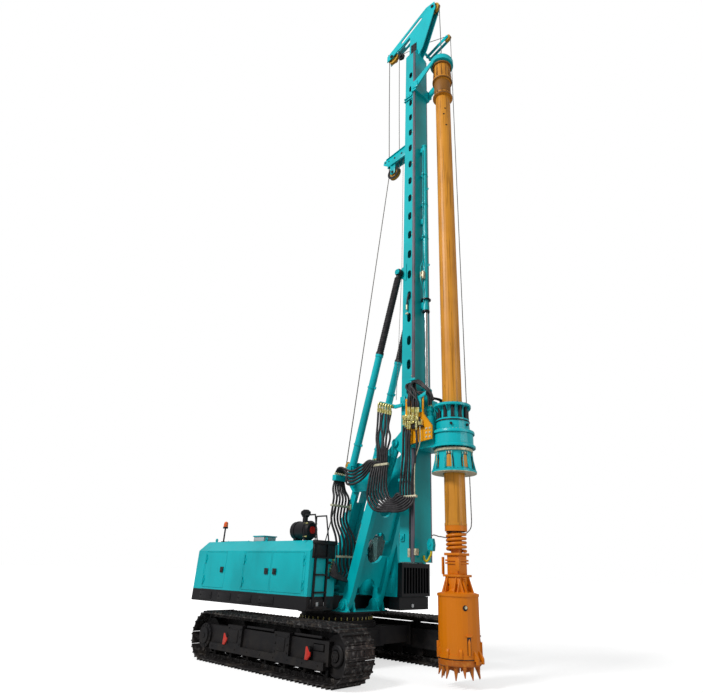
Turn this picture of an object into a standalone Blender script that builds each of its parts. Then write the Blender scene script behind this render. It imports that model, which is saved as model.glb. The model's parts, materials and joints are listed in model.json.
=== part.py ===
"""Rotary piling rig on tracks: a slewing upper with a mast, a rotary drive and a bored-pile bucket.

Metres, +Z up, +X forward, +Y to the machine's left; the origin is the slewing centre on the ground.
Each sub-part is one object, hung from the empty of the joint that moves it.
"""

import math

import bmesh
import bpy
from mathutils import Matrix, Vector

# Fits
SEAT = 0.0003
RUNNING = 0.0008
CLEAR = 0.006
ROUND = 16
FLAT_ANGLE = 0.001

# Tracks
TRACK_HALF_LENGTH = 2.47
TRACK_OUTER_Y = 2.04
SHOE_WIDTH = 0.70
TRACK_HEIGHT = 0.92
BAR_HEIGHT = 0.03
BELT_DEPTH = 0.10
SHOE_COUNT = 46
FRAME_OUTER_Y = 1.95
FRAME_INNER_Y = 1.42
WHEEL_WIDTH = 0.30
ROLLER_RADIUS = 0.085
ROLLER_COUNT = 7

# Car body and slewing ring
CARBODY_TOP = 0.80
CARBODY_LEG_TOP = 0.72
CARBODY_LEG_BOTTOM = 0.40
CARBODY_HALF_LENGTH = 0.95
SLEW_RADIUS = 0.78
SLEW_TOP = 0.97

# Upper frame and hood
DECK_BOTTOM = 1.05
DECK_TOP = 1.30
HOOD_SIDE_Y = 1.50
HOOD_REAR_X = -3.646
HOOD_FRONT_X = 0.68
CREASE_Z = 2.135
ROOF_Z = 2.347
ROOF_EDGE_Y = 1.25
HOOD_WALL = 0.03
COUNTERWEIGHT_LENGTH = 0.33
BAY_FRONT_X = -1.25
RIGHT_ARM_INNER_Y = -0.77
LEFT_ARM_INNER_Y = 0.50

# Cab
CAB_REAR_X = -0.60
CAB_FRONT_X = 1.33
CAB_INNER_Y = 0.54
CAB_OUTER_Y = 1.555
CAB_TOP = 3.10
CAB_WALL = 0.05
CAB_SILL = 1.72
GUARD_DEPTH = 0.12
GUARD_BOTTOM = 1.12
GUARD_TOP = 1.97
GUARD_BARS = 9

# Linkage pins in the plane of the mast, as (x, z)
BOOM_FOOT = (0.78, 1.14)
BOOM_HEAD = (1.48, 3.30)
LINK_HEAD = (0.62, 3.60)
MAST_PIN = (1.94, 4.39)
TILT_FOOT = (0.62, 3.93)
TILT_HEAD = (2.00, 8.80)
LUFF_FOOT = (0.25, 1.52)
LUFF_HEAD = (1.05, 2.53)

# Linkage sections
BOOM_LEG_Y = 0.455
BOOM_LEG_WIDTH = 0.13
BOOM_LEG_DEPTH = 0.24
BOOM_PLATE_THICKNESS = 0.07
LINK_LEG_Y = 0.15
LINK_LEG_WIDTH = 0.09
LINK_LEG_DEPTH = 0.20
CRADLE_PLATE_Y = 0.235
CRADLE_PLATE_THICKNESS = 0.05
PIN_RADIUS = 0.05
TILT_Y = 0.36
TILT_BARREL_RADIUS = 0.09
TILT_ROD_RADIUS = 0.065
TILT_BARREL_LENGTH = 2.82
LUFF_BARREL_RADIUS = 0.085
LUFF_ROD_RADIUS = 0.05
LUFF_BARREL_LENGTH = 0.86
LUFF_STROKE = 0.11
TILT_STROKE = 0.34
EYE_DRIFT = 0.016

# Mast
MAST_BACK_X = 2.06
MAST_FRONT_X = 2.47
MAST_HALF_WIDTH = 0.27
MAST_WALL = 0.02
MAST_FOOT_Z = 1.976
MAST_JOINT_Z = 3.58
MAST_TOP_Z = 17.10
RAIL_WIDTH = 0.04
RAIL_DEPTH = 0.07
FLANGE_THICKNESS = 0.03
FLANGE_REACH = 0.035
HOLE_HEIGHT = 0.26
HOLE_WIDTH = 0.12
HOLE_X = 2.27

# Mast head and pulleys, as (x, z)
TOP_SHEAVE = (3.08, 19.02)
REAR_SHEAVE = (1.26, 17.99)
AUX_SHEAVE = (3.22, 17.90)
AUX_SHEAVE_Y = 0.52
MID_SHEAVE = (1.41, 12.71)
SHEAVE_RADIUS = 0.22
SHEAVE_WIDTH = 0.09
SHEAVE_PIN_RADIUS = 0.035
AUX_SHEAVE_RADIUS = 0.13
HEAD_PLATE_Y = 0.10
HEAD_PLATE_THICKNESS = 0.03

# Crowd cylinder
CROWD_X = 2.60
CROWD_BARREL_RADIUS = 0.07
CROWD_ROD_RADIUS = 0.045
CROWD_TOP_Z = 13.05
CROWD_BARREL_BOTTOM_Z = 7.62

# Kelly bar and rotary drive
KELLY_X = 3.31
KELLY_RADIUS = 0.216
KELLY_BORE = 0.17
KELLY_BOTTOM_Z = 2.64
KELLY_HEAD_BOTTOM_Z = 14.53
KELLY_HEAD_TOP_Z = 15.95
DRIVE_BOTTOM_Z = 4.15
DRIVE_TOP_Z = 4.50
BELL_BOTTOM_Z = 3.65
BELL_RADIUS = 0.474
SLEEVE_TOP_Z = 5.08
SLEEVE_BORE = 0.226

# Tool
BUCKET_RADIUS = 0.385
BUCKET_TOP_Z = 1.46
BUCKET_BOTTOM_Z = 0.40
BUCKET_WALL = 0.02
GATE_RING_BOTTOM_Z = 0.30
TOOTH_TIP_Z = 0.129
TOOTH_COUNT = 10

# Track frame: measured inward from the end wheels' axes and up from their level
BEAM_SHORTER = 0.10
BEAM_DROP = 0.16
BEAM_RISE = 0.21
BOX_DROP = 0.12
BOX_RISE = 0.26
REAR_BOX = (0.86, 1.37)
FRONT_BOX = (1.59, 1.13)
GUARD_ENDS = (0.26, 0.16)
GUARD_DROPS = (0.22, 0.10)
REAR_HOOK = 0.79
FRONT_HOOK = 0.61
HOOK_DROP = 0.06
HOOK_RADIUS = 0.05
SLOT_ENDS = (0.51, 0.21)
SLOT_RISES = (0.04, 0.16)
TOP_ROLLER_X = 0.9
TOP_ROLLER_RADIUS = 0.07
MOTOR_DRUM_RADIUS = 0.16

# Doors and drums
KNUCKLE_RADIUS = 0.014
KNUCKLE_OFFSET = KNUCKLE_RADIUS + SEAT
KNUCKLE_HEIGHT = 0.06
LEAF_LENGTH = 0.05
LEAF_THICKNESS = 0.012
DOOR_BOTTOM = 1.34
DOOR_TOP = 2.11
# name, hinge x, free edge x, knuckle heights
HOOD_DOORS = (
    ("rear_door", -3.24, -2.35, (1.50, 1.95)),
    ("middle_door", -1.60, -0.60, (1.50, 1.95)),
    ("front_door", 0.50, -0.57, (1.50, 1.95)),
)
CAB_DOOR_HINGE_X = -0.10
CAB_DOOR_FREE_X = 1.12
CAB_DOOR_BOTTOM = 1.38
CAB_DOOR_TOP = 2.92
CAB_DOOR_KNUCKLES = (1.55, 2.55)
# name, body paint, centre (x, z), radius
DRUMS = (
    ("main_drum", "sheave_paint", (-0.52, 1.80), 0.22),
    ("aux_drum", "sheave_paint", (-1.00, 1.62), 0.13),
)
DRUM_HALF_WIDTH = 0.30
DRUM_FLANGE_REACH = 0.06
DRUM_SHAFT_RADIUS = 0.05
WINCH_PLATE_Y = 0.34
WINCH_PLATE_THICKNESS = 0.04
# name, centre (x, z), y, radius
SHEAVES = (
    ("top_sheave", TOP_SHEAVE, 0.0, SHEAVE_RADIUS),
    ("rear_sheave", REAR_SHEAVE, 0.0, SHEAVE_RADIUS),
    ("aux_sheave", AUX_SHEAVE, AUX_SHEAVE_Y, AUX_SHEAVE_RADIUS),
    ("mid_sheave", MID_SHEAVE, 0.0, SHEAVE_RADIUS),
)
GATE_HINGE_REACH = 0.05
LINK_FOOT = (
    LINK_HEAD[0] - (BOOM_HEAD[0] - BOOM_FOOT[0]),
    LINK_HEAD[1] - (BOOM_HEAD[1] - BOOM_FOOT[1]),
)

# Front of the deck
WELL_OUTER_Y = 0.76
WELL_REAR_X = 0.42
WELL_FRONT_X = 0.98
FRONT_PLATE_BOTTOM = 0.995
FRONT_PLATE_TOP = 1.022
LUG_THICKNESS = 0.05

# Mast holes, pulley arms and the drive's carriage
MAST_HOLES_LOW = 5.60
MAST_HOLE_PITCH = 0.62
MAST_HOLE_COUNT = 18
AUX_ROOT = (2.43, 17.58)
MID_CHEEK_LOW = (1.33, 12.62)
MID_CHEEK_FRONT = (1.49, 12.62)
DRIVE_LUG_Z = 5.60
CARRIAGE_HALF_WIDTH = 0.44

# Paint: sRGB colour, roughness, metallic
PAINTS = {
    "teal_paint": ((0.00, 0.66, 0.69), 0.35, 0.0),
    "dark_frame": ((0.11, 0.10, 0.12), 0.55, 0.0),
    "track_steel": ((0.28, 0.27, 0.27), 0.55, 0.6),
    "rail_steel": ((0.52, 0.48, 0.54), 0.45, 0.7),
    "orange_paint": ((0.85, 0.55, 0.12), 0.40, 0.0),
    "bucket_paint": ((0.79, 0.40, 0.02), 0.45, 0.0),
    "chrome": ((0.80, 0.82, 0.84), 0.15, 1.0),
    "sheave_paint": ((0.70, 0.50, 0.16), 0.50, 0.2),
    "lamp_plastic": ((0.95, 0.45, 0.05), 0.30, 0.0),
    "seat_fabric": ((0.08, 0.08, 0.09), 0.80, 0.0),
}

solids = {}
pivots = {}


def clear_scene():
    """Removes the objects that the scene starts with."""
    for old in list(bpy.data.objects):
        bpy.data.objects.remove(old, do_unlink=True)


def paint(name):
    """Returns the material of that name from PAINTS, made on its first use."""
    found = bpy.data.materials.get(name)
    if found:
        return found
    colour, roughness, metallic = PAINTS[name]
    made = bpy.data.materials.new(name)
    made.use_nodes = True
    shader = made.node_tree.nodes["Principled BSDF"]
    linear = [c / 12.92 if c <= 0.04045 else ((c + 0.055) / 1.055) ** 2.4 for c in colour]
    shader.inputs["Base Color"].default_value = (*linear, 1.0)
    shader.inputs["Roughness"].default_value = roughness
    shader.inputs["Metallic"].default_value = metallic
    made.diffuse_color = (*linear, 1.0)
    return made


def piece(bm, name="piece"):
    """Turns a bmesh into a temporary object with outward normals."""
    bmesh.ops.recalc_face_normals(bm, faces=bm.faces)
    mesh = bpy.data.meshes.new(name)
    bm.to_mesh(mesh)
    bm.free()
    made = bpy.data.objects.new(name, mesh)
    bpy.context.scene.collection.objects.link(made)
    return made


def extrude_loop(points, shift):
    """A closed prism from a loop of points, pushed by the vector shift."""
    bm = bmesh.new()
    face = bm.faces.new([bm.verts.new(p) for p in points])
    pushed = bmesh.ops.extrude_face_region(bm, geom=[face])["geom"]
    moved = [g for g in pushed if isinstance(g, bmesh.types.BMVert)]
    bmesh.ops.translate(bm, verts=moved, vec=shift)
    return piece(bm)


def box(x0, x1, y0, y1, z0, z1):
    """A box between two corners."""
    corners = [(x0, y0, z0), (x1, y0, z0), (x1, y1, z0), (x0, y1, z0)]
    return extrude_loop(corners, (0, 0, z1 - z0))


def plate_y(outline, y0, y1):
    """A plate with an (x, z) outline, between two values of y."""
    return extrude_loop([(x, y0, z) for x, z in outline], (0, y1 - y0, 0))


def plate_x(outline, x0, x1):
    """A plate with a (y, z) outline, between two values of x."""
    return extrude_loop([(x0, y, z) for y, z in outline], (x1 - x0, 0, 0))


def plate_z(outline, z0, z1):
    """A plate with an (x, y) outline, between two values of z."""
    return extrude_loop([(x, y, z0) for x, y in outline], (0, 0, z1 - z0))


def arc(centre, radius, start, end, steps):
    """Points of an arc, angles in degrees, ends included."""
    turns = [math.radians(start + (end - start) * i / steps) for i in range(steps + 1)]
    return [(centre[0] + radius * math.cos(t), centre[1] + radius * math.sin(t)) for t in turns]


def circle(centre, radius, count=ROUND):
    """Points of a full circle."""
    return arc(centre, radius, 0, 360 * (count - 1) / count, count - 1)


def disc_y(centre, radius, y0, y1, count=ROUND):
    """A round bar along y, at (x, z)."""
    return plate_y(circle(centre, radius, count), y0, y1)


def bore_y(centre, pin_radius, y0, y1, count=ROUND):
    """A cutter along y for a turning fit: the middle of each flat clears a corner of the pin."""
    step = 360 / count
    radius = (pin_radius + RUNNING) / math.cos(math.radians(step / 2))
    return plate_y(arc(centre, radius, step / 2, 360 - step / 2, count - 1), y0, y1)


def disc_z(centre, radius, z0, z1, count=ROUND):
    """A round bar along z, at (x, y)."""
    return plate_z(circle(centre, radius, count), z0, z1)


def strap(start, end, half_depth, steps=8):
    """Outline of a bar with round ends between two (x, z) points."""
    angle = math.degrees(math.atan2(end[1] - start[1], end[0] - start[0]))
    first = arc(start, half_depth, angle + 90, angle + 270, steps)
    return first + arc(end, half_depth, angle - 90, angle + 90, steps)


def rod(start, end, radius, count=ROUND):
    """A round bar between two points in space."""
    axis = Vector(end) - Vector(start)
    bm = bmesh.new()
    bmesh.ops.create_cone(
        bm, cap_ends=True, segments=count, radius1=radius, radius2=radius, depth=axis.length
    )
    turn = axis.to_track_quat("Z", "Y").to_matrix().to_4x4()
    bm.transform(Matrix.Translation((Vector(start) + Vector(end)) / 2) @ turn)
    return piece(bm)


def lathe(profile, centre, count=24):
    """A turned piece from a closed (radius, z) profile that stays off its axis."""
    bm = bmesh.new()
    ring = [bm.verts.new((centre[0] + r, centre[1], z)) for r, z in profile]
    edges = [bm.edges.new((ring[i - 1], ring[i])) for i in range(len(ring))]
    bmesh.ops.spin(
        bm,
        geom=ring + edges,
        cent=(centre[0], centre[1], 0),
        axis=(0, 0, 1),
        angle=math.tau,
        steps=count,
        use_merge=True,
    )
    return piece(bm)


def along(start, end, distance):
    """The point at a distance from start towards end, in (x, z)."""
    length = math.dist(start, end)
    share = distance / length
    return (start[0] + (end[0] - start[0]) * share, start[1] + (end[1] - start[1]) * share)


def in_space(point, y):
    """An (x, z) point put at y."""
    return (point[0], y, point[1])


def band(y_centre, width, side):
    """The two y values of a band on one side, low first."""
    low = side * y_centre - width / 2
    return low, low + width


def fuse(first, others=(), cutters=()):
    """Joins pieces to the first and cuts the cutters out of it, with exact Booleans."""
    for operation, group in (("UNION", others), ("DIFFERENCE", cutters)):
        for other in group:
            step = first.modifiers.new(operation, "BOOLEAN")
            step.operation = operation
            step.solver = "EXACT"
            step.object = other
    graph = bpy.context.evaluated_depsgraph_get()
    graph.update()
    bm = bmesh.new()
    bm.from_mesh(first.evaluated_get(graph).to_mesh())
    for used in (first, *others, *cutters):
        bpy.data.objects.remove(used, do_unlink=True)
    bmesh.ops.dissolve_limit(bm, angle_limit=FLAT_ANGLE, verts=bm.verts, edges=bm.edges)
    return piece(bm)


def gather(pieces):
    """Several pieces that do not touch as one cutter."""
    bm = bmesh.new()
    for one in pieces:
        bm.from_mesh(one.data)
        bpy.data.objects.remove(one, do_unlink=True)
    return piece(bm)


def add_pivot(name, place, parent=None):
    """An empty on a joint's axis, under its parent's empty."""
    empty = bpy.data.objects.new("pivot_" + name, None)
    bpy.context.scene.collection.objects.link(empty)
    empty.empty_display_size = 0.2
    origin = Vector(place)
    if parent:
        above, above_origin = pivots[parent]
        empty.parent = above
        empty.location = origin - above_origin
    else:
        empty.location = origin
    pivots[name] = (empty, origin)


def keep(made, name, paint_name, body):
    """Names a finished piece, paints it and hangs it from its body's empty."""
    empty, origin = pivots[body]
    made.name = name
    made.data.name = name
    made.data.transform(Matrix.Translation(-origin))
    made.data.materials.clear()
    made.data.materials.append(paint(paint_name))
    made.parent = empty
    solids[name] = made


def add_pivots():
    """The tree of joints: name, place of the axis, parent."""
    add_pivot("undercarriage", (0, 0, 0))
    add_pivot("upper", (0, 0, SLEW_TOP), "undercarriage")
    for name, hinge_x, _, _ in HOOD_DOORS:
        add_pivot(name, (hinge_x, -HOOD_SIDE_Y - KNUCKLE_OFFSET, DECK_TOP), "upper")
    add_pivot("cab_door", (CAB_DOOR_HINGE_X, CAB_OUTER_Y + KNUCKLE_OFFSET, DECK_TOP), "upper")
    for name, _, centre, _ in DRUMS:
        add_pivot(name, in_space(centre, 0), "upper")
    add_pivot("boom", in_space(BOOM_FOOT, 0), "upper")
    add_pivot("rear_link", in_space(LINK_FOOT, 0), "upper")
    add_pivot("luff_barrel", in_space(LUFF_FOOT, 0), "upper")
    add_pivot("luff_rod", in_space(LUFF_FOOT, 0), "luff_barrel")
    add_pivot("cradle", in_space(BOOM_HEAD, 0), "boom")
    add_pivot("tilt_barrels", in_space(TILT_FOOT, 0), "cradle")
    add_pivot("tilt_rods", in_space(TILT_FOOT, 0), "tilt_barrels")
    add_pivot("mast", in_space(MAST_PIN, 0), "cradle")
    for name, centre, y, _ in SHEAVES:
        add_pivot(name, in_space(centre, y), "mast")
    add_pivot("drive", (MAST_FRONT_X, 0, DRIVE_TOP_Z), "mast")
    add_pivot("sleeve", (KELLY_X, 0, BELL_BOTTOM_Z), "drive")
    add_pivot("kelly_guide", (MAST_FRONT_X, 0, KELLY_HEAD_TOP_Z), "mast")
    add_pivot("kelly", (KELLY_X, 0, KELLY_BOTTOM_Z), "kelly_guide")
    add_pivot("gate", (KELLY_X + BUCKET_RADIUS + GATE_HINGE_REACH, 0, BUCKET_BOTTOM_Z), "kelly")


def stadium(distance, offset):
    """A point of the track's loop at a distance along it, moved outward by offset."""
    radius = TRACK_HEIGHT / 2 - BAR_HEIGHT
    half = TRACK_HALF_LENGTH - TRACK_HEIGHT / 2
    bend = math.pi * radius
    level = TRACK_HEIGHT / 2
    lap = 2 * (2 * half + bend)
    d = distance % lap
    reach = radius + offset
    if d < 2 * half:
        return (half - d, level + reach)
    d -= 2 * half
    if d < bend:
        turn = math.pi / 2 + d / radius
        return (-half + reach * math.cos(turn), level + reach * math.sin(turn))
    d -= bend
    if d < 2 * half:
        return (-half + d, level - reach)
    d -= 2 * half
    turn = -math.pi / 2 + d / radius
    return (half + reach * math.cos(turn), level + reach * math.sin(turn))


def track_lap():
    """Length of the loop that the shoes' plates run on."""
    radius = TRACK_HEIGHT / 2 - BAR_HEIGHT
    return 4 * (TRACK_HALF_LENGTH - TRACK_HEIGHT / 2) + math.tau * radius


def build_track(side):
    """One closed belt, with two bars on each shoe."""
    pitch = track_lap() / SHOE_COUNT
    # share of the pitch, height over the plate
    shoe = (
        (0.10, 0.0), (0.14, 1.0), (0.24, 1.0), (0.30, 0.0),
        (0.62, 0.0), (0.68, 1.0), (0.78, 1.0), (0.84, 0.0),
    )
    outer = [
        stadium((i + share) * pitch, height * BAR_HEIGHT)
        for i in range(SHOE_COUNT)
        for share, height in shoe
    ]
    inner = [stadium((i + 0.5) * pitch / 2, -BELT_DEPTH) for i in range(2 * SHOE_COUNT)]
    y_low, y_high = sorted((side * TRACK_OUTER_Y, side * (TRACK_OUTER_Y - SHOE_WIDTH)))
    belt = fuse(plate_y(outer, y_low, y_high), cutters=[plate_y(inner, y_low - 1, y_high + 1)])
    keep(belt, "track_right" if side < 0 else "track_left", "track_steel", "undercarriage")


def build_track_frame(side):
    """The beam inside a belt with its end wheels, rollers, guards and tow hooks."""
    level = TRACK_HEIGHT / 2
    half = TRACK_HALF_LENGTH - TRACK_HEIGHT / 2
    wheel = TRACK_HEIGHT / 2 - BAR_HEIGHT - BELT_DEPTH - 0.006
    floor = BAR_HEIGHT + BELT_DEPTH
    roof = TRACK_HEIGHT - floor

    def ys(y0, y1):
        return sorted((side * y0, side * y1))

    middle = (FRAME_INNER_Y + FRAME_OUTER_Y) / 2
    beam_ends = (-half + BEAM_SHORTER, half - BEAM_SHORTER)
    beam = box(*beam_ends, *ys(FRAME_INNER_Y, FRAME_OUTER_Y), level - BEAM_DROP, level + BEAM_RISE)
    parts = [
        disc_y((end * half, level), wheel, *ys(middle - WHEEL_WIDTH / 2, middle + WHEEL_WIDTH / 2))
        for end in (-1, 1)
    ]
    parts.append(disc_y((-half, level), MOTOR_DRUM_RADIUS, *ys(FRAME_INNER_Y + 0.05, FRAME_OUTER_Y + 0.06)))
    spacing = (2 * half - 0.5) / (ROLLER_COUNT - 1)
    for i in range(ROLLER_COUNT):
        x = -half + 0.25 + i * spacing
        centre = (x, floor + SEAT + ROLLER_RADIUS)
        parts.append(disc_y(centre, ROLLER_RADIUS, *ys(middle - 0.17, middle + 0.17), 12))
    for x in (-TOP_ROLLER_X, TOP_ROLLER_X):
        centre = (x, roof - SEAT - TOP_ROLLER_RADIUS)
        parts.append(disc_y(centre, TOP_ROLLER_RADIUS, *ys(middle - 0.14, middle + 0.14), 12))
    # low x, high x, low z, high z of what stands out of the beam's side
    outer_boxes = (
        (-half + REAR_BOX[0], -half + REAR_BOX[1], level - BOX_DROP, level + BOX_RISE),
        (half - FRONT_BOX[0], half - FRONT_BOX[1], level - BOX_DROP, level + BOX_RISE),
        (-half + GUARD_ENDS[0], half - GUARD_ENDS[1], level - GUARD_DROPS[0], level - GUARD_DROPS[1]),
    )
    for x0, x1, z0, z1 in outer_boxes:
        parts.append(box(x0, x1, *ys(FRAME_OUTER_Y - 0.10, FRAME_OUTER_Y + 0.06), z0, z1))
    for x in (-half + REAR_HOOK, half - FRONT_HOOK):
        outline = strap((x, level - HOOK_DROP), (x + HOOK_RADIUS, level + HOOK_DROP), HOOK_RADIUS)
        parts.append(plate_y(outline, *ys(FRAME_OUTER_Y - 0.04, FRAME_OUTER_Y + 0.08)))
    slot_ends = (half - SLOT_ENDS[0], half - SLOT_ENDS[1])
    slot_heights = (level + SLOT_RISES[0], level + SLOT_RISES[1])
    slot = box(*slot_ends, *ys(FRAME_OUTER_Y - 0.05, FRAME_OUTER_Y + 0.2), *slot_heights)
    frame = fuse(beam, parts, [slot])
    keep(frame, "track_frame_right" if side < 0 else "track_frame_left", "dark_frame", "undercarriage")


def build_car_body():
    """The cross-shaped carrier between the two track frames, and the slewing ring on it."""
    reach = FRAME_INNER_Y - SEAT
    core = disc_z((0, 0), SLEW_RADIUS + 0.10, 0.34, CARBODY_TOP, 32)
    legs = [
        box(x - 0.28, x + 0.28, -reach, reach, CARBODY_LEG_BOTTOM, CARBODY_LEG_TOP)
        for x in (-CARBODY_HALF_LENGTH + 0.28, CARBODY_HALF_LENGTH - 0.28)
    ]
    spine_heights = (CARBODY_LEG_BOTTOM - 0.02, CARBODY_LEG_TOP - 0.02)
    spine = box(-CARBODY_HALF_LENGTH, CARBODY_HALF_LENGTH, -0.55, 0.55, *spine_heights)
    keep(fuse(core, legs + [spine]), "car_body", "dark_frame", "undercarriage")
    ring = lathe(
        (
            (SLEW_RADIUS - 0.14, CARBODY_TOP + SEAT),
            (SLEW_RADIUS + 0.05, CARBODY_TOP + SEAT),
            (SLEW_RADIUS + 0.05, CARBODY_TOP + 0.05),
            (SLEW_RADIUS, CARBODY_TOP + 0.06),
            (SLEW_RADIUS, SLEW_TOP),
            (SLEW_RADIUS - 0.14, SLEW_TOP),
        ),
        (0, 0),
        32,
    )
    keep(ring, "slew_ring", "dark_frame", "undercarriage")


def build_platform():
    """The black deck with its turntable and the low front plate that carries the boom."""
    outline = (
        (HOOD_REAR_X, -HOOD_SIDE_Y),
        (HOOD_FRONT_X, -HOOD_SIDE_Y),
        (HOOD_FRONT_X, -WELL_OUTER_Y),
        (WELL_REAR_X, -WELL_OUTER_Y),
        (WELL_REAR_X, WELL_OUTER_Y - 0.14),
        (HOOD_FRONT_X + 0.36, WELL_OUTER_Y - 0.14),
        (HOOD_FRONT_X + 0.36, CAB_INNER_Y),
        (CAB_FRONT_X + 0.05, CAB_INNER_Y),
        (CAB_FRONT_X + 0.05, CAB_OUTER_Y),
        (CAB_REAR_X, CAB_OUTER_Y),
        (CAB_REAR_X, HOOD_SIDE_Y),
        (HOOD_REAR_X, HOOD_SIDE_Y),
    )
    deck = plate_z(outline, DECK_BOTTOM, DECK_TOP)
    turntable = disc_z((0, 0), SLEW_RADIUS + 0.08, SLEW_TOP + SEAT, DECK_BOTTOM + 0.05, 32)
    tongue_heights = (FRONT_PLATE_BOTTOM, FRONT_PLATE_TOP)
    tongue = box(0, WELL_FRONT_X, -WELL_OUTER_Y, WELL_OUTER_Y - 0.14, *tongue_heights)
    step = box(0, WELL_REAR_X, -WELL_OUTER_Y, WELL_OUTER_Y - 0.14, FRONT_PLATE_BOTTOM, DECK_BOTTOM + 0.02)
    pocket = box(WELL_REAR_X, WELL_FRONT_X + 0.1, -WELL_OUTER_Y, WELL_OUTER_Y, FRONT_PLATE_TOP, DECK_TOP + 0.1)
    keep(fuse(deck, [turntable, step, tongue], [pocket]), "platform", "dark_frame", "upper")

    floor = FRONT_PLATE_TOP + SEAT
    base = box(0.50, 0.96, -0.62, 0.62, floor, floor + 0.02)
    lugs = []
    inner = BOOM_LEG_Y - BOOM_LEG_WIDTH / 2 - CLEAR
    outer = BOOM_LEG_Y + BOOM_LEG_WIDTH / 2 + CLEAR
    relief = []
    for side in (-1, 1):
        for reach in (outer, inner - LUG_THICKNESS):
            y0, y1 = sorted((side * reach, side * (reach + LUG_THICKNESS)))
            foot = [(0.52, floor), (0.95, floor)] + arc(BOOM_FOOT, 0.12, -10, 190, 10)
            lugs.append(plate_y(foot, y0, y1))
        y0, y1 = sorted((side * inner, side * outer))
        relief.append(box(0.4, 1.1, y0, y1, floor - 0.1, floor + 0.1))
    pins = []
    for side in (-1, 1):
        y0, y1 = sorted((side * (inner - LUG_THICKNESS + 0.005), side * (outer + 0.075)))
        pins.append(disc_y(BOOM_FOOT, PIN_RADIUS, y0, y1))
    base = fuse(base, lugs, relief)
    keep(fuse(base, pins), "boom_bracket", "teal_paint", "upper")


def build_link_bracket():
    """The pedestal that carries the rear link and the luffing cylinder."""
    top = DECK_TOP + SEAT
    foot = box(-0.22, 0.36, -0.30, 0.30, top, top + 0.04)
    plates = []
    link_out = LINK_LEG_Y + LINK_LEG_WIDTH / 2 + CLEAR
    for side in (-1, 1):
        y0, y1 = sorted((side * link_out, side * (link_out + 0.04)))
        plates.append(plate_y([(-0.20, top), (0.10, top)] + arc(LINK_FOOT, 0.09, 0, 180, 10), y0, y1))
        eye = LUFF_BARREL_RADIUS + CLEAR
        y0, y1 = sorted((side * eye, side * (eye + 0.01)))
        plates.append(plate_y([(0.10, top), (0.28, top)] + arc(LUFF_FOOT, 0.08, 0, 180, 8), y0, y1))
    pins = [
        disc_y(LINK_FOOT, PIN_RADIUS - 0.01, -link_out - 0.05, link_out + 0.05),
        disc_y(LUFF_FOOT, 0.035, -LUFF_BARREL_RADIUS - 0.02, LUFF_BARREL_RADIUS + 0.02),
    ]
    keep(fuse(foot, plates + pins), "link_bracket", "teal_paint", "upper")


def hood_outline(inset, y0, y1, bottom):
    """The hood's (y, z) section between two y values, moved inward by inset."""
    side = HOOD_SIDE_Y - inset
    edge = ROOF_EDGE_Y - inset * 0.4
    low = y0 + inset if y0 > -HOOD_SIDE_Y else -side
    high = y1 - inset if y1 < HOOD_SIDE_Y else side
    crease = CREASE_Z - inset * 0.4
    roof = ROOF_Z - inset
    points = [(low, bottom)]
    points += [(low, crease), (-edge, roof)] if y0 <= -HOOD_SIDE_Y else [(low, roof)]
    points += [(edge, roof), (high, crease)] if y1 >= HOOD_SIDE_Y else [(high, roof)]
    return points + [(high, bottom)]


def knuckle(hinge_x, face_y, side, toward, heights, upper):
    """Hinge knuckles with their leaves, on the door's own height or just over and under it."""
    axis_y = face_y + side * KNUCKLE_OFFSET
    made = []
    for z in heights:
        spans = [(z - KNUCKLE_HEIGHT / 2, z + KNUCKLE_HEIGHT / 2)]
        if upper:
            low, high = spans[0]
            spans = [(low - KNUCKLE_HEIGHT, low - SEAT), (high + SEAT, high + KNUCKLE_HEIGHT)]
        for low, high in spans:
            made.append(disc_z((hinge_x, axis_y), KNUCKLE_RADIUS, low, high, 12))
            x0, x1 = sorted((hinge_x, hinge_x + toward * LEAF_LENGTH))
            y0, y1 = sorted((face_y - side * 0.004, face_y + side * LEAF_THICKNESS))
            made.append(box(x0, x1, y0, y1, low, high))
    return made


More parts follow.
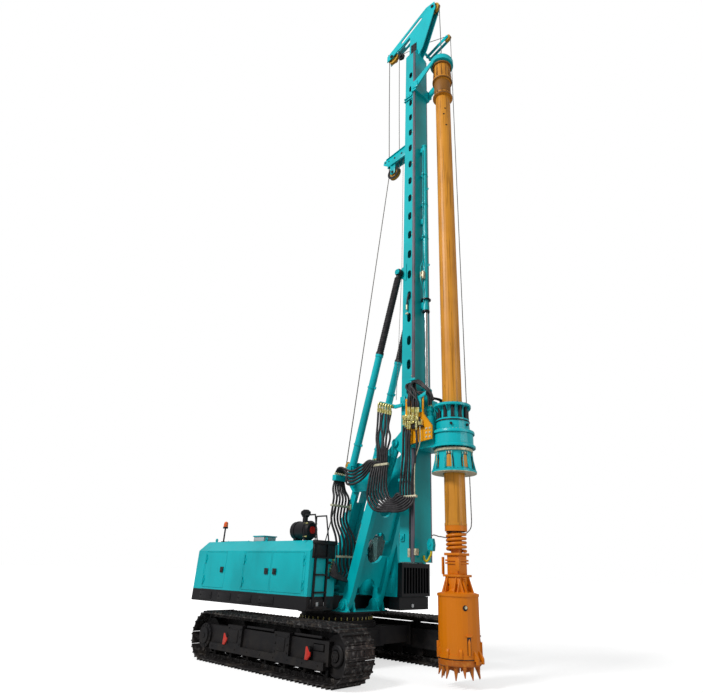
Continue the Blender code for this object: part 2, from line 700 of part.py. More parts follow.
def build_hood():
    """The shell over the engine and the right side, with its three doors."""
    bottom = DECK_TOP + SEAT
    rear = HOOD_REAR_X + COUNTERWEIGHT_LENGTH + SEAT
    # low y, high y, front x
    wings = (
        (-HOOD_SIDE_Y, HOOD_SIDE_Y, BAY_FRONT_X),
        (-HOOD_SIDE_Y, RIGHT_ARM_INNER_Y, HOOD_FRONT_X),
        (LEFT_ARM_INNER_Y, HOOD_SIDE_Y, CAB_REAR_X - SEAT),
    )
    outside = [plate_x(hood_outline(0, y0, y1, bottom), rear, x1) for y0, y1, x1 in wings]
    inside = [
        plate_x(hood_outline(HOOD_WALL, y0, y1, bottom - 0.1), rear + HOOD_WALL, x1 - HOOD_WALL)
        for y0, y1, x1 in wings
    ]
    room = fuse(inside[0], inside[1:])
    cutters = [room]
    knuckles = []
    for _, hinge_x, free_x, heights in HOOD_DOORS:
        x0, x1 = sorted((hinge_x, free_x))
        cutters.append(box(x0, x1, -HOOD_SIDE_Y - 0.1, -HOOD_SIDE_Y + HOOD_WALL * 2, DOOR_BOTTOM, DOOR_TOP))
        toward = 1 if hinge_x > free_x else -1
        knuckles += knuckle(hinge_x, -HOOD_SIDE_Y, -1, toward, heights, True)
    shell = fuse(outside[0], outside[1:], cutters)
    keep(fuse(shell, knuckles), "hood", "teal_paint", "upper")

    for name, hinge_x, free_x, heights in HOOD_DOORS:
        toward = 1 if free_x > hinge_x else -1
        x0, x1 = sorted((hinge_x + toward * CLEAR, free_x - toward * CLEAR))
        panel = box(x0, x1, -HOOD_SIDE_Y, -HOOD_SIDE_Y + HOOD_WALL, DOOR_BOTTOM + CLEAR, DOOR_TOP - CLEAR)
        grip_x = free_x - toward * 0.13
        grip = box(grip_x - 0.05, grip_x + 0.05, -HOOD_SIDE_Y - 0.02, -HOOD_SIDE_Y + 0.01, 1.68, 1.78)
        door = fuse(panel, [grip] + knuckle(hinge_x, -HOOD_SIDE_Y, -1, toward, heights, False))
        keep(door, name, "teal_paint", name)


def build_counterweight():
    """The cast block that closes the rear of the upper."""
    rear = HOOD_REAR_X
    section = hood_outline(0, -HOOD_SIDE_Y, HOOD_SIDE_Y, DECK_TOP + SEAT)
    block = plate_x(section, rear, rear + COUNTERWEIGHT_LENGTH)
    keep(block, "counterweight", "teal_paint", "upper")
    engine = box(-2.95, -1.65, -0.62, 0.62, DECK_TOP + SEAT, 2.05)
    keep(engine, "engine_block", "dark_frame", "upper")


def build_winches():
    """The winch stand in the middle bay and its two drums."""
    top = DECK_TOP + SEAT
    base = box(-1.22, -0.24, -0.40, 0.40, top, top + 0.05)
    plates = []
    for side in (-1, 1):
        y0, y1 = sorted((side * WINCH_PLATE_Y, side * (WINCH_PLATE_Y + WINCH_PLATE_THICKNESS)))
        outline = [(-1.20, top), (-0.26, top)]
        outline += arc(DRUMS[0][2], 0.15, -20, 110, 6)
        outline += arc(DRUMS[1][2], 0.13, 80, 200, 6)
        plates.append(plate_y(outline, y0, y1))
    holes = []
    for _, _, centre, _ in DRUMS:
        holes.append(bore_y(centre, DRUM_SHAFT_RADIUS, -1, 1))
    keep(fuse(base, plates, holes), "winch_stand", "teal_paint", "upper")
    for name, paint_name, centre, radius in DRUMS:
        core = disc_y(centre, radius, -DRUM_HALF_WIDTH, DRUM_HALF_WIDTH, 24)
        flanges = []
        for side in (-1, 1):
            y0, y1 = sorted((side * (DRUM_HALF_WIDTH - 0.02), side * DRUM_HALF_WIDTH))
            flanges.append(disc_y(centre, radius + DRUM_FLANGE_REACH, y0, y1, 24))
        end = WINCH_PLATE_Y + WINCH_PLATE_THICKNESS
        shaft = disc_y(centre, DRUM_SHAFT_RADIUS, -end, end)
        keep(fuse(core, flanges + [shaft]), name, paint_name, name)


def cab_outline(inset):
    """The cab's (x, z) section, moved inward by inset."""
    rear = CAB_REAR_X + inset
    front = CAB_FRONT_X - inset
    top = CAB_TOP - inset
    return [
        (rear, DECK_TOP + SEAT + inset),
        (front - 0.02, DECK_TOP + SEAT + inset),
        (front, CAB_SILL + 0.2),
        (front - 0.10, top - 0.22),
        (front - 0.26, top),
        (rear + 0.14, top),
        (rear, top - 0.14),
    ]


def build_cab():
    """The cab's shell with its windows cut, the door, the seat and the front guard."""
    shell = plate_y(cab_outline(0), CAB_INNER_Y, CAB_OUTER_Y)
    room = plate_y(cab_outline(CAB_WALL), CAB_INNER_Y + CAB_WALL, CAB_OUTER_Y - CAB_WALL)
    post = 0.09
    sill = CAB_SILL
    head = CAB_TOP - 0.26
    inner = CAB_INNER_Y
    door_ends = (CAB_DOOR_HINGE_X, CAB_DOOR_FREE_X)
    cutters = [
        room,
        box(CAB_FRONT_X - 0.35, CAB_FRONT_X + 0.2, inner + post, CAB_OUTER_Y - post, 1.42, head),
        box(CAB_REAR_X - 0.2, CAB_REAR_X + 0.2, inner + post, CAB_OUTER_Y - post, sill + 0.2, head - 0.05),
        box(CAB_REAR_X + 0.14, 0.30, inner - 0.2, inner + 0.2, sill, head),
        box(0.38, CAB_FRONT_X - 0.22, inner - 0.2, inner + 0.2, sill, head),
        box(0.20, 0.85, inner + 0.22, CAB_OUTER_Y - 0.22, CAB_TOP - 0.2, CAB_TOP + 0.2),
        box(CAB_REAR_X + 0.14, CAB_DOOR_HINGE_X - 0.10, CAB_OUTER_Y - 0.2, CAB_OUTER_Y + 0.2, sill, head),
        box(*door_ends, CAB_OUTER_Y - 0.2, CAB_OUTER_Y + 0.2, CAB_DOOR_BOTTOM, CAB_DOOR_TOP),
    ]
    knuckles = knuckle(CAB_DOOR_HINGE_X, CAB_OUTER_Y, 1, -1, CAB_DOOR_KNUCKLES, True)
    shell = fuse(shell, cutters=cutters)
    keep(fuse(shell, knuckles), "cab_shell", "teal_paint", "upper")

    x0 = CAB_DOOR_HINGE_X + CLEAR
    x1 = CAB_DOOR_FREE_X - CLEAR
    panel = box(x0, x1, CAB_OUTER_Y - CAB_WALL, CAB_OUTER_Y, CAB_DOOR_BOTTOM + CLEAR, CAB_DOOR_TOP - CLEAR)
    panes = [
        box(x0 + 0.08, x1 - 0.08, CAB_OUTER_Y - 0.2, CAB_OUTER_Y + 0.2, sill, CAB_DOOR_TOP - 0.09),
        box(x0 + 0.45, x1 - 0.08, CAB_OUTER_Y - 0.2, CAB_OUTER_Y + 0.2, 1.46, sill - 0.06),
    ]
    leaves = knuckle(CAB_DOOR_HINGE_X, CAB_OUTER_Y, 1, 1, CAB_DOOR_KNUCKLES, False)
    keep(fuse(fuse(panel, leaves), cutters=panes), "cab_door", "teal_paint", "cab_door")

    floor = DECK_TOP + SEAT + CAB_WALL + SEAT
    middle = (CAB_INNER_Y + CAB_OUTER_Y) / 2
    plinth = box(-0.20, 0.30, middle - 0.20, middle + 0.20, floor, floor + 0.25)
    back = [(-0.20, floor + 0.38), (-0.06, floor + 0.38), (-0.16, floor + 1.05), (-0.28, floor + 1.05)]
    seat_parts = [
        box(-0.22, 0.32, middle - 0.25, middle + 0.25, floor + 0.24, floor + 0.40),
        plate_y(back, middle - 0.24, middle + 0.24),
        box(-0.15, 0.36, middle - 0.42, middle - 0.30, floor + 0.50, floor + 0.62),
        box(-0.15, 0.36, middle + 0.30, middle + 0.42, floor + 0.50, floor + 0.62),
        box(-0.12, 0.02, middle - 0.40, middle + 0.40, floor + 0.30, floor + 0.52),
    ]
    keep(fuse(plinth, seat_parts), "cab_seat", "seat_fabric", "upper")


def build_guard():
    """The dark cage in front of the cab, with upright bars."""
    back = CAB_FRONT_X + SEAT
    front = back + GUARD_DEPTH
    frame = box(back, front, CAB_INNER_Y, CAB_OUTER_Y - 0.02, GUARD_BOTTOM + 0.19, GUARD_TOP)
    width = CAB_OUTER_Y - 0.02 - CAB_INNER_Y
    slots = []
    pitch = (width - 0.10) / GUARD_BARS
    for i in range(GUARD_BARS):
        y = CAB_INNER_Y + 0.05 + i * pitch
        heights = (GUARD_BOTTOM + 0.25, GUARD_TOP - 0.09)
        slots.append(box(back - 0.1, front + 0.1, y + 0.012, y + pitch - 0.012, *heights))
    guard = fuse(frame, cutters=[gather(slots)])
    keep(guard, "cab_guard", "dark_frame", "upper")


def build_deck_fittings():
    """The ladder with its rails, the air filter and the beacon."""
    face = HOOD_FRONT_X + SEAT
    left, right = -1.36, -1.03
    rails = []
    for y in (left, right):
        rails.append(box(face, face + 0.04, y - 0.02, y + 0.02, 1.09, ROOF_Z))
        rails.append(rod((face + 0.03, y, ROOF_Z - 0.03), (face - 0.10, y, ROOF_Z + 0.505), 0.016, 10))
        rails.append(rod((face - 0.09, y, ROOF_Z + 0.50), (face - 0.43, y, ROOF_Z + 0.50), 0.015, 10))
        rails.append(rod((face - 0.42, y, ROOF_Z + 0.50), (face - 0.42, y, ROOF_Z + SEAT), 0.013, 10))
    rungs = [box(face, face + 0.07, left, right, z, z + 0.03) for z in (1.36, 1.68, 2.00)]
    rungs.append(box(face, face + 0.10, left, right, 1.09, 1.13))
    keep(fuse(rungs[0], rungs[1:] + rails), "ladder", "dark_frame", "upper")

    roof = ROOF_Z + SEAT
    filter_z = roof + 0.22
    can = rod((-0.42, -1.04, filter_z), (0.16, -1.04, filter_z), 0.20)
    feet = [box(x - 0.03, x + 0.03, -1.14, -0.94, roof, filter_z) for x in (-0.30, 0.04)]
    stack = rod((-0.12, -1.04, filter_z), (-0.12, -1.04, filter_z + 0.36), 0.06, 16)
    cap = rod((-0.12, -1.04, filter_z + 0.28), (-0.12, -1.04, filter_z + 0.44), 0.11, 20)
    keep(fuse(can, feet + [stack, cap]), "air_filter", "teal_paint", "upper")

    lamp = rod((-3.20, -1.12, roof), (-3.20, -1.12, roof + 0.34), 0.022, 12)
    keep(fuse(lamp, [
        rod((-3.20, -1.12, roof), (-3.20, -1.12, roof + 0.02), 0.06, 16),
        rod((-3.20, -1.12, roof + 0.33), (-3.20, -1.12, roof + 0.50), 0.065, 16),
    ]), "beacon", "lamp_plastic", "upper")


def boom_point(distance, offset):
    """A point at a distance up the boom, moved forward by offset, in (x, z)."""
    length = math.dist(BOOM_FOOT, BOOM_HEAD)
    ax = (BOOM_HEAD[0] - BOOM_FOOT[0]) / length
    az = (BOOM_HEAD[1] - BOOM_FOOT[1]) / length
    return (BOOM_FOOT[0] + ax * distance + az * offset, BOOM_FOOT[1] + az * distance - ax * offset)


def boom_slab(low, high, half_thickness, y0, y1):
    """A slab across the boom between two distances up it."""
    outline = [
        boom_point(low, -half_thickness),
        boom_point(low, half_thickness),
        boom_point(high, half_thickness),
        boom_point(high, -half_thickness),
    ]
    return plate_y(outline, y0, y1)


def build_boom():
    """The H-shaped boom: two legs and two scooped cross plates."""
    length = math.dist(BOOM_FOOT, BOOM_HEAD)
    parts = []
    for side in (-1, 1):
        y0, y1 = band(BOOM_LEG_Y, BOOM_LEG_WIDTH, side)
        outline = arc(BOOM_FOOT, 0.10, 162 - 90 + 90, 342, 8)
        outline += [boom_point(0.25, BOOM_LEG_DEPTH / 2), boom_point(length - 0.3, BOOM_LEG_DEPTH / 2)]
        outline += arc(BOOM_HEAD, 0.095, -18, 162, 8)
        outline += [boom_point(length - 0.3, -BOOM_LEG_DEPTH / 2), boom_point(0.25, -BOOM_LEG_DEPTH / 2)]
        parts.append(plate_y(outline, y0, y1))
    inner = BOOM_LEG_Y - BOOM_LEG_WIDTH / 2 + 0.02
    half = BOOM_PLATE_THICKNESS / 2
    # low and high distance up the boom, then the distance and radius of each scoop
    plates = ((0.36, 1.00, ((0.30, 0.24), (1.10, 0.26))), (1.34, 1.98, ((1.28, 0.22), (2.06, 0.24))))
    for low, high, scoops in plates:
        slab = boom_slab(low, high, half, -inner, inner)
        cutters = []
        for distance, radius in scoops:
            cutters.append(rod(
                in_space(boom_point(distance, -0.3), 0), in_space(boom_point(distance, 0.3), 0), radius
            ))
        parts.append(fuse(slab, cutters=cutters))
    ear_root = boom_point(1.60, -half + 0.01)
    for side in (-1, 1):
        eye = LUFF_BARREL_RADIUS + 0.012
        y0, y1 = sorted((side * eye, side * (eye + 0.03)))
        ear = [boom_point(1.30 + 0.12, -half + 0.01), ear_root] + arc(LUFF_HEAD, 0.06, 70, 250, 8)
        parts.append(plate_y(ear, y0, y1))
    parts.append(disc_y(LUFF_HEAD, 0.03, -LUFF_BARREL_RADIUS - 0.03, LUFF_BARREL_RADIUS + 0.03))
    for side in (-1, 1):
        y0, y1 = sorted((side * (CRADLE_PLATE_Y - 0.04), side * (BOOM_LEG_Y + BOOM_LEG_WIDTH / 2 + 0.03)))
        parts.append(disc_y(BOOM_HEAD, PIN_RADIUS, y0, y1))
    hole = bore_y(BOOM_FOOT, PIN_RADIUS, -1, 1)
    keep(fuse(parts[0], parts[1:], [hole]), "boom", "teal_paint", "boom")


def build_rear_link():
    """The rear link of the parallelogram: two arms and a web."""
    parts = []
    for side in (-1, 1):
        y0, y1 = band(LINK_LEG_Y, LINK_LEG_WIDTH, side)
        parts.append(plate_y(strap(LINK_FOOT, LINK_HEAD, LINK_LEG_DEPTH / 2 - 0.02), y0, y1))
    low = along(LINK_FOOT, LINK_HEAD, 0.35)
    high = along(LINK_FOOT, LINK_HEAD, 1.85)
    parts.append(plate_y(strap(low, high, 0.03, 4), -LINK_LEG_Y, LINK_LEG_Y))
    holes = [
        bore_y(LINK_FOOT, PIN_RADIUS - 0.01, -1, 1),
        bore_y(LINK_HEAD, PIN_RADIUS - 0.01, -1, 1),
    ]
    keep(fuse(parts[0], parts[1:], holes), "rear_link", "teal_paint", "rear_link")


def build_cradle():
    """The triangle between the boom, the rear link and the mast."""
    outline = [
        (0.42, 3.62),
        (0.36, 3.86),
        (0.50, 4.06),
        (0.72, 4.08),
        (1.10, 3.98),
        (1.62, 4.22),
    ]
    outline += arc(MAST_PIN, 0.10, 130, -60, 8)
    outline += arc(BOOM_HEAD, 0.10, 10, -110, 6)
    outline += [(1.05, 3.42), (0.72, 3.42), (0.58, 3.42)]
    parts = []
    for side in (-1, 1):
        y0, y1 = band(CRADLE_PLATE_Y, CRADLE_PLATE_THICKNESS, side)
        parts.append(plate_y(outline, y0, y1))
        y0, y1 = sorted((side * CRADLE_PLATE_Y, side * (TILT_Y + 0.09)))
        parts.append(disc_y(TILT_FOOT, PIN_RADIUS, y0, y1))
    parts.append(disc_y(LINK_HEAD, PIN_RADIUS - 0.01, -CRADLE_PLATE_Y, CRADLE_PLATE_Y))
    parts.append(disc_y((1.10, 3.74), 0.11, -CRADLE_PLATE_Y, CRADLE_PLATE_Y))
    holes = [
        bore_y(BOOM_HEAD, PIN_RADIUS, -1, 1),
        bore_y(MAST_PIN, PIN_RADIUS, -1, 1),
    ]
    keep(fuse(parts[0], parts[1:], holes), "cradle", "teal_paint", "cradle")


def build_cylinder(foot, head, y, radii, barrel_length, stroke, names, bodies, eyes, colours):
    """A barrel with a foot eye, and a rod that ends in an open eye at its head."""
    barrel_radius, rod_radius = radii
    half_width, foot_pin, head_pin = eyes
    start = in_space(along(foot, head, foot_pin + 0.015), y)
    top = in_space(along(foot, head, barrel_length), y)
    barrel = rod(start, top, barrel_radius)
    collar = rod(in_space(along(foot, head, barrel_length - 0.06), y), top, barrel_radius + 0.012)
    eye = disc_y(foot, foot_pin + 0.04, y - half_width, y + half_width)
    bore_start = in_space(along(foot, head, foot_pin + 0.10), y)
    bore_end = in_space(along(foot, head, barrel_length + 0.1), y)
    cutters = [
        rod(bore_start, bore_end, rod_radius + RUNNING),
        bore_y(foot, foot_pin, y - 1, y + 1),
    ]
    keep(fuse(barrel, [collar, eye], cutters), names[0], colours[0], bodies[0])
    tail = in_space(along(foot, head, foot_pin + 0.12 + stroke), y)
    tip = in_space(along(head, foot, head_pin + EYE_DRIFT + 0.01), y)
    bar = rod(tail, tip, rod_radius)
    head_eye = disc_y(head, head_pin + EYE_DRIFT + 0.035, y - half_width, y + half_width)
    hole = disc_y(head, head_pin + EYE_DRIFT, y - 1, y + 1)
    keep(fuse(bar, [head_eye], [hole]), names[1], colours[1], bodies[1])


def build_cylinders():
    """The luffing cylinder and the two mast tilt cylinders."""
    build_cylinder(
        LUFF_FOOT, LUFF_HEAD, 0, (LUFF_BARREL_RADIUS, LUFF_ROD_RADIUS), LUFF_BARREL_LENGTH, LUFF_STROKE,
        ("luff_barrel", "luff_rod"), ("luff_barrel", "luff_rod"), (0.06, 0.035, 0.03),
        ("teal_paint", "chrome"),
    )
    for side, word in ((-1, "right"), (1, "left")):
        build_cylinder(
            TILT_FOOT, TILT_HEAD, side * TILT_Y, (TILT_BARREL_RADIUS, TILT_ROD_RADIUS),
            TILT_BARREL_LENGTH, TILT_STROKE,
            ("tilt_barrel_" + word, "tilt_rod_" + word), ("tilt_barrels", "tilt_rods"),
            (0.055, PIN_RADIUS, PIN_RADIUS), ("teal_paint", "dark_frame"),
        )


def mast_tube(z0, z1):
    """A stretch of the mast's box section with its two guide rails."""
    body = box(MAST_BACK_X, MAST_FRONT_X, -MAST_HALF_WIDTH, MAST_HALF_WIDTH, z0, z1)
    reach = MAST_HALF_WIDTH + RAIL_WIDTH
    rails = box(MAST_FRONT_X - RAIL_DEPTH, MAST_FRONT_X, -reach, reach, z0, z1)
    inner = MAST_HALF_WIDTH - MAST_WALL
    bore = box(MAST_BACK_X + MAST_WALL, MAST_FRONT_X - MAST_WALL, -inner, inner, z0 - 1, z1 + 1)
    return fuse(body, [rails], [bore])


def flange(z0, z1):
    """A bolted collar round the mast's back and sides, hollow like the mast."""
    reach = MAST_HALF_WIDTH + FLANGE_REACH
    inner = MAST_HALF_WIDTH - MAST_WALL
    collar = box(MAST_BACK_X - FLANGE_REACH, MAST_FRONT_X - RAIL_DEPTH - 0.08, -reach, reach, z0, z1)
    cut = box(MAST_BACK_X + MAST_WALL, MAST_FRONT_X, -inner, inner, z0 - 1, z1 + 1)
    return fuse(collar, cutters=[cut])


def oval(z):
    """A cutter for one upright oval hole through both side walls."""
    straight = HOLE_HEIGHT / 2 - HOLE_WIDTH / 2
    outline = strap((HOLE_X, z - straight), (HOLE_X, z + straight), HOLE_WIDTH / 2, 3)
    return plate_y(outline, -1, 1)


def build_mast():
    """The mast's foot section and its long main section."""
    foot = mast_tube(MAST_FOOT_Z, MAST_JOINT_Z - SEAT)
    foot_parts = [flange(MAST_JOINT_Z - SEAT - FLANGE_THICKNESS, MAST_JOINT_Z - SEAT)]
    cap = box(MAST_BACK_X, MAST_FRONT_X, -MAST_HALF_WIDTH, MAST_HALF_WIDTH, MAST_FOOT_Z, MAST_FOOT_Z + 0.03)
    foot_parts.append(cap)
    keep(fuse(foot, foot_parts), "mast_foot", "teal_paint", "mast")

    main = mast_tube(MAST_JOINT_Z, MAST_TOP_Z)
    parts = [flange(MAST_JOINT_Z, MAST_JOINT_Z + FLANGE_THICKNESS)]
    for z in (15.05, 15.16):
        parts.append(flange(z, z + FLANGE_THICKNESS))
    for side in (-1, 1):
        lug_in = CRADLE_PLATE_Y + CRADLE_PLATE_THICKNESS / 2 + CLEAR
        y0, y1 = sorted((side * lug_in, side * (lug_in + 0.045)))
        lug = [(MAST_BACK_X + 0.1, MAST_PIN[1] - 0.30), (MAST_BACK_X + 0.1, MAST_PIN[1] + 0.30)]
        lug += arc(MAST_PIN, 0.11, 100, 260, 8)
        parts.append(plate_y(lug, y0, y1))
        y0, y1 = sorted((side * (CRADLE_PLATE_Y - 0.04), side * (lug_in + 0.07)))
        parts.append(disc_y(MAST_PIN, PIN_RADIUS, y0, y1))
        y0, y1 = sorted((side * (MAST_HALF_WIDTH - 0.05), side * (TILT_Y + 0.075)))
        parts.append(disc_y(TILT_HEAD, PIN_RADIUS, y0, y1))
        y0, y1 = sorted((side * (MAST_HALF_WIDTH - MAST_WALL), side * (TILT_Y - TILT_ROD_RADIUS - CLEAR)))
        cheek = arc(TILT_HEAD, 0.13, 100, 260, 8) + [(MAST_BACK_X + 0.12, 8.55), (MAST_BACK_X + 0.12, 9.05)]
        parts.append(plate_y(cheek, y0, y1))
    hole_heights = [MAST_HOLES_LOW + i * MAST_HOLE_PITCH for i in range(MAST_HOLE_COUNT)]
    cutter = gather([oval(z) for z in hole_heights])
    keep(fuse(main, parts, [cutter]), "mast_main", "teal_paint", "mast")


def build_mast_head():
    """The sloping head beam with its cheeks, the auxiliary arm and the mid pulley's arm."""
    outline = [
        (1.04, 17.86),
        (1.04, 18.14),
        (2.80, 19.22),
        (3.16, 19.22),
        (3.20, 18.92),
        (2.66, 17.40),
        (MAST_FRONT_X, MAST_TOP_Z + SEAT),
        (MAST_BACK_X, MAST_TOP_Z + SEAT),
        (2.10, 18.30),
    ]
    parts = []
    for side in (-1, 1):
        y0, y1 = band(HEAD_PLATE_Y, HEAD_PLATE_THICKNESS, side)
        parts.append(plate_y(outline, y0, y1))
        low = AUX_SHEAVE_Y + side * 0.075 - 0.0125
        arm = strap(AUX_ROOT, AUX_SHEAVE, 0.07)
        parts.append(plate_y(arm, low, low + 0.025))
    half = MAST_HALF_WIDTH
    base = box(MAST_BACK_X, MAST_FRONT_X, -half, half, MAST_TOP_Z + SEAT, MAST_TOP_Z + 0.04)
    web = box(2.14, 2.44, -HEAD_PLATE_Y, HEAD_PLATE_Y, MAST_TOP_Z + 0.02, 18.05)
    parts.append(disc_y(AUX_SHEAVE, SHEAVE_PIN_RADIUS, AUX_SHEAVE_Y - 0.10, AUX_SHEAVE_Y + 0.10, 12))
    parts.append(disc_y(AUX_ROOT, 0.045, 0.03, AUX_SHEAVE_Y + 0.10, 12))
    for centre in (TOP_SHEAVE, REAR_SHEAVE):
        parts.append(disc_y(centre, SHEAVE_PIN_RADIUS, -HEAD_PLATE_Y - 0.031, HEAD_PLATE_Y + 0.031, 12))
    slots = [plate_y(strap((1.75, 18.36), (2.55, 18.84), 0.07), -1, 1)]
    keep(fuse(base, [web] + parts, slots), "mast_head", "teal_paint", "mast")

    root = MAST_BACK_X - SEAT
    pad = box(root - 0.03, root, -0.18, 0.18, 12.95, 13.55)
    arms = []
    for side in (-1, 1):
        y0, y1 = band(HEAD_PLATE_Y, HEAD_PLATE_THICKNESS, side)
        outline = [(root - 0.02, 13.02), (root - 0.02, 13.50), (1.02, 13.36), (1.02, 13.18)]
        arms.append(plate_y(outline + [MID_CHEEK_LOW, MID_CHEEK_FRONT], y0, y1))
    tie = disc_y((1.12, 13.26), 0.03, -HEAD_PLATE_Y, HEAD_PLATE_Y, 16)
    pin = disc_y(MID_SHEAVE, SHEAVE_PIN_RADIUS, -HEAD_PLATE_Y - 0.03, HEAD_PLATE_Y + 0.03)
    keep(fuse(pad, arms + [tie, pin]), "mid_pulley_arm", "teal_paint", "mast")

    for name, centre, y, radius in SHEAVES:
        keep(sheave(centre, y, radius), name, "sheave_paint", name)


def sheave(centre, y, radius):
    """A grooved pulley on an axis along y, turned from its section."""
    half = SHEAVE_WIDTH / 2
    half_step = math.pi / ROUND
    bore = (SHEAVE_PIN_RADIUS + RUNNING) / math.cos(half_step)
    wheel = lathe(
        (
            (bore, -half),
            (bore + 0.03, -half),
            (bore + 0.035, -half * 0.5),
            (radius - 0.06, -half * 0.5),
            (radius - 0.05, -half),
            (radius, -half),
            (radius - 0.045, 0),
            (radius, half),
            (radius - 0.05, half),
            (radius - 0.06, half * 0.5),
            (bore + 0.035, half * 0.5),
            (bore + 0.03, half),
            (bore, half),
        ),
        (0, 0),
        ROUND,
    )
    turn = Matrix.Rotation(math.pi / 2, 4, "X") @ Matrix.Rotation(half_step, 4, "Z")
    wheel.data.transform(Matrix.Translation(in_space(centre, y)) @ turn)
    return wheel


def build_crowd_cylinder():
    """The crowd cylinder on the mast's front: fixed barrel, moving rod."""
    face = MAST_FRONT_X + SEAT
    barrel = rod((CROWD_X, 0, CROWD_BARREL_BOTTOM_Z), (CROWD_X, 0, CROWD_TOP_Z), CROWD_BARREL_RADIUS)
    mounts = [box(face, CROWD_X, -0.06, 0.06, z, z + 0.16) for z in (7.72, 10.30, 12.86)]
    collar = rod((CROWD_X, 0, CROWD_BARREL_BOTTOM_Z), (CROWD_X, 0, CROWD_BARREL_BOTTOM_Z + 0.16), 0.09)
    bore_ends = ((CROWD_X, 0, CROWD_BARREL_BOTTOM_Z - 0.1), (CROWD_X, 0, CROWD_TOP_Z - 0.2))
    bore = rod(*bore_ends, CROWD_ROD_RADIUS + RUNNING)
    keep(fuse(barrel, mounts + [collar], [bore]), "crowd_barrel", "teal_paint", "mast")
    bar = rod((CROWD_X, 0, DRIVE_LUG_Z + 0.02), (CROWD_X, 0, 10.60), CROWD_ROD_RADIUS)
    eye = disc_y((CROWD_X, DRIVE_LUG_Z), 0.07, -0.045, 0.045)
    pin_hole = disc_y((CROWD_X, DRIVE_LUG_Z), 0.03 + SEAT, -1, 1)
    keep(fuse(bar, [eye], [pin_hole]), "crowd_rod", "chrome", "drive")


def build_drive():
    """The carriage on the rails, its side plates, the gear housing and the sleeve."""
    rail_out = MAST_HALF_WIDTH + RAIL_WIDTH
    inner = rail_out + RUNNING
    back = MAST_FRONT_X - RAIL_DEPTH - RUNNING
    face = MAST_FRONT_X + RUNNING
    low, high = 4.22, 5.40
    crosshead = box(face, face + 0.11, -CARRIAGE_HALF_WIDTH, CARRIAGE_HALF_WIDTH, low, high)
    parts = []
    for side in (-1, 1):
        y0, y1 = sorted((side * inner, side * CARRIAGE_HALF_WIDTH))
        parts.append(box(back - 0.05, face + 0.11, y0, y1, low, high))
        y0, y1 = sorted((side * (MAST_HALF_WIDTH + 0.008), side * (inner + 0.02)))
        parts.append(box(back - 0.05, back, y0, y1, low, high))
        y0, y1 = sorted((side * 0.06, side * 0.10))
        lug = [(face + 0.01, 5.20), (CROWD_X + 0.08, 5.20), (CROWD_X + 0.08, DRIVE_LUG_Z)]
        lug += [(CROWD_X, DRIVE_LUG_Z + 0.08), (CROWD_X - 0.08, DRIVE_LUG_Z), (face + 0.01, 5.38)]
        parts.append(plate_y(lug, y0, y1))
    parts.append(disc_y((CROWD_X, DRIVE_LUG_Z), 0.03, -0.10, 0.10))
    keep(fuse(crosshead, parts), "drive_carriage", "teal_paint", "drive")

    plate = ((2.36, 4.26), (2.36, 5.30), (2.46, 5.30), (2.84, 5.08), (2.88, 4.88), (3.10, 4.60), (3.10, 4.32))
    for side, word in ((-1, "right"), (1, "left")):
        y0, y1 = sorted((side * (CARRIAGE_HALF_WIDTH + SEAT), side * (CARRIAGE_HALF_WIDTH + 0.04)))
        keep(plate_y(plate, y0, y1), "drive_plate_" + word, "orange_paint", "drive")

    block = box(face + 0.11 + SEAT, KELLY_X, -0.34, 0.34, DRIVE_BOTTOM_Z + 0.03, DRIVE_TOP_Z - 0.02)
    drum = disc_z((KELLY_X, 0), CARRIAGE_HALF_WIDTH - 0.01, DRIVE_BOTTOM_Z, DRIVE_TOP_Z, 32)
    neck = disc_z((KELLY_X, 0), 0.36, DRIVE_TOP_Z - 0.05, 4.72, 32)
    motors = []
    for y in (-0.24, 0.24):
        motors.append(rod((2.88, y, DRIVE_TOP_Z - 0.1), (2.88, y, 4.86), 0.11, 20))
        motors.append(rod((2.88, y, 4.84), (2.88, y, 4.98), 0.07, 16))
    bore = disc_z((KELLY_X, 0), 0.29, 0, 9, 32)
    keep(fuse(block, [drum, neck] + motors, [bore]), "drive_housing", "teal_paint", "drive")

    sleeve = lathe(
        (
            (SLEEVE_BORE, BELL_BOTTOM_Z),
            (BELL_RADIUS, BELL_BOTTOM_Z),
            (BELL_RADIUS, BELL_BOTTOM_Z + 0.04),
            (0.40, BELL_BOTTOM_Z + 0.05),
            (0.37, 4.00),
            (0.37, DRIVE_BOTTOM_Z - 0.02),
            (0.288, DRIVE_BOTTOM_Z - 0.02),
            (0.288, 4.73),
            (0.36, 4.73),
            (0.36, 4.76),
            (0.30, 4.77),
            (0.30, 5.02),
            (0.41, 5.03),
            (0.41, SLEEVE_TOP_Z),
            (SLEEVE_BORE, SLEEVE_TOP_Z),
        ),
        (KELLY_X, 0),
    )
    keep(sleeve, "drive_sleeve", "dark_frame", "sleeve")


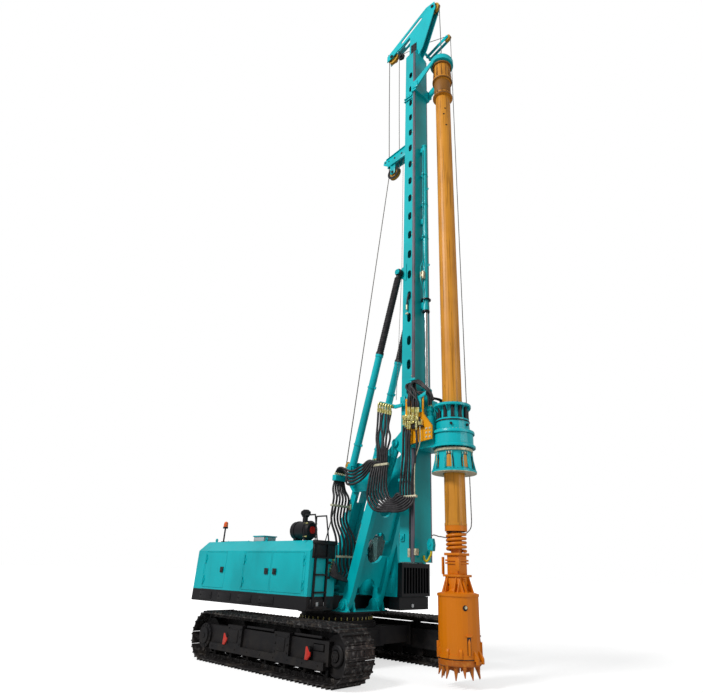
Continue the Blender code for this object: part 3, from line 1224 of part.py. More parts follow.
def build_kelly():
    """The guide, the telescopic bar with its head and damper, the bucket and its gate."""
    rail_out = MAST_HALF_WIDTH + RAIL_WIDTH
    inner = rail_out + RUNNING
    back = MAST_FRONT_X - RAIL_DEPTH - RUNNING
    face = MAST_FRONT_X + RUNNING
    low, high = 15.25, 15.65
    parts = []
    crosshead = box(face, face + 0.07, -inner - 0.04, inner + 0.04, low, high)
    for side in (-1, 1):
        y0, y1 = sorted((side * inner, side * (inner + 0.04)))
        parts.append(box(back - 0.04, face + 0.02, y0, y1, low, high))
        y0, y1 = sorted((side * (MAST_HALF_WIDTH + 0.008), side * (inner + 0.02)))
        parts.append(box(back - 0.04, back, y0, y1, low, high))
        y0, y1 = sorted((side * 0.31, side * 0.35))
        arm = ((face + 0.05, low + 0.05), (face + 0.05, high), (KELLY_X, 16.12), (KELLY_X, 15.98))
        parts.append(plate_y(arm, y0, y1))
    hub = disc_z((KELLY_X, 0), 0.36, KELLY_HEAD_TOP_Z + CLEAR, 16.12, 32)
    bore = disc_z((KELLY_X, 0), 0.151, 0, 20, 32)
    keep(fuse(crosshead, parts + [hub], [bore]), "kelly_guide", "teal_paint", "kelly_guide")

    profile = (
        (KELLY_BORE, KELLY_BOTTOM_Z),
        (KELLY_RADIUS, KELLY_BOTTOM_Z),
        (KELLY_RADIUS, KELLY_HEAD_BOTTOM_Z),
        (0.29, KELLY_HEAD_BOTTOM_Z),
        (0.29, KELLY_HEAD_BOTTOM_Z + 0.05),
        (0.24, KELLY_HEAD_BOTTOM_Z + 0.06),
        (0.24, 15.20),
        (0.30, 15.21),
        (0.30, 15.29),
        (0.25, 15.30),
        (0.25, KELLY_HEAD_TOP_Z),
        (0.15, KELLY_HEAD_TOP_Z),
        (0.15, 16.16),
        (0.10, 16.17),
        (0.05, 16.53),
        (0.03, 16.53),
        (0.03, KELLY_HEAD_TOP_Z - 0.10),
        (KELLY_BORE, KELLY_HEAD_TOP_Z - 0.10),
    )
    keep(lathe(profile, (KELLY_X, 0)), "kelly_bar", "orange_paint", "kelly")

    gap = SEAT
    damper = lathe(
        (
            (0.06, BUCKET_TOP_Z + 0.14 + gap),
            (0.10, BUCKET_TOP_Z + 0.14 + gap),
            (0.10, 1.74),
            (0.28, 1.75),
            (0.28, 1.80),
            (0.14, 1.81),
            (0.14, 2.05),
            (0.20, 2.06),
            (0.20, 2.16),
            (0.16, 2.18),
            (0.20, 2.20),
            (0.20, 2.30),
            (0.16, 2.32),
            (0.20, 2.34),
            (0.20, 2.44),
            (0.214, 2.46),
            (0.214, KELLY_BOTTOM_Z - gap),
            (0.06, KELLY_BOTTOM_Z - gap),
        ),
        (KELLY_X, 0),
    )
    keep(damper, "kelly_foot", "dark_frame", "kelly")

    bucket = lathe(
        (
            (BUCKET_RADIUS - BUCKET_WALL, BUCKET_BOTTOM_Z),
            (BUCKET_RADIUS, BUCKET_BOTTOM_Z),
            (BUCKET_RADIUS, BUCKET_TOP_Z),
            (0.20, BUCKET_TOP_Z + 0.04),
            (0.13, BUCKET_TOP_Z + 0.14),
            (0.04, BUCKET_TOP_Z + 0.14),
            (0.04, BUCKET_TOP_Z - 0.03),
            (BUCKET_RADIUS - BUCKET_WALL, BUCKET_TOP_Z - 0.04),
        ),
        (KELLY_X, 0),
    )
    rim = KELLY_X + BUCKET_RADIUS
    hinge_x = rim + GATE_HINGE_REACH
    ears = []
    for side in (-1, 1):
        y0, y1 = sorted((side * 0.052, side * 0.10))
        outline = [(rim - 0.025, 0.42), (rim - 0.025, 0.60), (hinge_x + 0.025, 0.46), (hinge_x + 0.025, 0.375)]
        outline += [(hinge_x - 0.02, 0.375), (hinge_x - 0.02, 0.42)]
        ears.append(plate_y(outline, y0, y1))
    pin = disc_y((hinge_x, BUCKET_BOTTOM_Z), 0.014, -0.10, 0.10, 16)
    keep(fuse(bucket, ears + [pin]), "bucket", "bucket_paint", "kelly")

    top = BUCKET_BOTTOM_Z - SEAT
    floor = disc_z((KELLY_X, 0), BUCKET_RADIUS + 0.01, GATE_RING_BOTTOM_Z, top, 32)
    teeth = []
    for i in range(TOOTH_COUNT):
        turn = math.tau * (i + 0.5) / TOOTH_COUNT
        spot = Matrix.Translation((KELLY_X, 0, 0)) @ Matrix.Rotation(turn, 4, "Z")
        root = GATE_RING_BOTTOM_Z + 0.02
        tooth = plate_y([(0.24, root), (0.37, root), (0.385, TOOTH_TIP_Z), (0.36, TOOTH_TIP_Z)], -0.03, 0.03)
        tooth.data.transform(spot)
        teeth.append(tooth)
    outline = [(rim - 0.05, top - 0.06), (rim - 0.05, top)]
    outline += [(hinge_x - 0.026, top), (hinge_x - 0.02, top + 0.018)]
    outline += [(hinge_x + 0.02, top + 0.022), (hinge_x + 0.02, top - 0.03)]
    arm = plate_y(outline, -0.05, 0.05)
    bore = bore_y((hinge_x, BUCKET_BOTTOM_Z), 0.014, -1, 1)
    keep(fuse(floor, [arm] + teeth, [bore]), "bucket_gate", "dark_frame", "gate")


def build_hook():
    """The auxiliary hook block, parked on a lug at the mast's foot."""
    face = MAST_FRONT_X + SEAT
    outline = [(face + 0.02, 2.06), (face + 0.02, 2.14), (face + 0.18, 2.42), (face + 0.30, 2.36)]
    block = plate_y(outline + [(face + 0.16, 2.06)], -0.04, 0.04)
    lug = box(face, face + 0.05, -0.05, 0.05, 2.00, 2.16)
    hook = disc_y((face + 0.12, 2.06), 0.09, -0.03, 0.03)
    mouth = disc_y((face + 0.12, 2.06), 0.05, -1, 1)
    keep(fuse(block, [lug, hook], [mouth]), "aux_hook", "lamp_plastic", "mast")


def main():
    """Builds the whole rig."""
    clear_scene()
    add_pivots()
    for side in (-1, 1):
        build_track(side)
        build_track_frame(side)
    build_car_body()
    build_platform()
    build_link_bracket()
    build_hood()
    build_counterweight()
    build_winches()
    build_cab()
    build_guard()
    build_deck_fittings()
    build_boom()
    build_rear_link()
    build_cradle()
    build_cylinders()
    build_mast()
    build_mast_head()
    build_crowd_cylinder()
    build_drive()
    build_kelly()
    build_hook()


main()
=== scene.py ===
"""Dresses the rotary piling rig: paint, glass, ropes, hoses, bolts, track shoes and small fittings.

Metres, +Z up, +X forward, +Y to the machine's left. Each sub-assembly is a class that builds its own pieces.
"""

import json
import logging
import math
from dataclasses import dataclass
from enum import Enum
from typing import Iterable, Sequence

import bmesh
import bpy
from mathutils import Matrix, Vector

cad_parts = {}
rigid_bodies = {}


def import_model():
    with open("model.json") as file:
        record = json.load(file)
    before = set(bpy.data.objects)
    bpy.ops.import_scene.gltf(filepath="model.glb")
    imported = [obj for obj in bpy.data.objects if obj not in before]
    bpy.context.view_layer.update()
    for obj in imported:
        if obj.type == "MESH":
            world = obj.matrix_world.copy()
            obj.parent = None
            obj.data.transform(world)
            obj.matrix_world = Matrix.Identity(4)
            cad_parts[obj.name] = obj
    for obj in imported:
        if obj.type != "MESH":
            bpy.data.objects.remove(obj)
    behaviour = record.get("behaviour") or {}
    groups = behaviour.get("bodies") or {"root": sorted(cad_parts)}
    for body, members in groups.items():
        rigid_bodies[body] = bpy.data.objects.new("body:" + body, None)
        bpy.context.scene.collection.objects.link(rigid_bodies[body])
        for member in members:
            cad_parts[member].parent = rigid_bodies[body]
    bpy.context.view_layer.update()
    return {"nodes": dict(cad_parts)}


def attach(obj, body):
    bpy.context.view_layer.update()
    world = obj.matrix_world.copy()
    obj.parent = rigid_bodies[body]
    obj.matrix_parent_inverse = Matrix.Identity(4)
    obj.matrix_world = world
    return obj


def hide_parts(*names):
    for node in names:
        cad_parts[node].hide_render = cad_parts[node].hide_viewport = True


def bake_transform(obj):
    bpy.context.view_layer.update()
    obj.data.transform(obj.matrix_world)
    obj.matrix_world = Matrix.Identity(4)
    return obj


log = logging.getLogger("rig")

Point = tuple[float, float, float]
Flat = tuple[float, float]
Colour = tuple[float, float, float, float]
Routes = Sequence[Sequence[Point]]
Socket = bpy.types.NodeSocket

IMAGE_WIDTH = 703
IMAGE_HEIGHT = 693
SMOOTH_ANGLE = math.radians(32)
PIPE_SMOOTH_ANGLE = math.radians(60)
WELD = 0.00001
WHITE = "#FFFFFF"

# axes of the machine that several classes share, as x and z, and the kelly's upright axis
KELLY_X = 3.31
TILT_FOOT: Flat = (0.62, 3.93)
TILT_HEAD: Flat = (2.0, 8.8)
TILT_SPREAD = 0.36
GUIDE_PULLEY: Flat = (0.125, 4.1)
MIDDLE_PULLEY: Flat = (1.41, 12.71)
SECOND_PULLEY: Flat = (1.62, 17.8)
REAR_PULLEY: Flat = (1.26, 17.99)
TOP_PULLEY: Flat = (3.08, 19.02)

# spacing of the unions that the hoses start and end on
PORT_PITCH = 0.058
ELBOW_PITCH = 0.078
ELBOW_FALL = 0.026
BAY_PITCH = 0.09


class Axis(Enum):
    """The direction that a prism, ring or bolt points in."""

    X = "x"
    Y = "y"
    Z = "z"


X, Y, Z = Axis

TURNS = {
    X: Matrix(((0, 0, 1, 0), (1, 0, 0, 0), (0, 1, 0, 0), (0, 0, 0, 1))),
    Y: Matrix(((1, 0, 0, 0), (0, 0, -1, 0), (0, 1, 0, 0), (0, 0, 0, 1))),
    Z: Matrix.Identity(4),
}


def srgb(code: str) -> Colour:
    """Turns a hex colour into linear values.

    Args:
        code: Six hex digits, with or without a leading #.

    Returns:
        Red, green, blue and an alpha of 1.
    """
    digits = code.lstrip("#")
    shares = [int(digits[i : i + 2], 16) / 255 for i in (0, 2, 4)]
    linear = [c / 12.92 if c <= 0.04045 else ((c + 0.055) / 1.055) ** 2.4 for c in shares]
    return (linear[0], linear[1], linear[2], 1.0)


class Graph:
    """A node tree that nodes are added to."""

    def __init__(self, tree: bpy.types.NodeTree) -> None:
        """Takes the tree of a material or of the world."""
        self.tree = tree

    def feed(self, entry: Socket, value: object) -> None:
        """Joins an output to an input, or sets the input to a number, a point or a hex colour."""
        if isinstance(value, Socket):
            self.tree.links.new(value, entry)
        else:
            entry.default_value = srgb(value) if isinstance(value, str) else value

    def node(self, kind: str, inputs: dict | None = None, **settings: object) -> bpy.types.Node:
        """Adds a node.

        Args:
            kind: The node's type name after ShaderNode.
            inputs: What goes into its inputs, by name or number, as feed takes it.
            settings: Values of its properties.

        Returns:
            The new node.
        """
        made = self.tree.nodes.new("ShaderNode" + kind)
        for key, value in settings.items():
            setattr(made, key, value)
        for key, value in (inputs or {}).items():
            self.feed(made.inputs[key], value)
        return made

    def math(self, operation: str, *values: Socket | float) -> Socket:
        """The result of a Math node with these values."""
        return self.node("Math", dict(enumerate(values)), operation=operation).outputs[0]

    def ramp(self, source: Socket, low: float, high: float) -> Socket:
        """A share that rises smoothly from 0 to 1 while the source goes from low to high."""
        inputs = {"Value": source, "From Min": low, "From Max": high}
        return self.node("MapRange", inputs, interpolation_type="SMOOTHSTEP").outputs["Result"]


class Paint(Graph):
    """A material's nodes, with its Principled shader and its object coordinates in metres."""

    def __init__(self, material: bpy.types.Material) -> None:
        """Finds the shader and adds the coordinates."""
        material.use_nodes = True
        super().__init__(material.node_tree)
        self.shader = self.tree.nodes["Principled BSDF"]
        self.where = self.node("TexCoord").outputs["Object"]

    def surface(self, values: dict[str, object]) -> None:
        """Feeds the shader's inputs by name."""
        for key, value in values.items():
            self.feed(self.shader.inputs[key], value)

    def along(self, letter: str, source: Socket | None = None) -> Socket:
        """The part of the source, or of the place, along X, Y or Z."""
        return self.node("SeparateXYZ", {0: self.where if source is None else source}).outputs[letter]

    def noise(self, size_mm: float, detail: float, where: Socket | None = None) -> Socket:
        """Noise whose spots are about size_mm across.

        Args:
            size_mm: Spacing of the spots in millimetres.
            detail: Octaves of finer noise.
            where: Other coordinates to read.

        Returns:
            The noise's output.
        """
        place = self.where if where is None else where
        inputs = {"Vector": place, "Scale": 1000.0 / size_mm, "Detail": detail}
        return self.node("TexNoise", inputs).outputs["Fac"]

    def patches(
        self, size_mm: float, detail: float, low: float, high: float, squash: float = 1, lean: float = 0
    ) -> Socket:
        """Patches of noise with soft edges.

        Args:
            size_mm: Spacing of the patches in millimetres.
            detail: Octaves of finer noise.
            low: The noise where they begin.
            high: The noise where they are full.
            squash: Scale of the coordinates along z, so under 1 they become upright streaks.
            lean: How far the streaks lean, in radians.

        Returns:
            Their share, from 0 to 1.
        """
        where = None
        if squash != 1:
            inputs = {"Vector": self.where, "Scale": (1.0, 1.0, squash), "Rotation": (0.0, lean, 0.0)}
            where = self.node("Mapping", inputs).outputs[0]
        return self.ramp(self.noise(size_mm, detail, where), low, high)

    def bands(self, scale: float, direction: str) -> Socket:
        """Even bands across the object."""
        inputs = {"Vector": self.where, "Scale": scale}
        return self.node("TexWave", inputs, wave_type="BANDS", bands_direction=direction).outputs["Fac"]

    def tint(self, share: Socket, first: Socket | str, second: Socket | str, most: float = 1) -> Socket:
        """Mixes two colours by a share.

        Args:
            share: 0 for the first colour and 1 for the second.
            first: A hex colour or an output.
            second: A hex colour or an output.
            most: What the share is multiplied by.

        Returns:
            The mixed colour.
        """
        weight = share if most == 1 else self.math("MULTIPLY", share, most)
        return self.node("Mix", {0: weight, 6: first, 7: second}, data_type="RGBA").outputs[2]

    def bump(self, height: Socket, depth_mm: float) -> None:
        """Raises the surface by a pattern from 0 to 1, whose highest points stand out by a depth."""
        made = self.node("Bump", {"Height": height, "Strength": 0.6, "Distance": depth_mm / 1000})
        self.surface({"Normal": made.outputs["Normal"]})


@dataclass(frozen=True)
class Finish:
    """A surface finish that a material is made from once.

    Attributes:
        name: The material's name.
        slot: The record's material slot that it stands for, which is not used.
        colour: Its sRGB hex colour.
        roughness: Its plain roughness.
    """

    name: str
    slot: str
    colour: str
    roughness: float

    def material(self) -> bpy.types.Material:
        """Returns the finish's material, made on its first use."""
        found = bpy.data.materials.get(self.name)
        if found:
            return found
        made = bpy.data.materials.new(self.name)
        made.diffuse_color = srgb(self.colour)
        paint = Paint(made)
        paint.surface({"Base Color": self.colour, "Roughness": self.roughness})
        self.dress(paint)
        return made

    def dress(self, paint: Paint) -> None:
        """Adds the finish's patterns to the shader."""


@dataclass(frozen=True)
class Enamel(Finish):
    """Two-part enamel sprayed on steel plate.

    It has a slight orange peel, a deeper tone where the film is thick, dust that settles low down and
    on level faces, and fine upright run marks below seams.

    Attributes:
        shade: Colour of the film where it lies thick.
        dust: Colour of the dust.
        dust_top: Height under which dust gathers, in metres.
        dust_share: How much the dust hides at most.
        coat: Weight of the clear top coat.
        streaks: How much rust runs and scrapes along its length hide at most.
    """

    shade: str = "#007A80"
    dust: str = "#8E8672"
    dust_top: float = 1.2
    dust_share: float = 0.35
    coat: float = 0.06
    streaks: float = 0.0

    def dress(self, paint: Paint) -> None:
        """Mottles, dusts and orange-peels the film."""
        colour = paint.tint(paint.patches(900, 4, 0.35, 0.75), self.colour, self.shade, 0.35)
        colour = paint.tint(paint.patches(60, 5, 0.52, 0.8, 0.08), colour, self.shade, 0.16)
        low = paint.ramp(paint.along("Z"), self.dust_top, 0.0)
        level = paint.ramp(paint.along("Z", paint.node("NewGeometry").outputs["Normal"]), 0.6, 1.0)
        settled = paint.math("MAXIMUM", low, paint.math("MULTIPLY", level, 0.3))
        dusty = paint.math("MULTIPLY", settled, paint.patches(220, 6, 0.35, 0.7))
        dusty = paint.math("MULTIPLY", dusty, self.dust_share)
        if self.streaks:
            colour = paint.tint(paint.patches(42, 6, 0.5, 0.68, 0.035), colour, "#8E5A14", self.streaks)
            colour = paint.tint(paint.patches(26, 2, 0.72, 0.78, 0.12, 0.5), colour, "#4A2C10", self.streaks)
        paint.surface({
            "Base Color": paint.tint(dusty, colour, self.dust),
            "Roughness": paint.math("MULTIPLY_ADD", dusty, 0.5, self.roughness),
            "Coat Weight": self.coat,
            "Coat Roughness": 0.12,
            "Specular IOR Level": 0.3,
        })
        # orange peel is about 3 mm across, drawn at 9 mm so that it shows
        paint.bump(paint.noise(9, 2), 0.25)


@dataclass(frozen=True)
class RailedEnamel(Enamel):
    """Enamel on the mast, with its two guide rails left as ground steel that the carriages polish.

    Attributes:
        rail_x: How far forward the steel begins.
        rail_y: Distance from the middle plane past which the steel is bare.
        rail_colour: The steel's colour.
        brushed_colour: Its colour in the brush marks.
    """

    rail_x: float = 2.396
    rail_y: float = 0.272
    rail_colour: str = "#8A8490"
    brushed_colour: str = "#5F5A63"

    def dress(self, paint: Paint) -> None:
        """Paints the box and leaves the rails bare."""
        super().dress(paint)
        painted = paint.shader.inputs["Base Color"].links[0].from_socket
        beyond = paint.math("GREATER_THAN", paint.math("ABSOLUTE", paint.along("Y")), self.rail_y)
        ahead = paint.math("GREATER_THAN", paint.along("X"), self.rail_x)
        bare = paint.math("MULTIPLY", beyond, ahead)
        brushed = paint.tint(paint.patches(14, 4, 0.3, 0.7, 0.02), self.rail_colour, self.brushed_colour)
        metal = paint.math("MULTIPLY", bare, 0.85)
        paint.surface({"Base Color": paint.tint(bare, painted, brushed), "Metallic": metal})


@dataclass(frozen=True)
class CastSteel(Finish):
    """Cast or rolled steel left bare, darkened by use, with paler rubbed spots and some soil.

    Attributes:
        rubbed: Colour where it is worn bright.
        soil: Colour of the dried soil.
        soil_share: How much the soil hides at most.
        metallic: Its metallic value.
        grain_mm: Size of the casting's grain.
    """

    rubbed: str = "#7D7A78"
    soil: str = "#6E6255"
    soil_share: float = 0.35
    metallic: float = 0.55
    grain_mm: float = 12

    def dress(self, paint: Paint) -> None:
        """Rubs, soils and grains the steel."""
        rubs = paint.patches(70, 6, 0.48, 0.72)
        colour = paint.tint(rubs, self.colour, self.rubbed, 0.55)
        paint.surface({
            "Base Color": paint.tint(paint.patches(260, 7, 0.5, 0.72), colour, self.soil, self.soil_share),
            "Roughness": paint.math("MULTIPLY_ADD", rubs, -0.22, self.roughness),
            "Metallic": self.metallic,
        })
        paint.bump(paint.noise(self.grain_mm, 4), 0.8)


@dataclass(frozen=True)
class BrightRod(Finish):
    """Hard chrome with faint oily bands."""

    def dress(self, paint: Paint) -> None:
        """Makes it a mirror with the bands."""
        oily = paint.patches(160, 3, 0.4, 0.7)
        paint.surface({
            "Metallic": 1.0,
            "Roughness": paint.math("MULTIPLY_ADD", oily, 0.12, self.roughness),
            "Base Color": paint.tint(oily, self.colour, "#8F8A80", 0.3),
        })


@dataclass(frozen=True)
class Rubber(Finish):
    """Black rubber hose or seal: dull, a little grey with dust, with a wrapped cloth mark on its skin.

    Attributes:
        wrap_mm: Spacing of the wrapping marks.
    """

    wrap_mm: float = 7

    def dress(self, paint: Paint) -> None:
        """Dusts the rubber and marks its wrapping."""
        grey = paint.patches(90, 5, 0.42, 0.75)
        paint.surface({
            "Base Color": paint.tint(grey, self.colour, "#4B484A", 0.5), "Specular IOR Level": 0.4
        })
        paint.bump(paint.noise(self.wrap_mm, 1), 0.5)


@dataclass(frozen=True)
class PlatedSteel(Finish):
    """Zinc-plated steel with a yellow passivation that shifts in tone from piece to piece.

    Attributes:
        second: The tone it shifts to.
        metallic: Its metallic value.
    """

    second: str = "#9C8F4A"
    metallic: float = 0.75

    def dress(self, paint: Paint) -> None:
        """Varies the passivation."""
        colour = paint.tint(paint.patches(45, 2, 0.35, 0.65), self.colour, self.second)
        paint.surface({"Base Color": colour, "Metallic": self.metallic})


@dataclass(frozen=True)
class WireRope(Finish):
    """Greased steel wire rope, whose strands are drawn 40 mm apart, twice the real spacing, to show."""

    def dress(self, paint: Paint) -> None:
        """Lays the strands."""
        strands = paint.bands(8.0, "DIAGONAL")
        paint.surface({"Base Color": paint.tint(strands, "#2B2827", self.colour), "Metallic": 0.6})
        paint.bump(strands, 3.0)


@dataclass(frozen=True)
class Glazing(Finish):
    """Tinted toughened glass, with a smear of dust."""

    def dress(self, paint: Paint) -> None:
        """Makes it clear and smears it."""
        smear = paint.patches(300, 5, 0.45, 0.8)
        rough = paint.math("MULTIPLY_ADD", smear, 0.15, self.roughness)
        paint.surface({"Transmission Weight": 0.85, "IOR": 1.5, "Roughness": rough})


@dataclass(frozen=True)
class LampLens(Finish):
    """Moulded coloured lens, ribbed inside, so its colour deepens in bands."""

    def dress(self, paint: Paint) -> None:
        """Ribs the lens."""
        colour = paint.tint(paint.bands(12.0, "Z"), self.colour, "#C23A08", 0.5)
        paint.surface({"Base Color": colour, "Subsurface Weight": 0.2, "Coat Weight": 0.6})


@dataclass(frozen=True)
class WovenCloth(Finish):
    """Coarse woven seat cloth, with threads about 2 mm apart drawn at 8 mm so that they show."""

    def dress(self, paint: Paint) -> None:
        """Weaves the cloth."""
        weave = paint.noise(8, 1)
        paint.surface({"Base Color": paint.tint(weave, self.colour, "#3A3A3E", 0.6), "Sheen Weight": 0.3})
        paint.bump(weave, 1.0)


TEAL = Enamel("teal_enamel", "teal_paint", "#00B3BB", 0.3, dust_top=0.9, dust_share=0.16)
MAST_TEAL = RailedEnamel("mast_enamel", "teal_paint", "#0AB0B6", 0.32)
BLACK = Enamel(
    "black_enamel", "dark_frame", "#121115", 0.45, shade="#08080A", dust="#4E473F", dust_share=0.5, coat=0.1
)
FRAME_BLACK = Enamel(
    "frame_enamel",
    "dark_frame",
    "#121013",
    0.55,
    shade="#08080A",
    dust="#3A342E",
    dust_top=1.0,
    dust_share=0.45,
    coat=0.0,
)
SHOE_STEEL = CastSteel("shoe_steel", "track_steel", "#242122", 0.58)
ORANGE = Enamel(
    "kelly_enamel", "orange_paint", "#D18D2A", 0.38, shade="#A2620E", dust="#8C6E45", dust_share=0.3,
    streaks=0.75,
)
RUSTED = Enamel(
    "rusted_enamel", "orange_paint", "#8A5A1E", 0.55, shade="#4A2C10", dust="#3A2410", dust_share=0.2,
    coat=0.0,
)
YELLOW = Enamel("plate_enamel", "orange_paint", "#E59A06", 0.34, shade="#C07A00")
BUCKET = Enamel(
    "bucket_enamel", "bucket_paint", "#D67700", 0.42, shade="#B86000", dust="#8A5A22", dust_top=0.9,
    dust_share=0.3,
)
TEETH = CastSteel(
    "tooth_steel", "bucket_paint", "#B9620C", 0.5, rubbed="#DA9338", soil="#6A4524", metallic=0.15
)
CHROME = BrightRod("chrome_rod", "chrome", "#C9CDD2", 0.14)
OCHRE = Enamel("sheave_enamel", "sheave_paint", "#B98A2C", 0.45, shade="#80601F")
RUBBER = Rubber("hose_rubber", "dark_frame", "#1E1C1F", 0.52)
ZINC = PlatedSteel("zinc_yellow", "sheave_paint", "#E2DCA4", 0.3, second="#B5A94E", metallic=0.6)
CLAMP = PlatedSteel("clamp_steel", "chrome", "#D9D3B4", 0.42, second="#B4AE93", metallic=0.35)
ROPE = WireRope("wire_rope", "track_steel", "#8B8680", 0.45)
GLASS = Glazing("cab_glass", "dark_frame", "#8FA9A8", 0.04)
LENS = LampLens("amber_lens", "lamp_plastic", "#F0640A", 0.2)
HOOK_RED = Enamel("hook_red", "lamp_plastic", "#C81E14", 0.4, shade="#8E120C")
SILVER = Enamel("roof_silver", "chrome", "#B9BCBE", 0.35, shade="#8D9092", dust_share=0.2)
CLOTH = WovenCloth("seat_cloth", "seat_fabric", "#1A1A1D", 0.85)
HOOK_YELLOW = Enamel("hook_yellow", "sheave_paint", "#D9C21E", 0.36, shade="#A8930E")


def linked(name: str, mesh: bpy.types.Mesh, coat: Finish) -> bpy.types.Object:
    """Links a mesh to the scene as an object in its finish, which rides on nothing yet."""
    mesh.materials.append(coat.material())
    made = bpy.data.objects.new(name, mesh)
    bpy.context.scene.collection.objects.link(made)
    return made


class Shape:
    """Closed solids gathered in one mesh, in the frame's metres."""

    def __init__(self) -> None:
        """Starts with nothing."""
        self.mesh = bmesh.new()

    def block(self, low: Point, high: Point, edge: float = 0.0, turn: Matrix | None = None) -> None:
        """Adds a box.

        Args:
            low: Its lowest corner.
            high: Its highest corner.
            edge: How far its edges are rounded off.
            turn: A turn about the box's middle.
        """
        size = Vector(high) - Vector(low)
        middle = (Vector(high) + Vector(low)) / 2
        made = bmesh.ops.create_cube(self.mesh, size=1.0)["verts"]
        place = Matrix.Translation(middle) @ (turn or Matrix.Identity(4)) @ Matrix.Diagonal((*size, 1.0))
        bmesh.ops.transform(self.mesh, matrix=place, verts=made)
        if edge:
            self.round_off(made, edge)

    def round_off(self, verts: Iterable[bmesh.types.BMVert], edge: float) -> None:
        """Rounds off every edge between these vertices.

        Args:
            verts: The vertices of one solid.
            edge: Width of the rounding.
        """
        edges = {e for v in verts for e in v.link_edges}
        bmesh.ops.bevel(
            self.mesh,
            geom=list(edges),
            offset=edge,
            offset_type="OFFSET",
            segments=2,
            profile=0.5,
            affect="EDGES",
            clamp_overlap=True,
            material=-1,
        )

    def bar(
        self, start: Point, end: Point, radius: float, sides: int = 16, end_radius: float | None = None
    ) -> None:
        """Adds a round bar or a cone.

        Args:
            start: The middle of its first end.
            end: The middle of its other end.
            radius: Radius at the first end.
            sides: How many sides it has.
            end_radius: Radius at the other end, if it differs.
        """
        axis = Vector(end) - Vector(start)
        made = bmesh.ops.create_cone(
            self.mesh,
            cap_ends=True,
            segments=sides,
            radius1=radius,
            radius2=radius if end_radius is None else end_radius,
            depth=axis.length,
        )["verts"]
        turn = axis.to_track_quat("Z", "Y").to_matrix().to_4x4()
        bmesh.ops.transform(
            self.mesh, matrix=Matrix.Translation((Vector(start) + Vector(end)) / 2) @ turn, verts=made
        )

    def ball(self, centre: Point, radius: float, squeeze: Point = (1, 1, 1)) -> None:
        """Adds a ball, which may be squeezed along the axes.

        Args:
            centre: Its middle.
            radius: Its radius.
            squeeze: Scale along x, y and z.
        """
        made = bmesh.ops.create_uvsphere(self.mesh, u_segments=20, v_segments=12, radius=radius)["verts"]
        place = Matrix.Translation(centre) @ Matrix.Diagonal((*squeeze, 1.0))
        bmesh.ops.transform(self.mesh, matrix=place, verts=made)

    def prism(self, axis: Axis, outline: Sequence[Flat], low: float, high: float, edge: float = 0.0) -> None:
        """Adds a plate with an outline across an axis.

        Args:
            axis: The axis through the plate: Y takes (x, z) points, X takes (y, z) and Z takes (x, y).
            outline: Its corners in order.
            low: Where it starts on the axis.
            high: Where it ends on the axis.
            edge: How far its edges are rounded off.
        """
        corners = {
            Y: [(a, low, b) for a, b in outline],
            X: [(low, a, b) for a, b in outline],
            Z: [(a, b, low) for a, b in outline],
        }[axis]
        push = {X: (high - low, 0, 0), Y: (0, high - low, 0), Z: (0, 0, high - low)}[axis]
        first = [self.mesh.verts.new(c) for c in corners]
        face = self.mesh.faces.new(first)
        pushed = bmesh.ops.extrude_face_region(self.mesh, geom=[face])["geom"]
        moved = [g for g in pushed if isinstance(g, bmesh.types.BMVert)]
        bmesh.ops.translate(self.mesh, verts=moved, vec=push)
        if edge:
            self.round_off(first + moved, edge)

    def turned(self, axis: Axis, profile: Sequence[Flat], centre: Point, steps: int = 32) -> None:
        """Adds a ring turned from a closed section that stays off its axis.

        Args:
            axis: The axis it is turned about.
            profile: Its section as (radius, height) points.
            centre: A point on the axis, at height 0.
            steps: How many steps make a full turn.
        """
        ring = [self.mesh.verts.new((r, 0, h)) for r, h in profile]
        edges = [self.mesh.edges.new((ring[i - 1], ring[i])) for i in range(len(ring))]
        known = set(self.mesh.verts) - set(ring)
        bmesh.ops.spin(
            self.mesh,
            geom=ring + edges,
            cent=(0, 0, 0),
            axis=(0, 0, 1),
            angle=math.tau,
            steps=steps,
            use_merge=True,
        )
        made = [v for v in self.mesh.verts if v not in known]
        bmesh.ops.transform(self.mesh, matrix=Matrix.Translation(centre) @ TURNS[axis], verts=made)

    def hoop(self, axis: Axis, centre: Point, radii: Flat, ends: Flat, steps: int) -> None:
        """Adds a ring of rectangular section.

        Args:
            axis: The axis it lies about.
            centre: A point on the axis, at height 0.
            radii: Its inner and outer radius.
            ends: Where it starts and ends along the axis.
            steps: How many steps make a full turn.
        """
        (inner, outer), (low, high) = radii, ends
        self.turned(axis, ((inner, low), (outer, low), (outer, high), (inner, high)), centre, steps)

    def bolt(self, spot: Point, axis: Axis, out: float, radius: float = 0.02) -> None:
        """Adds a hexagon bolt head on a washer.

        Args:
            spot: Where its washer meets the face.
            axis: The axis it stands along.
            out: 1 or -1, the way it stands.
            radius: Half the width across its corners.
        """
        way = {X: Vector((1, 0, 0)), Y: Vector((0, 1, 0)), Z: Vector((0, 0, 1))}[axis] * out
        root = Vector(spot)
        self.bar(root - way * 0.004, root + way * radius * 0.25, radius * 1.35, 12)
        self.bar(root + way * radius * 0.25, root + way * radius * 0.95, radius, 6)

    def stamp(self, pattern: "Shape", places: Sequence[Matrix]) -> None:
        """Adds copies of another shape, which is used up.

        Args:
            pattern: The shape to copy.
            places: The matrix of each copy.
        """
        mesh = bpy.data.meshes.new("pattern")
        pattern.mesh.to_mesh(mesh)
        pattern.mesh.free()
        for place in places:
            known = set(self.mesh.verts)
            self.mesh.from_mesh(mesh)
            bmesh.ops.transform(self.mesh, matrix=place, verts=[v for v in self.mesh.verts if v not in known])
        bpy.data.meshes.remove(mesh)

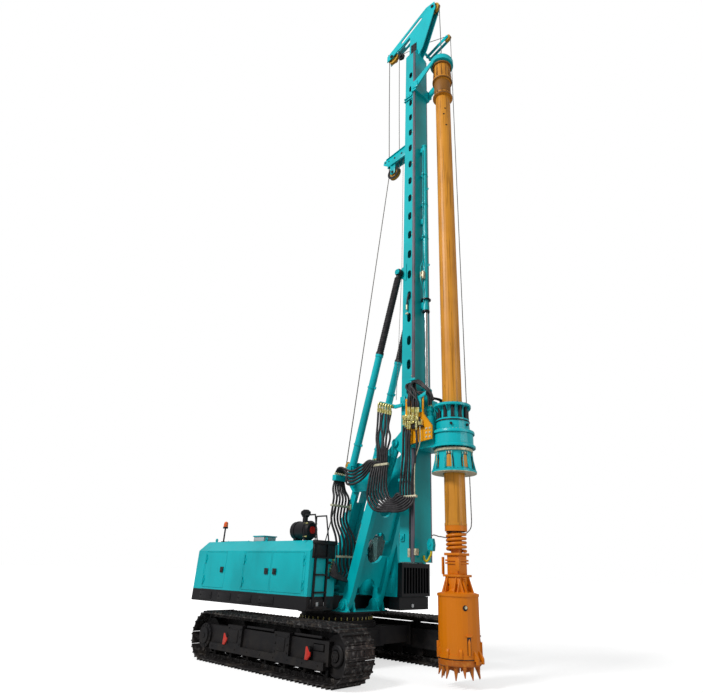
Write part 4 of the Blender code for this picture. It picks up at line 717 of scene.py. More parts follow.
    def arch(self, wall: tuple[Flat, Flat], middle: float, half: float, heights: Flat, out: float) -> None:
        """Adds an arched patch that hugs a slightly conical wall about the kelly's axis.

        Args:
            wall: The wall's radius and height at its foot and at its top.
            middle: The angle of the patch's middle.
            half: Half the angle that it spans.
            heights: Its lowest and highest points.
            out: How far it stands out of the wall.
        """
        steps, sunk = 10, 0.004
        (foot, foot_z), (head, head_z) = wall
        low, high = heights
        rows = []
        for i in range(steps + 1):
            share = 2 * i / steps - 1
            top = high - (high - low) * 0.45 * (1 - math.sqrt(max(0.0, 1 - share * share)))
            column = []
            for z in (low, top):
                for shift in (-sunk, out):
                    r = foot + (head - foot) * (z - foot_z) / (head_z - foot_z) + shift
                    a = middle + half * share
                    column.append(self.mesh.verts.new((KELLY_X + r * math.cos(a), r * math.sin(a), z)))
            rows.append(column)
        for p, q in zip(rows, rows[1:]):
            for c, d in ((0, 1), (1, 3), (3, 2), (2, 0)):
                self.mesh.faces.new((p[c], p[d], q[d], q[c]))
        for end in (rows[0], rows[-1]):
            self.mesh.faces.new((end[0], end[1], end[3], end[2]))

    def finish(self, name: str, coat: Finish, body: str, replaces: Sequence[str] = ()) -> bpy.types.Object:
        """Makes the mesh an object that rides on a body.

        Args:
            name: The piece's name.
            coat: Its finish.
            body: The body that it moves with.
            replaces: The solids that it stands for.

        Returns:
            The finished object.
        """
        made = self.mesh_object(name, coat)
        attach(made, body)
        if replaces:
            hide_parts(*replaces)
        log.info("%s: %d faces on %s", name, len(made.data.polygons), body)
        return made

    def mesh_object(self, name: str, coat: Finish) -> bpy.types.Object:
        """Makes the mesh a finished object that rides on nothing yet."""
        bmesh.ops.recalc_face_normals(self.mesh, faces=self.mesh.faces)
        mesh = bpy.data.meshes.new(name)
        self.mesh.to_mesh(mesh)
        self.mesh.free()
        mesh.shade_smooth()
        mesh.set_sharp_from_angle(angle=SMOOTH_ANGLE)
        return linked(name, mesh, coat)

    def span(
        self, name: str, coat: Finish, bodies: tuple[str, str], start: Point, end: Point
    ) -> bpy.types.Object:
        """Makes the mesh an object that lies across a joint between two bodies, fixed in place and riding on
        neither.

        Args:
            name: The piece's name.
            coat: Its finish.
            bodies: The two bodies.
            start: Not used.
            end: Not used.

        Returns:
            The finished object.
        """
        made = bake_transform(self.mesh_object(name, coat))
        log.info("%s: %d faces from %s to %s", name, len(made.data.polygons), *bodies)
        return made


@dataclass
class Line:
    """A bundle of hoses, ropes or pipes that run along smooth curves.

    Attributes:
        name: The piece's name.
        coat: Its finish.
        radius: Radius of each run.
        sides: Extra steps of roundness in each quarter.
    """

    name: str
    coat: Finish
    radius: float
    sides: int = 2

    def lay(self, routes: Routes, smooth: bool = True) -> bpy.types.Object:
        """Lays the runs and makes them one mesh at the origin.

        Args:
            routes: The points that each run passes through.
            smooth: Whether the runs curve between their points.

        Returns:
            The mesh object, which rides on nothing yet.
        """
        curve = bpy.data.curves.new(self.name, "CURVE")
        curve.dimensions = "3D"
        curve.bevel_depth = self.radius
        curve.bevel_resolution = self.sides
        curve.resolution_u = 8
        curve.use_fill_caps = True
        for route in routes:
            spline = curve.splines.new("BEZIER" if smooth else "POLY")
            if smooth:
                spline.bezier_points.add(len(route) - 1)
                for knot, spot in zip(spline.bezier_points, route):
                    knot.co = spot
                    knot.handle_left_type = "AUTO"
                    knot.handle_right_type = "AUTO"
            else:
                spline.points.add(len(route) - 1)
                for knot, spot in zip(spline.points, route):
                    knot.co = (*spot, 1.0)
        guide = bpy.data.objects.new(self.name + "_guide", curve)
        bpy.context.scene.collection.objects.link(guide)
        bpy.context.view_layer.update()
        mesh = bpy.data.meshes.new_from_object(guide.evaluated_get(bpy.context.evaluated_depsgraph_get()))
        bpy.data.objects.remove(guide)
        welded = bmesh.new()
        welded.from_mesh(mesh)
        bmesh.ops.remove_doubles(welded, verts=welded.verts, dist=WELD)
        bmesh.ops.recalc_face_normals(welded, faces=welded.faces)
        welded.to_mesh(mesh)
        welded.free()
        mesh.materials.clear()
        mesh.shade_smooth()
        mesh.set_sharp_from_angle(angle=PIPE_SMOOTH_ANGLE)
        return linked(self.name, mesh, self.coat)

    def ride(self, routes: Routes, body: str, smooth: bool = True) -> bpy.types.Object:
        """Lays the runs on one body and returns the piece."""
        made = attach(self.lay(routes, smooth), body)
        log.info("%s: %d runs on %s", self.name, len(routes), body)
        return made

    def span(self, routes: Routes, bodies: tuple[str, str], start: Point, end: Point) -> bpy.types.Object:
        """Lays the runs across a joint.

        Args:
            routes: The points that each run passes through.
            bodies: The two bodies that the runs join.
            start: Not used.
            end: Not used.

        Returns:
            The piece.
        """
        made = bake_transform(self.lay(routes))
        log.info("%s: %d runs from %s to %s", self.name, len(routes), *bodies)
        return made


def arc(centre: Flat, radius: float, start: float, end: float, steps: int) -> list[Flat]:
    """Points of an arc, with its ends.

    Args:
        centre: Its middle.
        radius: Its radius.
        start: First angle in degrees.
        end: Last angle in degrees.
        steps: How many steps it has.

    Returns:
        The points in order.
    """
    angles = [math.radians(start + (end - start) * i / steps) for i in range(steps + 1)]
    return [(centre[0] + radius * math.cos(a), centre[1] + radius * math.sin(a)) for a in angles]


def along(first: Flat, second: Flat, share: float) -> Flat:
    """The point at a share of the way from the first to the second."""
    return (first[0] + (second[0] - first[0]) * share, first[1] + (second[1] - first[1]) * share)


def circle(radius: float, count: int, first: float = 0.0) -> list[Flat]:
    """Points evenly round the origin, the first of them a share of a step along."""
    angles = [math.tau * (i + first) / count for i in range(count)]
    return [(radius * math.cos(a), radius * math.sin(a)) for a in angles]


def about_kelly(degrees: float) -> Matrix:
    """The matrix that moves a piece from the origin to the kelly's axis and turns it there."""
    return Matrix.Translation((KELLY_X, 0, 0)) @ Matrix.Rotation(math.radians(degrees), 4, "Z")


# every solid that isn't named here is teal
SOLID_FINISHES: tuple[tuple[Finish, tuple[str, ...]], ...] = (
    (BLACK, ("platform", "cab_guard", "ladder", "tilt_rod_left", "tilt_rod_right")),
    (FRAME_BLACK, ("car_body", "slew_ring", "track_frame_left", "track_frame_right", "engine_block")),
    (ORANGE, ("kelly_bar",)),
    (YELLOW, ("drive_plate_left", "drive_plate_right")),
    (BUCKET, ("bucket",)),
    (MAST_TEAL, ("mast_main", "mast_foot")),
    (CHROME, ("luff_rod", "crowd_rod")),
    (OCHRE, ("top_sheave", "rear_sheave", "aux_sheave", "mid_sheave", "main_drum", "aux_drum")),
    (CLOTH, ("cab_seat",)),
)


def finish_solids(nodes: dict[str, bpy.types.Object]) -> None:
    """Gives each solid of the frame its finish.

    Args:
        nodes: The frame's solids by name.
    """
    coats = {name: coat for coat, names in SOLID_FINISHES for name in names}
    for name, solid in nodes.items():
        solid.data.materials.clear()
        solid.data.materials.append(coats.get(name, TEAL).material())
        solid.data.shade_smooth()
        solid.data.set_sharp_from_angle(angle=SMOOTH_ANGLE)
    log.info("finished %d solids", len(nodes))


@dataclass
class Studio:
    """The floor, the lights and the camera.

    Attributes:
        eye: Where the camera stands.
        heading: Its azimuth in degrees.
        pitch: How far it looks up, in radians.
        roll: How far it leans, in radians.
        focal_px: Its focal length in pixels of the picture.
        middle: The pixel that it looks straight through.
        sensor_mm: Width of its sensor.
        far: How far it sees, in metres.
        floor_size: Length of the floor's sides.
        floor_colour: The floor's colour.
        floor_glow: How bright the floor looks where no light falls on it.
        fade: Where this rises to white, in metres from the middle.
        sky_strength: How strongly the sky lights the machine.
        aim: What the lamps point at.
    """

    eye: Point = (10.0483, -9.573, 1.8098)
    heading: float = 132.638
    pitch: float = 0.4755
    roll: float = 0.0294
    focal_px: float = 532.945
    middle: Flat = (386.485, 295.953)
    sensor_mm: float = 36.0
    far: float = 500.0
    floor_size: float = 400.0
    floor_colour: str = "#B4B4B4"
    floor_glow: float = 0.66
    fade: Flat = (7.0, 16.0)
    sky_strength: float = 0.42
    aim: Point = (0.5, 0.0, 5.0)

    LAMPS = (
        ("key_light", (-1.0, -26.0, 24.0), 8000.0, 7.0),
        ("fill_light", (24.0, 4.0, 10.0), 1300.0, 12.0),
    )

    def build(self) -> None:
        """Sets the stage."""
        self.place_camera()
        self.lay_floor()
        self.hang_lights()

    def place_camera(self) -> None:
        """Places the camera with the picture's framing."""
        heading = math.radians(self.heading)
        forward = Vector((
            math.cos(heading) * math.cos(self.pitch),
            math.sin(heading) * math.cos(self.pitch),
            math.sin(self.pitch),
        ))
        level = Vector((math.sin(heading), -math.cos(heading), 0))
        upright = level.cross(forward)
        right = math.cos(self.roll) * level + math.sin(self.roll) * upright
        up = -math.sin(self.roll) * level + math.cos(self.roll) * upright
        data = bpy.data.cameras.new("picture_camera")
        data.sensor_fit = "HORIZONTAL"
        data.sensor_width = self.sensor_mm
        data.lens = self.focal_px * self.sensor_mm / IMAGE_WIDTH
        data.shift_x = (IMAGE_WIDTH / 2 - self.middle[0]) / IMAGE_WIDTH
        data.shift_y = (self.middle[1] - IMAGE_HEIGHT / 2) / IMAGE_WIDTH
        data.clip_end = self.far
        camera = bpy.data.objects.new("picture_camera", data)
        turn = Matrix((right, up, -forward)).transposed().to_4x4()
        camera.matrix_world = Matrix.Translation(self.eye) @ turn
        bpy.context.scene.collection.objects.link(camera)
        bpy.context.scene.camera = camera

    def lay_floor(self) -> None:
        """Lays the pale floor."""
        grid = bmesh.new()
        bmesh.ops.create_grid(grid, x_segments=1, y_segments=1, size=self.floor_size / 2)
        mesh = bpy.data.meshes.new("floor")
        grid.to_mesh(mesh)
        grid.free()
        floor = bpy.data.objects.new("floor", mesh)
        bpy.context.scene.collection.objects.link(floor)
        coat = bpy.data.materials.new("floor_paper")
        paint = Paint(coat)
        away = paint.node("VectorMath", {0: paint.where}, operation="LENGTH").outputs["Value"]
        glow = paint.math("MULTIPLY_ADD", paint.ramp(away, *self.fade), 1 - self.floor_glow, self.floor_glow)
        seen = paint.node("LightPath").outputs["Is Camera Ray"]
        paint.surface({
            "Base Color": self.floor_colour,
            "Roughness": 0.9,
            "Emission Color": WHITE,
            "Emission Strength": paint.math("MULTIPLY", glow, seen),
        })
        mesh.materials.append(coat)

    def hang_lights(self) -> None:
        """Hangs a soft sky and two broad lamps."""
        world = bpy.data.worlds.new("soft_sky")
        bpy.context.scene.world = world
        world.use_nodes = True
        graph = Graph(world.node_tree)
        sky = graph.tree.nodes["Background"]
        graph.feed(sky.inputs["Color"], WHITE)
        graph.feed(sky.inputs["Strength"], self.sky_strength)
        seen = graph.node("Background", {"Color": WHITE, "Strength": 1.0})
        path = graph.node("LightPath").outputs
        shown = graph.math("MAXIMUM", path["Is Camera Ray"], path["Is Transmission Ray"])
        mix = graph.node("MixShader", {0: shown, 1: sky.outputs[0], 2: seen.outputs[0]})
        graph.feed(graph.tree.nodes["World Output"].inputs["Surface"], mix.outputs[0])
        for name, spot, power, width in self.LAMPS:
            data = bpy.data.lights.new(name, "AREA")
            data.energy = power
            data.size = width
            lamp = bpy.data.objects.new(name, data)
            aim = Vector(self.aim) - Vector(spot)
            lamp.matrix_world = Matrix.Translation(spot) @ aim.to_track_quat("-Z", "Y").to_matrix().to_4x4()
            bpy.context.scene.collection.objects.link(lamp)


@dataclass
class TrackChain:
    """Both belts of double-bar shoes on their links, in place of the plain belts.

    Attributes:
        half_length: Half of a belt's length.
        outer_y: The belts' outer faces.
        shoe_width: Width of a shoe.
        height: Height of a belt.
        bar_height: How far a bar stands out of its shoe.
        plate: Thickness of a shoe.
        count: Shoes in a belt.
        wheel_share: Where the first shoe lies, as a share of the pitch.
    """

    half_length: float = 2.47
    outer_y: float = 2.04
    shoe_width: float = 0.7
    height: float = 0.92
    bar_height: float = 0.03
    plate: float = 0.022
    count: int = 46
    wheel_share: float = 0.44

    def __post_init__(self) -> None:
        """Works out the loop that the shoes run on."""
        self.radius = self.height / 2 - self.bar_height
        self.straight = 2 * (self.half_length - self.height / 2)
        self.lap = 2 * (self.straight + math.pi * self.radius)
        self.pitch = self.lap / self.count

    def place(self, distance: float, y: float) -> Matrix:
        """Where a shoe lies at a distance along the loop.

        Args:
            distance: How far along the loop its middle is.
            y: The middle of the belt.

        Returns:
            The matrix that carries a shoe there.
        """
        half = self.straight / 2
        bend = math.pi * self.radius
        level = self.height / 2
        d = distance % self.lap
        if d < self.straight:
            spot, turn = (half - d, level + self.radius), math.pi
        elif d < self.straight + bend:
            turn = math.pi + (d - self.straight) / self.radius
            lean = turn - math.pi / 2
            spot = (-half + self.radius * math.cos(lean), level + self.radius * math.sin(lean))
        elif d < 2 * self.straight + bend:
            spot, turn = (-half + d - self.straight - bend, level - self.radius), math.tau
        else:
            turn = math.tau + (d - 2 * self.straight - bend) / self.radius
            lean = turn - math.pi / 2
            spot = (half + self.radius * math.cos(lean), level + self.radius * math.sin(lean))
        return Matrix.Translation((spot[0], y, spot[1])) @ Matrix.Rotation(-turn, 4, "Y")

    def shoe(self) -> Shape:
        """One shoe with its bars, bolts and links, its outside towards -z."""
        made = Shape()
        half, wide = self.pitch / 2, self.shoe_width / 2
        made.block((-half * 0.95, -wide, 0), (half * 0.95, wide, self.plate), 0.003)
        for share in (-0.62, 0.46):
            x = share * half
            outline = [
                (x - 0.018, 0.002), (x - 0.008, -self.bar_height), (x + 0.01, -self.bar_height),
                (x + 0.02, 0.002),
            ]
            made.prism(Y, outline, -wide, wide)
        for x in (-0.026, 0.026):
            for y in (-0.105, 0.105):
                made.bolt((x - 0.01, y, 0.001), Z, -1, 0.013)
        for y in (-0.1, 0.1):
            made.block((-half * 0.97, y - 0.024, self.plate - 0.002), (half * 0.97, y + 0.024, 0.096), 0.004)
            made.bar((half * 0.55, y - 0.032, 0.06), (half * 0.55, y + 0.032, 0.06), 0.024, 12)
        return made

    def build(self) -> None:
        """Lays both belts."""
        for side, word in ((-1, "right"), (1, "left")):
            y = side * (self.outer_y - self.shoe_width / 2)
            belt = Shape()
            belt.stamp(
                self.shoe(), [self.place((i + self.wheel_share) * self.pitch, y) for i in range(self.count)]
            )
            belt.finish("belt_" + word, SHOE_STEEL, "undercarriage", ["track_" + word])
        walls = Shape()
        for side in (-1, 1):
            y0, y1 = sorted((side * 1.615, side * 1.635))
            walls.block((-1.9, y0, 0.15), (1.9, y1, 0.775), 0.004)
        walls.finish("track_walls", FRAME_BLACK, "undercarriage")


@dataclass
class Undercarriage:
    """Sprockets, idlers, rollers' caps and tow hooks of the track frames, and the slewing ring's bolts.

    Attributes:
        axle_x: Distance of the wheels' axles from the middle.
        axle_z: Their height.
        box_face_y: Outer face of the boxes on the frame.
        ring_radius: Radius of the ring of bolts.
        ring_top: The face that they stand on.
        rollers: Rollers under each frame.
    """

    axle_x: float = 2.01
    axle_z: float = 0.46
    box_face_y: float = 2.01
    ring_radius: float = 0.8
    ring_top: float = 0.85
    rollers: int = 7

    def build(self) -> None:
        """Builds the pieces of both sides and the ring."""
        for side, word in ((-1, "right"), (1, "left")):
            self.sprocket(side, word)
            self.side_fittings(side, word)
            self.tow_hooks(side, word)
        self.carrier_plates()
        self.ring_bolts()

    def sprocket(self, side: int, word: str) -> None:
        """Builds the driving wheel's teeth, drum and cover, and the idler's boss."""
        wheel = Shape()
        rear = (-self.axle_x, side * 1.69, self.axle_z)
        teeth = 20
        outline: list[Flat] = []
        for i in range(teeth):
            turn = 360 * i / teeth
            step = 360 / teeth
            for share, radius in ((-0.28, 0.285), (-0.14, 0.312), (0.14, 0.312), (0.28, 0.285)):
                angle = math.radians(turn + share * step)
                outline.append((rear[0] + radius * math.cos(angle), rear[2] + radius * math.sin(angle)))
        wheel.prism(Y, outline, side * 1.69 - 0.03, side * 1.69 + 0.03, 0.003)
        wheel.finish("sprocket_" + word, SHOE_STEEL, "undercarriage")
        cover = Shape()
        hub = (-self.axle_x, 0, self.axle_z)
        cover.bar((hub[0], side * 1.84, hub[2]), (hub[0], side * 1.995, hub[2]), 0.225, 32)
        cover.bar((hub[0], side * 1.99, hub[2]), (hub[0], side * 2.025, hub[2]), 0.15, 32)
        cover.bar((hub[0], side * 2.02, hub[2]), (hub[0], side * 2.036, hub[2]), 0.045, 20)
        for dx, dz in circle(0.195, 14):
            cover.bolt((hub[0] + dx, side * 1.995, hub[2] + dz), Y, side, 0.013)
        front = (self.axle_x, 0, self.axle_z)
        cover.turned(
            Y, (
                (0.1, -0.05), (0.17, -0.05), (0.17, 0.03), (0.15, 0.05), (0.1, 0.05)
            ), (front[0], side * 1.83, front[2]), 32
        )
        cover.bar((front[0], side * 1.7, front[2]), (front[0], side * 1.9, front[2]), 0.085, 24)
        for dx, dz in circle(0.055, 6):
            cover.bolt((front[0] + dx, side * 1.9, front[2] + dz), Y, side, 0.011)
        cover.finish("wheel_covers_" + word, FRAME_BLACK, "undercarriage")

    def side_fittings(self, side: int, word: str) -> None:
        """Builds roller caps, bolt rows, ribs and the belt tensioner's cover."""
        made = Shape()
        spacing = (2 * self.axle_x - 0.5) / (self.rollers - 1)
        for i in range(self.rollers):
            x = -self.axle_x + 0.25 + i * spacing
            made.bar((x, side * 1.85, 0.216), (x, side * 1.9, 0.216), 0.055, 16)
            made.block((x - 0.1, side * 1.88 - 0.02, 0.17), (x + 0.1, side * 1.88 + 0.02, 0.25), 0.006)
            for dx in (-0.07, 0.07):
                made.bolt((x + dx, side * 1.9, 0.21), Y, side, 0.012)
        for x0, x1 in ((-1.15, -0.64), (0.42, 0.88)):
            for x in (x0 + 0.05, x1 - 0.05):
                for z in (0.4, 0.53, 0.66):
                    made.bolt((x, side * self.box_face_y, z), Y, side, 0.014)
            low = (x0 + 0.12, min(side * 2.006, side * 2.022), 0.42)
            high = (x1 - 0.12, max(side * 2.006, side * 2.022), 0.64)
            made.block(low, high, 0.006)
        for i in range(9):
            x = -1.66 + i * 0.42
            made.bolt((x, side * self.box_face_y, 0.3), Y, side, 0.011)
        y0, y1 = sorted((side * 1.9, side * 1.965))
        made.block((1.52, y0, 0.515), (1.78, y1 - 0.03 if side > 0 else y1, 0.605), 0.004)
        made.block((-0.55, y0, 0.7), (0.34, y1, 0.735), 0.006)
        made.block((0.96, y0, 0.7), (1.72, y1, 0.735), 0.006)
        made.finish("frame_fittings_" + word, FRAME_BLACK, "undercarriage")

    def tow_hooks(self, side: int, word: str) -> None:
        """Builds the two red tow eyes of one side."""
        made = Shape()
        for x in (-1.22, 1.4):
            outline = [(x - 0.03, 0.36), (x + 0.05, 0.36)] + arc((x + 0.055, 0.45), 0.055, -70, 70, 6)
            outline += [(x + 0.03, 0.56), (x - 0.015, 0.56)]
            made.prism(Y, outline, *sorted((side * 2.0, side * 2.034)), 0.006)
        made.finish("tow_eyes_" + word, HOOK_RED, "undercarriage")

    def carrier_plates(self) -> None:
        """Builds the bolted joint plates where the carrier meets the track frames."""
        made = Shape()
        for side in (-1, 1):
            for x in (-0.67, 0.67):
                y0, y1 = sorted((side * 1.32, side * 1.365))
                made.block((x - 0.36, y0, 0.36), (x + 0.36, y1, 0.76), 0.008)
                for dx in (-0.3, -0.1, 0.1, 0.3):
                    made.bolt((x + dx, y0 if side > 0 else y1, 0.735), Y, -side, 0.014)
        for x in (-1.0, 1.0):
            way = math.copysign(1, x)
            x0, x1 = sorted((x - way * 0.06, x - way * 0.03))
            made.block((x0, -0.42, 0.42), (x1, 0.42, 0.68), 0.01)
            for y in (-0.36, 0.36):
                made.bolt((x1 if way > 0 else x0, y, 0.62), X, int(way), 0.016)
        made.finish("carrier_plates", FRAME_BLACK, "undercarriage")

    def ring_bolts(self) -> None:
        """Builds the bolts round the slewing ring."""
        made = Shape()
        for x, y in circle(self.ring_radius, 40):
            made.bar((x, y, self.ring_top + 0.001), (x, y, self.ring_top + 0.001 + 0.055), 0.013, 6)
        made.finish("ring_bolts", ZINC, "undercarriage")


@dataclass
class Deck:
    """The bolted hatches and the lamps on the base band.

    Attributes:
        side_y: The band's outer face.
    """

    side_y: float = 1.5

    def build(self) -> None:
        """Builds the band's trim and lamps."""
        trim = Shape()
        for side in (-1, 1):
            for x in (-3.3, -2.5, -1.7, -0.9):
                y0, y1 = sorted((side * (self.side_y - 0.004), side * (self.side_y + 0.01)))
                trim.block((x, y0, 1.1), (x + 0.52, y1, 1.25), 0.004)
                for dx in (0.04, 0.48):
                    trim.bolt((x + dx, side * (self.side_y + 0.01), 1.175), Y, side, 0.01)
        trim.block((0.675, -1.42, 1.09), (0.695, -0.86, 1.25), 0.006)
        trim.finish("band_hatches", BLACK, "upper")
        lamps = Shape()
        lamps.bar((1.379, 0.98, 1.13), (1.4, 0.98, 1.13), 0.036, 20)
        lamps.block((0.69, -1.26, 1.13), (0.705, -1.2, 1.2), 0.004)
        lamps.block((0.69, -1.06, 1.13), (0.705, -1.0, 1.2), 0.004)
        lamps.finish("front_lamps", SILVER, "upper")


@dataclass
class HoodDress:
    """Latches, louvres, roof hatches, exhaust, filter, beacon and the dark bay at the hood's front.

    Attributes:
        side_y: The hood's right side.
        roof_z: Its roof.
        front_x: Its front end over the ladder.
    """

    side_y: float = -1.5
    roof_z: float = 2.347
    front_x: float = 0.68

    def build(self) -> None:
        """Builds every piece of the hood."""
        self.latches()
        self.seams()
        self.roof_pieces()
        self.louvres()
        self.front_bay()
        self.filter()
        self.beacon()

    def latches(self) -> None:
        """Builds the recessed paddle latch of each door."""
        for body, x in (("rear_door", -2.48), ("middle_door", -0.73), ("front_door", -0.44)):
            made = Shape()
            y = self.side_y - 0.0203
            made.block((x - 0.062, y - 0.006, 1.672), (x + 0.062, y + 0.006, 1.788), 0.004)
            made.block((x - 0.042, y - 0.02, 1.69), (x + 0.042, y - 0.002, 1.745), 0.005)
            made.bar((x, y - 0.014, 1.765), (x, y + 0.002, 1.765), 0.01, 12)
            made.finish("latch_" + body, RUBBER, body)

    def seams(self) -> None:
        """Builds the raised folds between the fixed panels."""
        made = Shape()
        y = self.side_y
        for x in (-3.295, -1.645, 0.56):
            made.block((x - 0.008, y - 0.006, 1.335), (x + 0.008, y + 0.004, 2.115), 0.002)
        for side in (-1, 1):
            y0, y1 = sorted((side * 1.496, side * 1.507))
            made.block((-3.31, y0, 1.305), (-1.0, y1, 1.325), 0.003)
        made.finish("panel_folds", TEAL, "upper")

    def roof_pieces(self) -> None:
        """Builds the silver box, the roof hatches, the exhaust and the lifting eyes."""
        silver = Shape()
        silver.block((-1.76, -1.22, self.roof_z + 0.001), (-1.36, -0.86, self.roof_z + 0.105), 0.012)
        silver.finish("roof_box", SILVER, "upper")
        teal = Shape()
        teal.block((-1.78, -1.24, self.roof_z + 0.1), (-1.34, -0.84, self.roof_z + 0.125), 0.008)
        for x0, x1, y0, y1 in ((-3.15, -2.15, -1.1, 1.1), (-2.05, -1.35, -0.7, 1.1)):
            teal.block((x0, y0, self.roof_z - 0.004), (x1, y1, self.roof_z + 0.022), 0.008)
            for x in (x0 + 0.06, x1 - 0.06):
                for y in (y0 + 0.06, y1 - 0.06):
                    teal.bolt((x, y, self.roof_z + 0.022), Z, 1, 0.012)
        for x in (-3.45, -1.32):
            for y in (-1.16, 1.16):
                teal.hoop(Y, (x, y, self.roof_z + 0.04), (0.022, 0.045), (-0.012, 0.012), 16)
        teal.finish("roof_hatches", TEAL, "upper")
        pipe = Shape()
        pipe.bar((-2.35, 0.62, self.roof_z + 0.02), (-2.35, 0.62, self.roof_z + 0.16), 0.115, 28)
        pipe.bar((-2.35, 0.62, self.roof_z + 0.15), (-2.35, 0.62, self.roof_z + 0.42), 0.065, 24)
        pipe.bar((-2.35, 0.62, self.roof_z + 0.4), (-2.47, 0.62, self.roof_z + 0.52), 0.064, 24, 0.072)
        pipe.finish("exhaust", SHOE_STEEL, "upper")

    def louvres(self) -> None:
        """Builds the radiator's louvres on the left side and the rear grille."""
        made = Shape()
        y = -self.side_y
        for x0, x1 in ((-3.05, -2.15), (-1.95, -1.05)):
            made.block((x0 - 0.03, y - 0.004, 1.42), (x1 + 0.03, y + 0.008, 2.06), 0.003)
            for i in range(11):
                z = 1.46 + i * 0.052
                outline = [
                    (y + 0.004, z), (y + 0.03, z + 0.006), (y + 0.03, z + 0.012), (y + 0.004, z + 0.04)
                ]
                made.prism(X, outline, x0, x1)
        made.finish("louvres", BLACK, "upper")

    def front_bay(self) -> None:
        """Builds the dark bay over the ladder with its valve bank, and the bay's inner walls."""
        dark = Shape()
        x = self.front_x
        dark.block((x - 0.004, -1.44, 2.0), (x + 0.012, -0.8, 2.325), 0.004)
        dark.block((x + 0.004, -1.46, 2.27), (x + 0.05, -0.78, 2.345), 0.008)
        for z in (1.62, 1.9):
            dark.block((x + 0.001, -1.0, z), (x + 0.035, -0.93, z + 0.05), 0.006)
        dark.block((-1.252, -0.74, 1.34), (-1.235, 0.48, 2.28), 0.004)
        dark.finish("bay_panels", BLACK, "upper")
        bank = Shape()
        bank.block((-0.2, -0.7, 1.31), (0.34, -0.44, 1.5), 0.01)
        for i in range(6):
            xx = -0.16 + i * BAY_PITCH
            bank.bar((xx, -0.57, 1.49), (xx, -0.57, 1.6), 0.024, 6)
            bank.bar((xx, -0.65, 1.49), (xx, -0.65, 1.56), 0.02, 12)
        for i in range(5):
            z = 1.98 - i * 0.055
            bank.bar((x + 0.004, -0.86 - i * 0.02, z), (x + 0.05, -0.86 - i * 0.02, z), 0.02, 6)
        bank.finish("valve_bank", ZINC, "upper")

    def filter(self) -> None:
        """Builds the air filter with its bands, end cap and pre-cleaner bowl."""
        made = Shape()
        y, z = -1.04, self.roof_z + 0.2203
        made.bar((-0.41, y, z), (0.1, y, z), 0.185, 40)
        made.bar((0.09, y, z), (0.155, y, z), 0.197, 40, 0.15)
        for x in (-0.3, 0.02):
            made.hoop(X, (x, y, z), (0.18, 0.196), (-0.02, 0.02), 40)
            made.block((x - 0.03, y - 0.1, self.roof_z + 0.0005), (x + 0.03, y + 0.1, z - 0.1), 0.006)
        made.bar((-0.12, y, z + 0.15), (-0.12, y, z + 0.3), 0.06, 24)
        made.bar((-0.12, y, z + 0.28), (-0.12, y, z + 0.335), 0.075, 28, 0.106)
        made.bar((-0.12, y, z + 0.33), (-0.12, y, z + 0.4), 0.106, 28)
        made.bar((-0.12, y, z + 0.395), (-0.12, y, z + 0.435), 0.106, 28, 0.06)
        for dx, dy in circle(0.107, 12):
            made.bar((-0.12 + dx, y + dy, z + 0.335), (-0.12 + dx, y + dy, z + 0.395), 0.008, 8)
        made.finish("filter_body", BLACK, "upper", ["air_filter"])
        cap = Shape()
        cap.bar((0.15, y, z), (0.164, y, z), 0.075, 24)
        cap.finish("filter_seal", HOOK_RED, "upper")
        grips = Shape()
        for dy, dz in circle(0.192, 4, 0.5):
            grips.block((0.02, y + dy - 0.012, z + dz - 0.012), (0.14, y + dy + 0.012, z + dz + 0.012), 0.004)
        grips.finish("filter_clips", ZINC, "upper")

    def beacon(self) -> None:
        """Builds the beacon's foot, pole and lens."""
        x, y, z = -3.2, -1.12, self.roof_z + 0.0005
        pole = Shape()
        pole.bar((x, y, z), (x, y, z + 0.02), 0.06, 20)
        pole.bar((x, y, z + 0.015), (x, y, z + 0.34), 0.02, 16)
        pole.bar((x, y, z + 0.325), (x, y, z + 0.365), 0.064, 24)
        pole.finish("beacon_pole", BLACK, "upper")
        lens = Shape()
        lens.bar((x, y, z + 0.36), (x, y, z + 0.445), 0.058, 28, 0.052)
        lens.ball((x, y, z + 0.444), 0.052, (1, 1, 0.95))
        lens.finish("beacon_lens", LENS, "upper", ["beacon"])


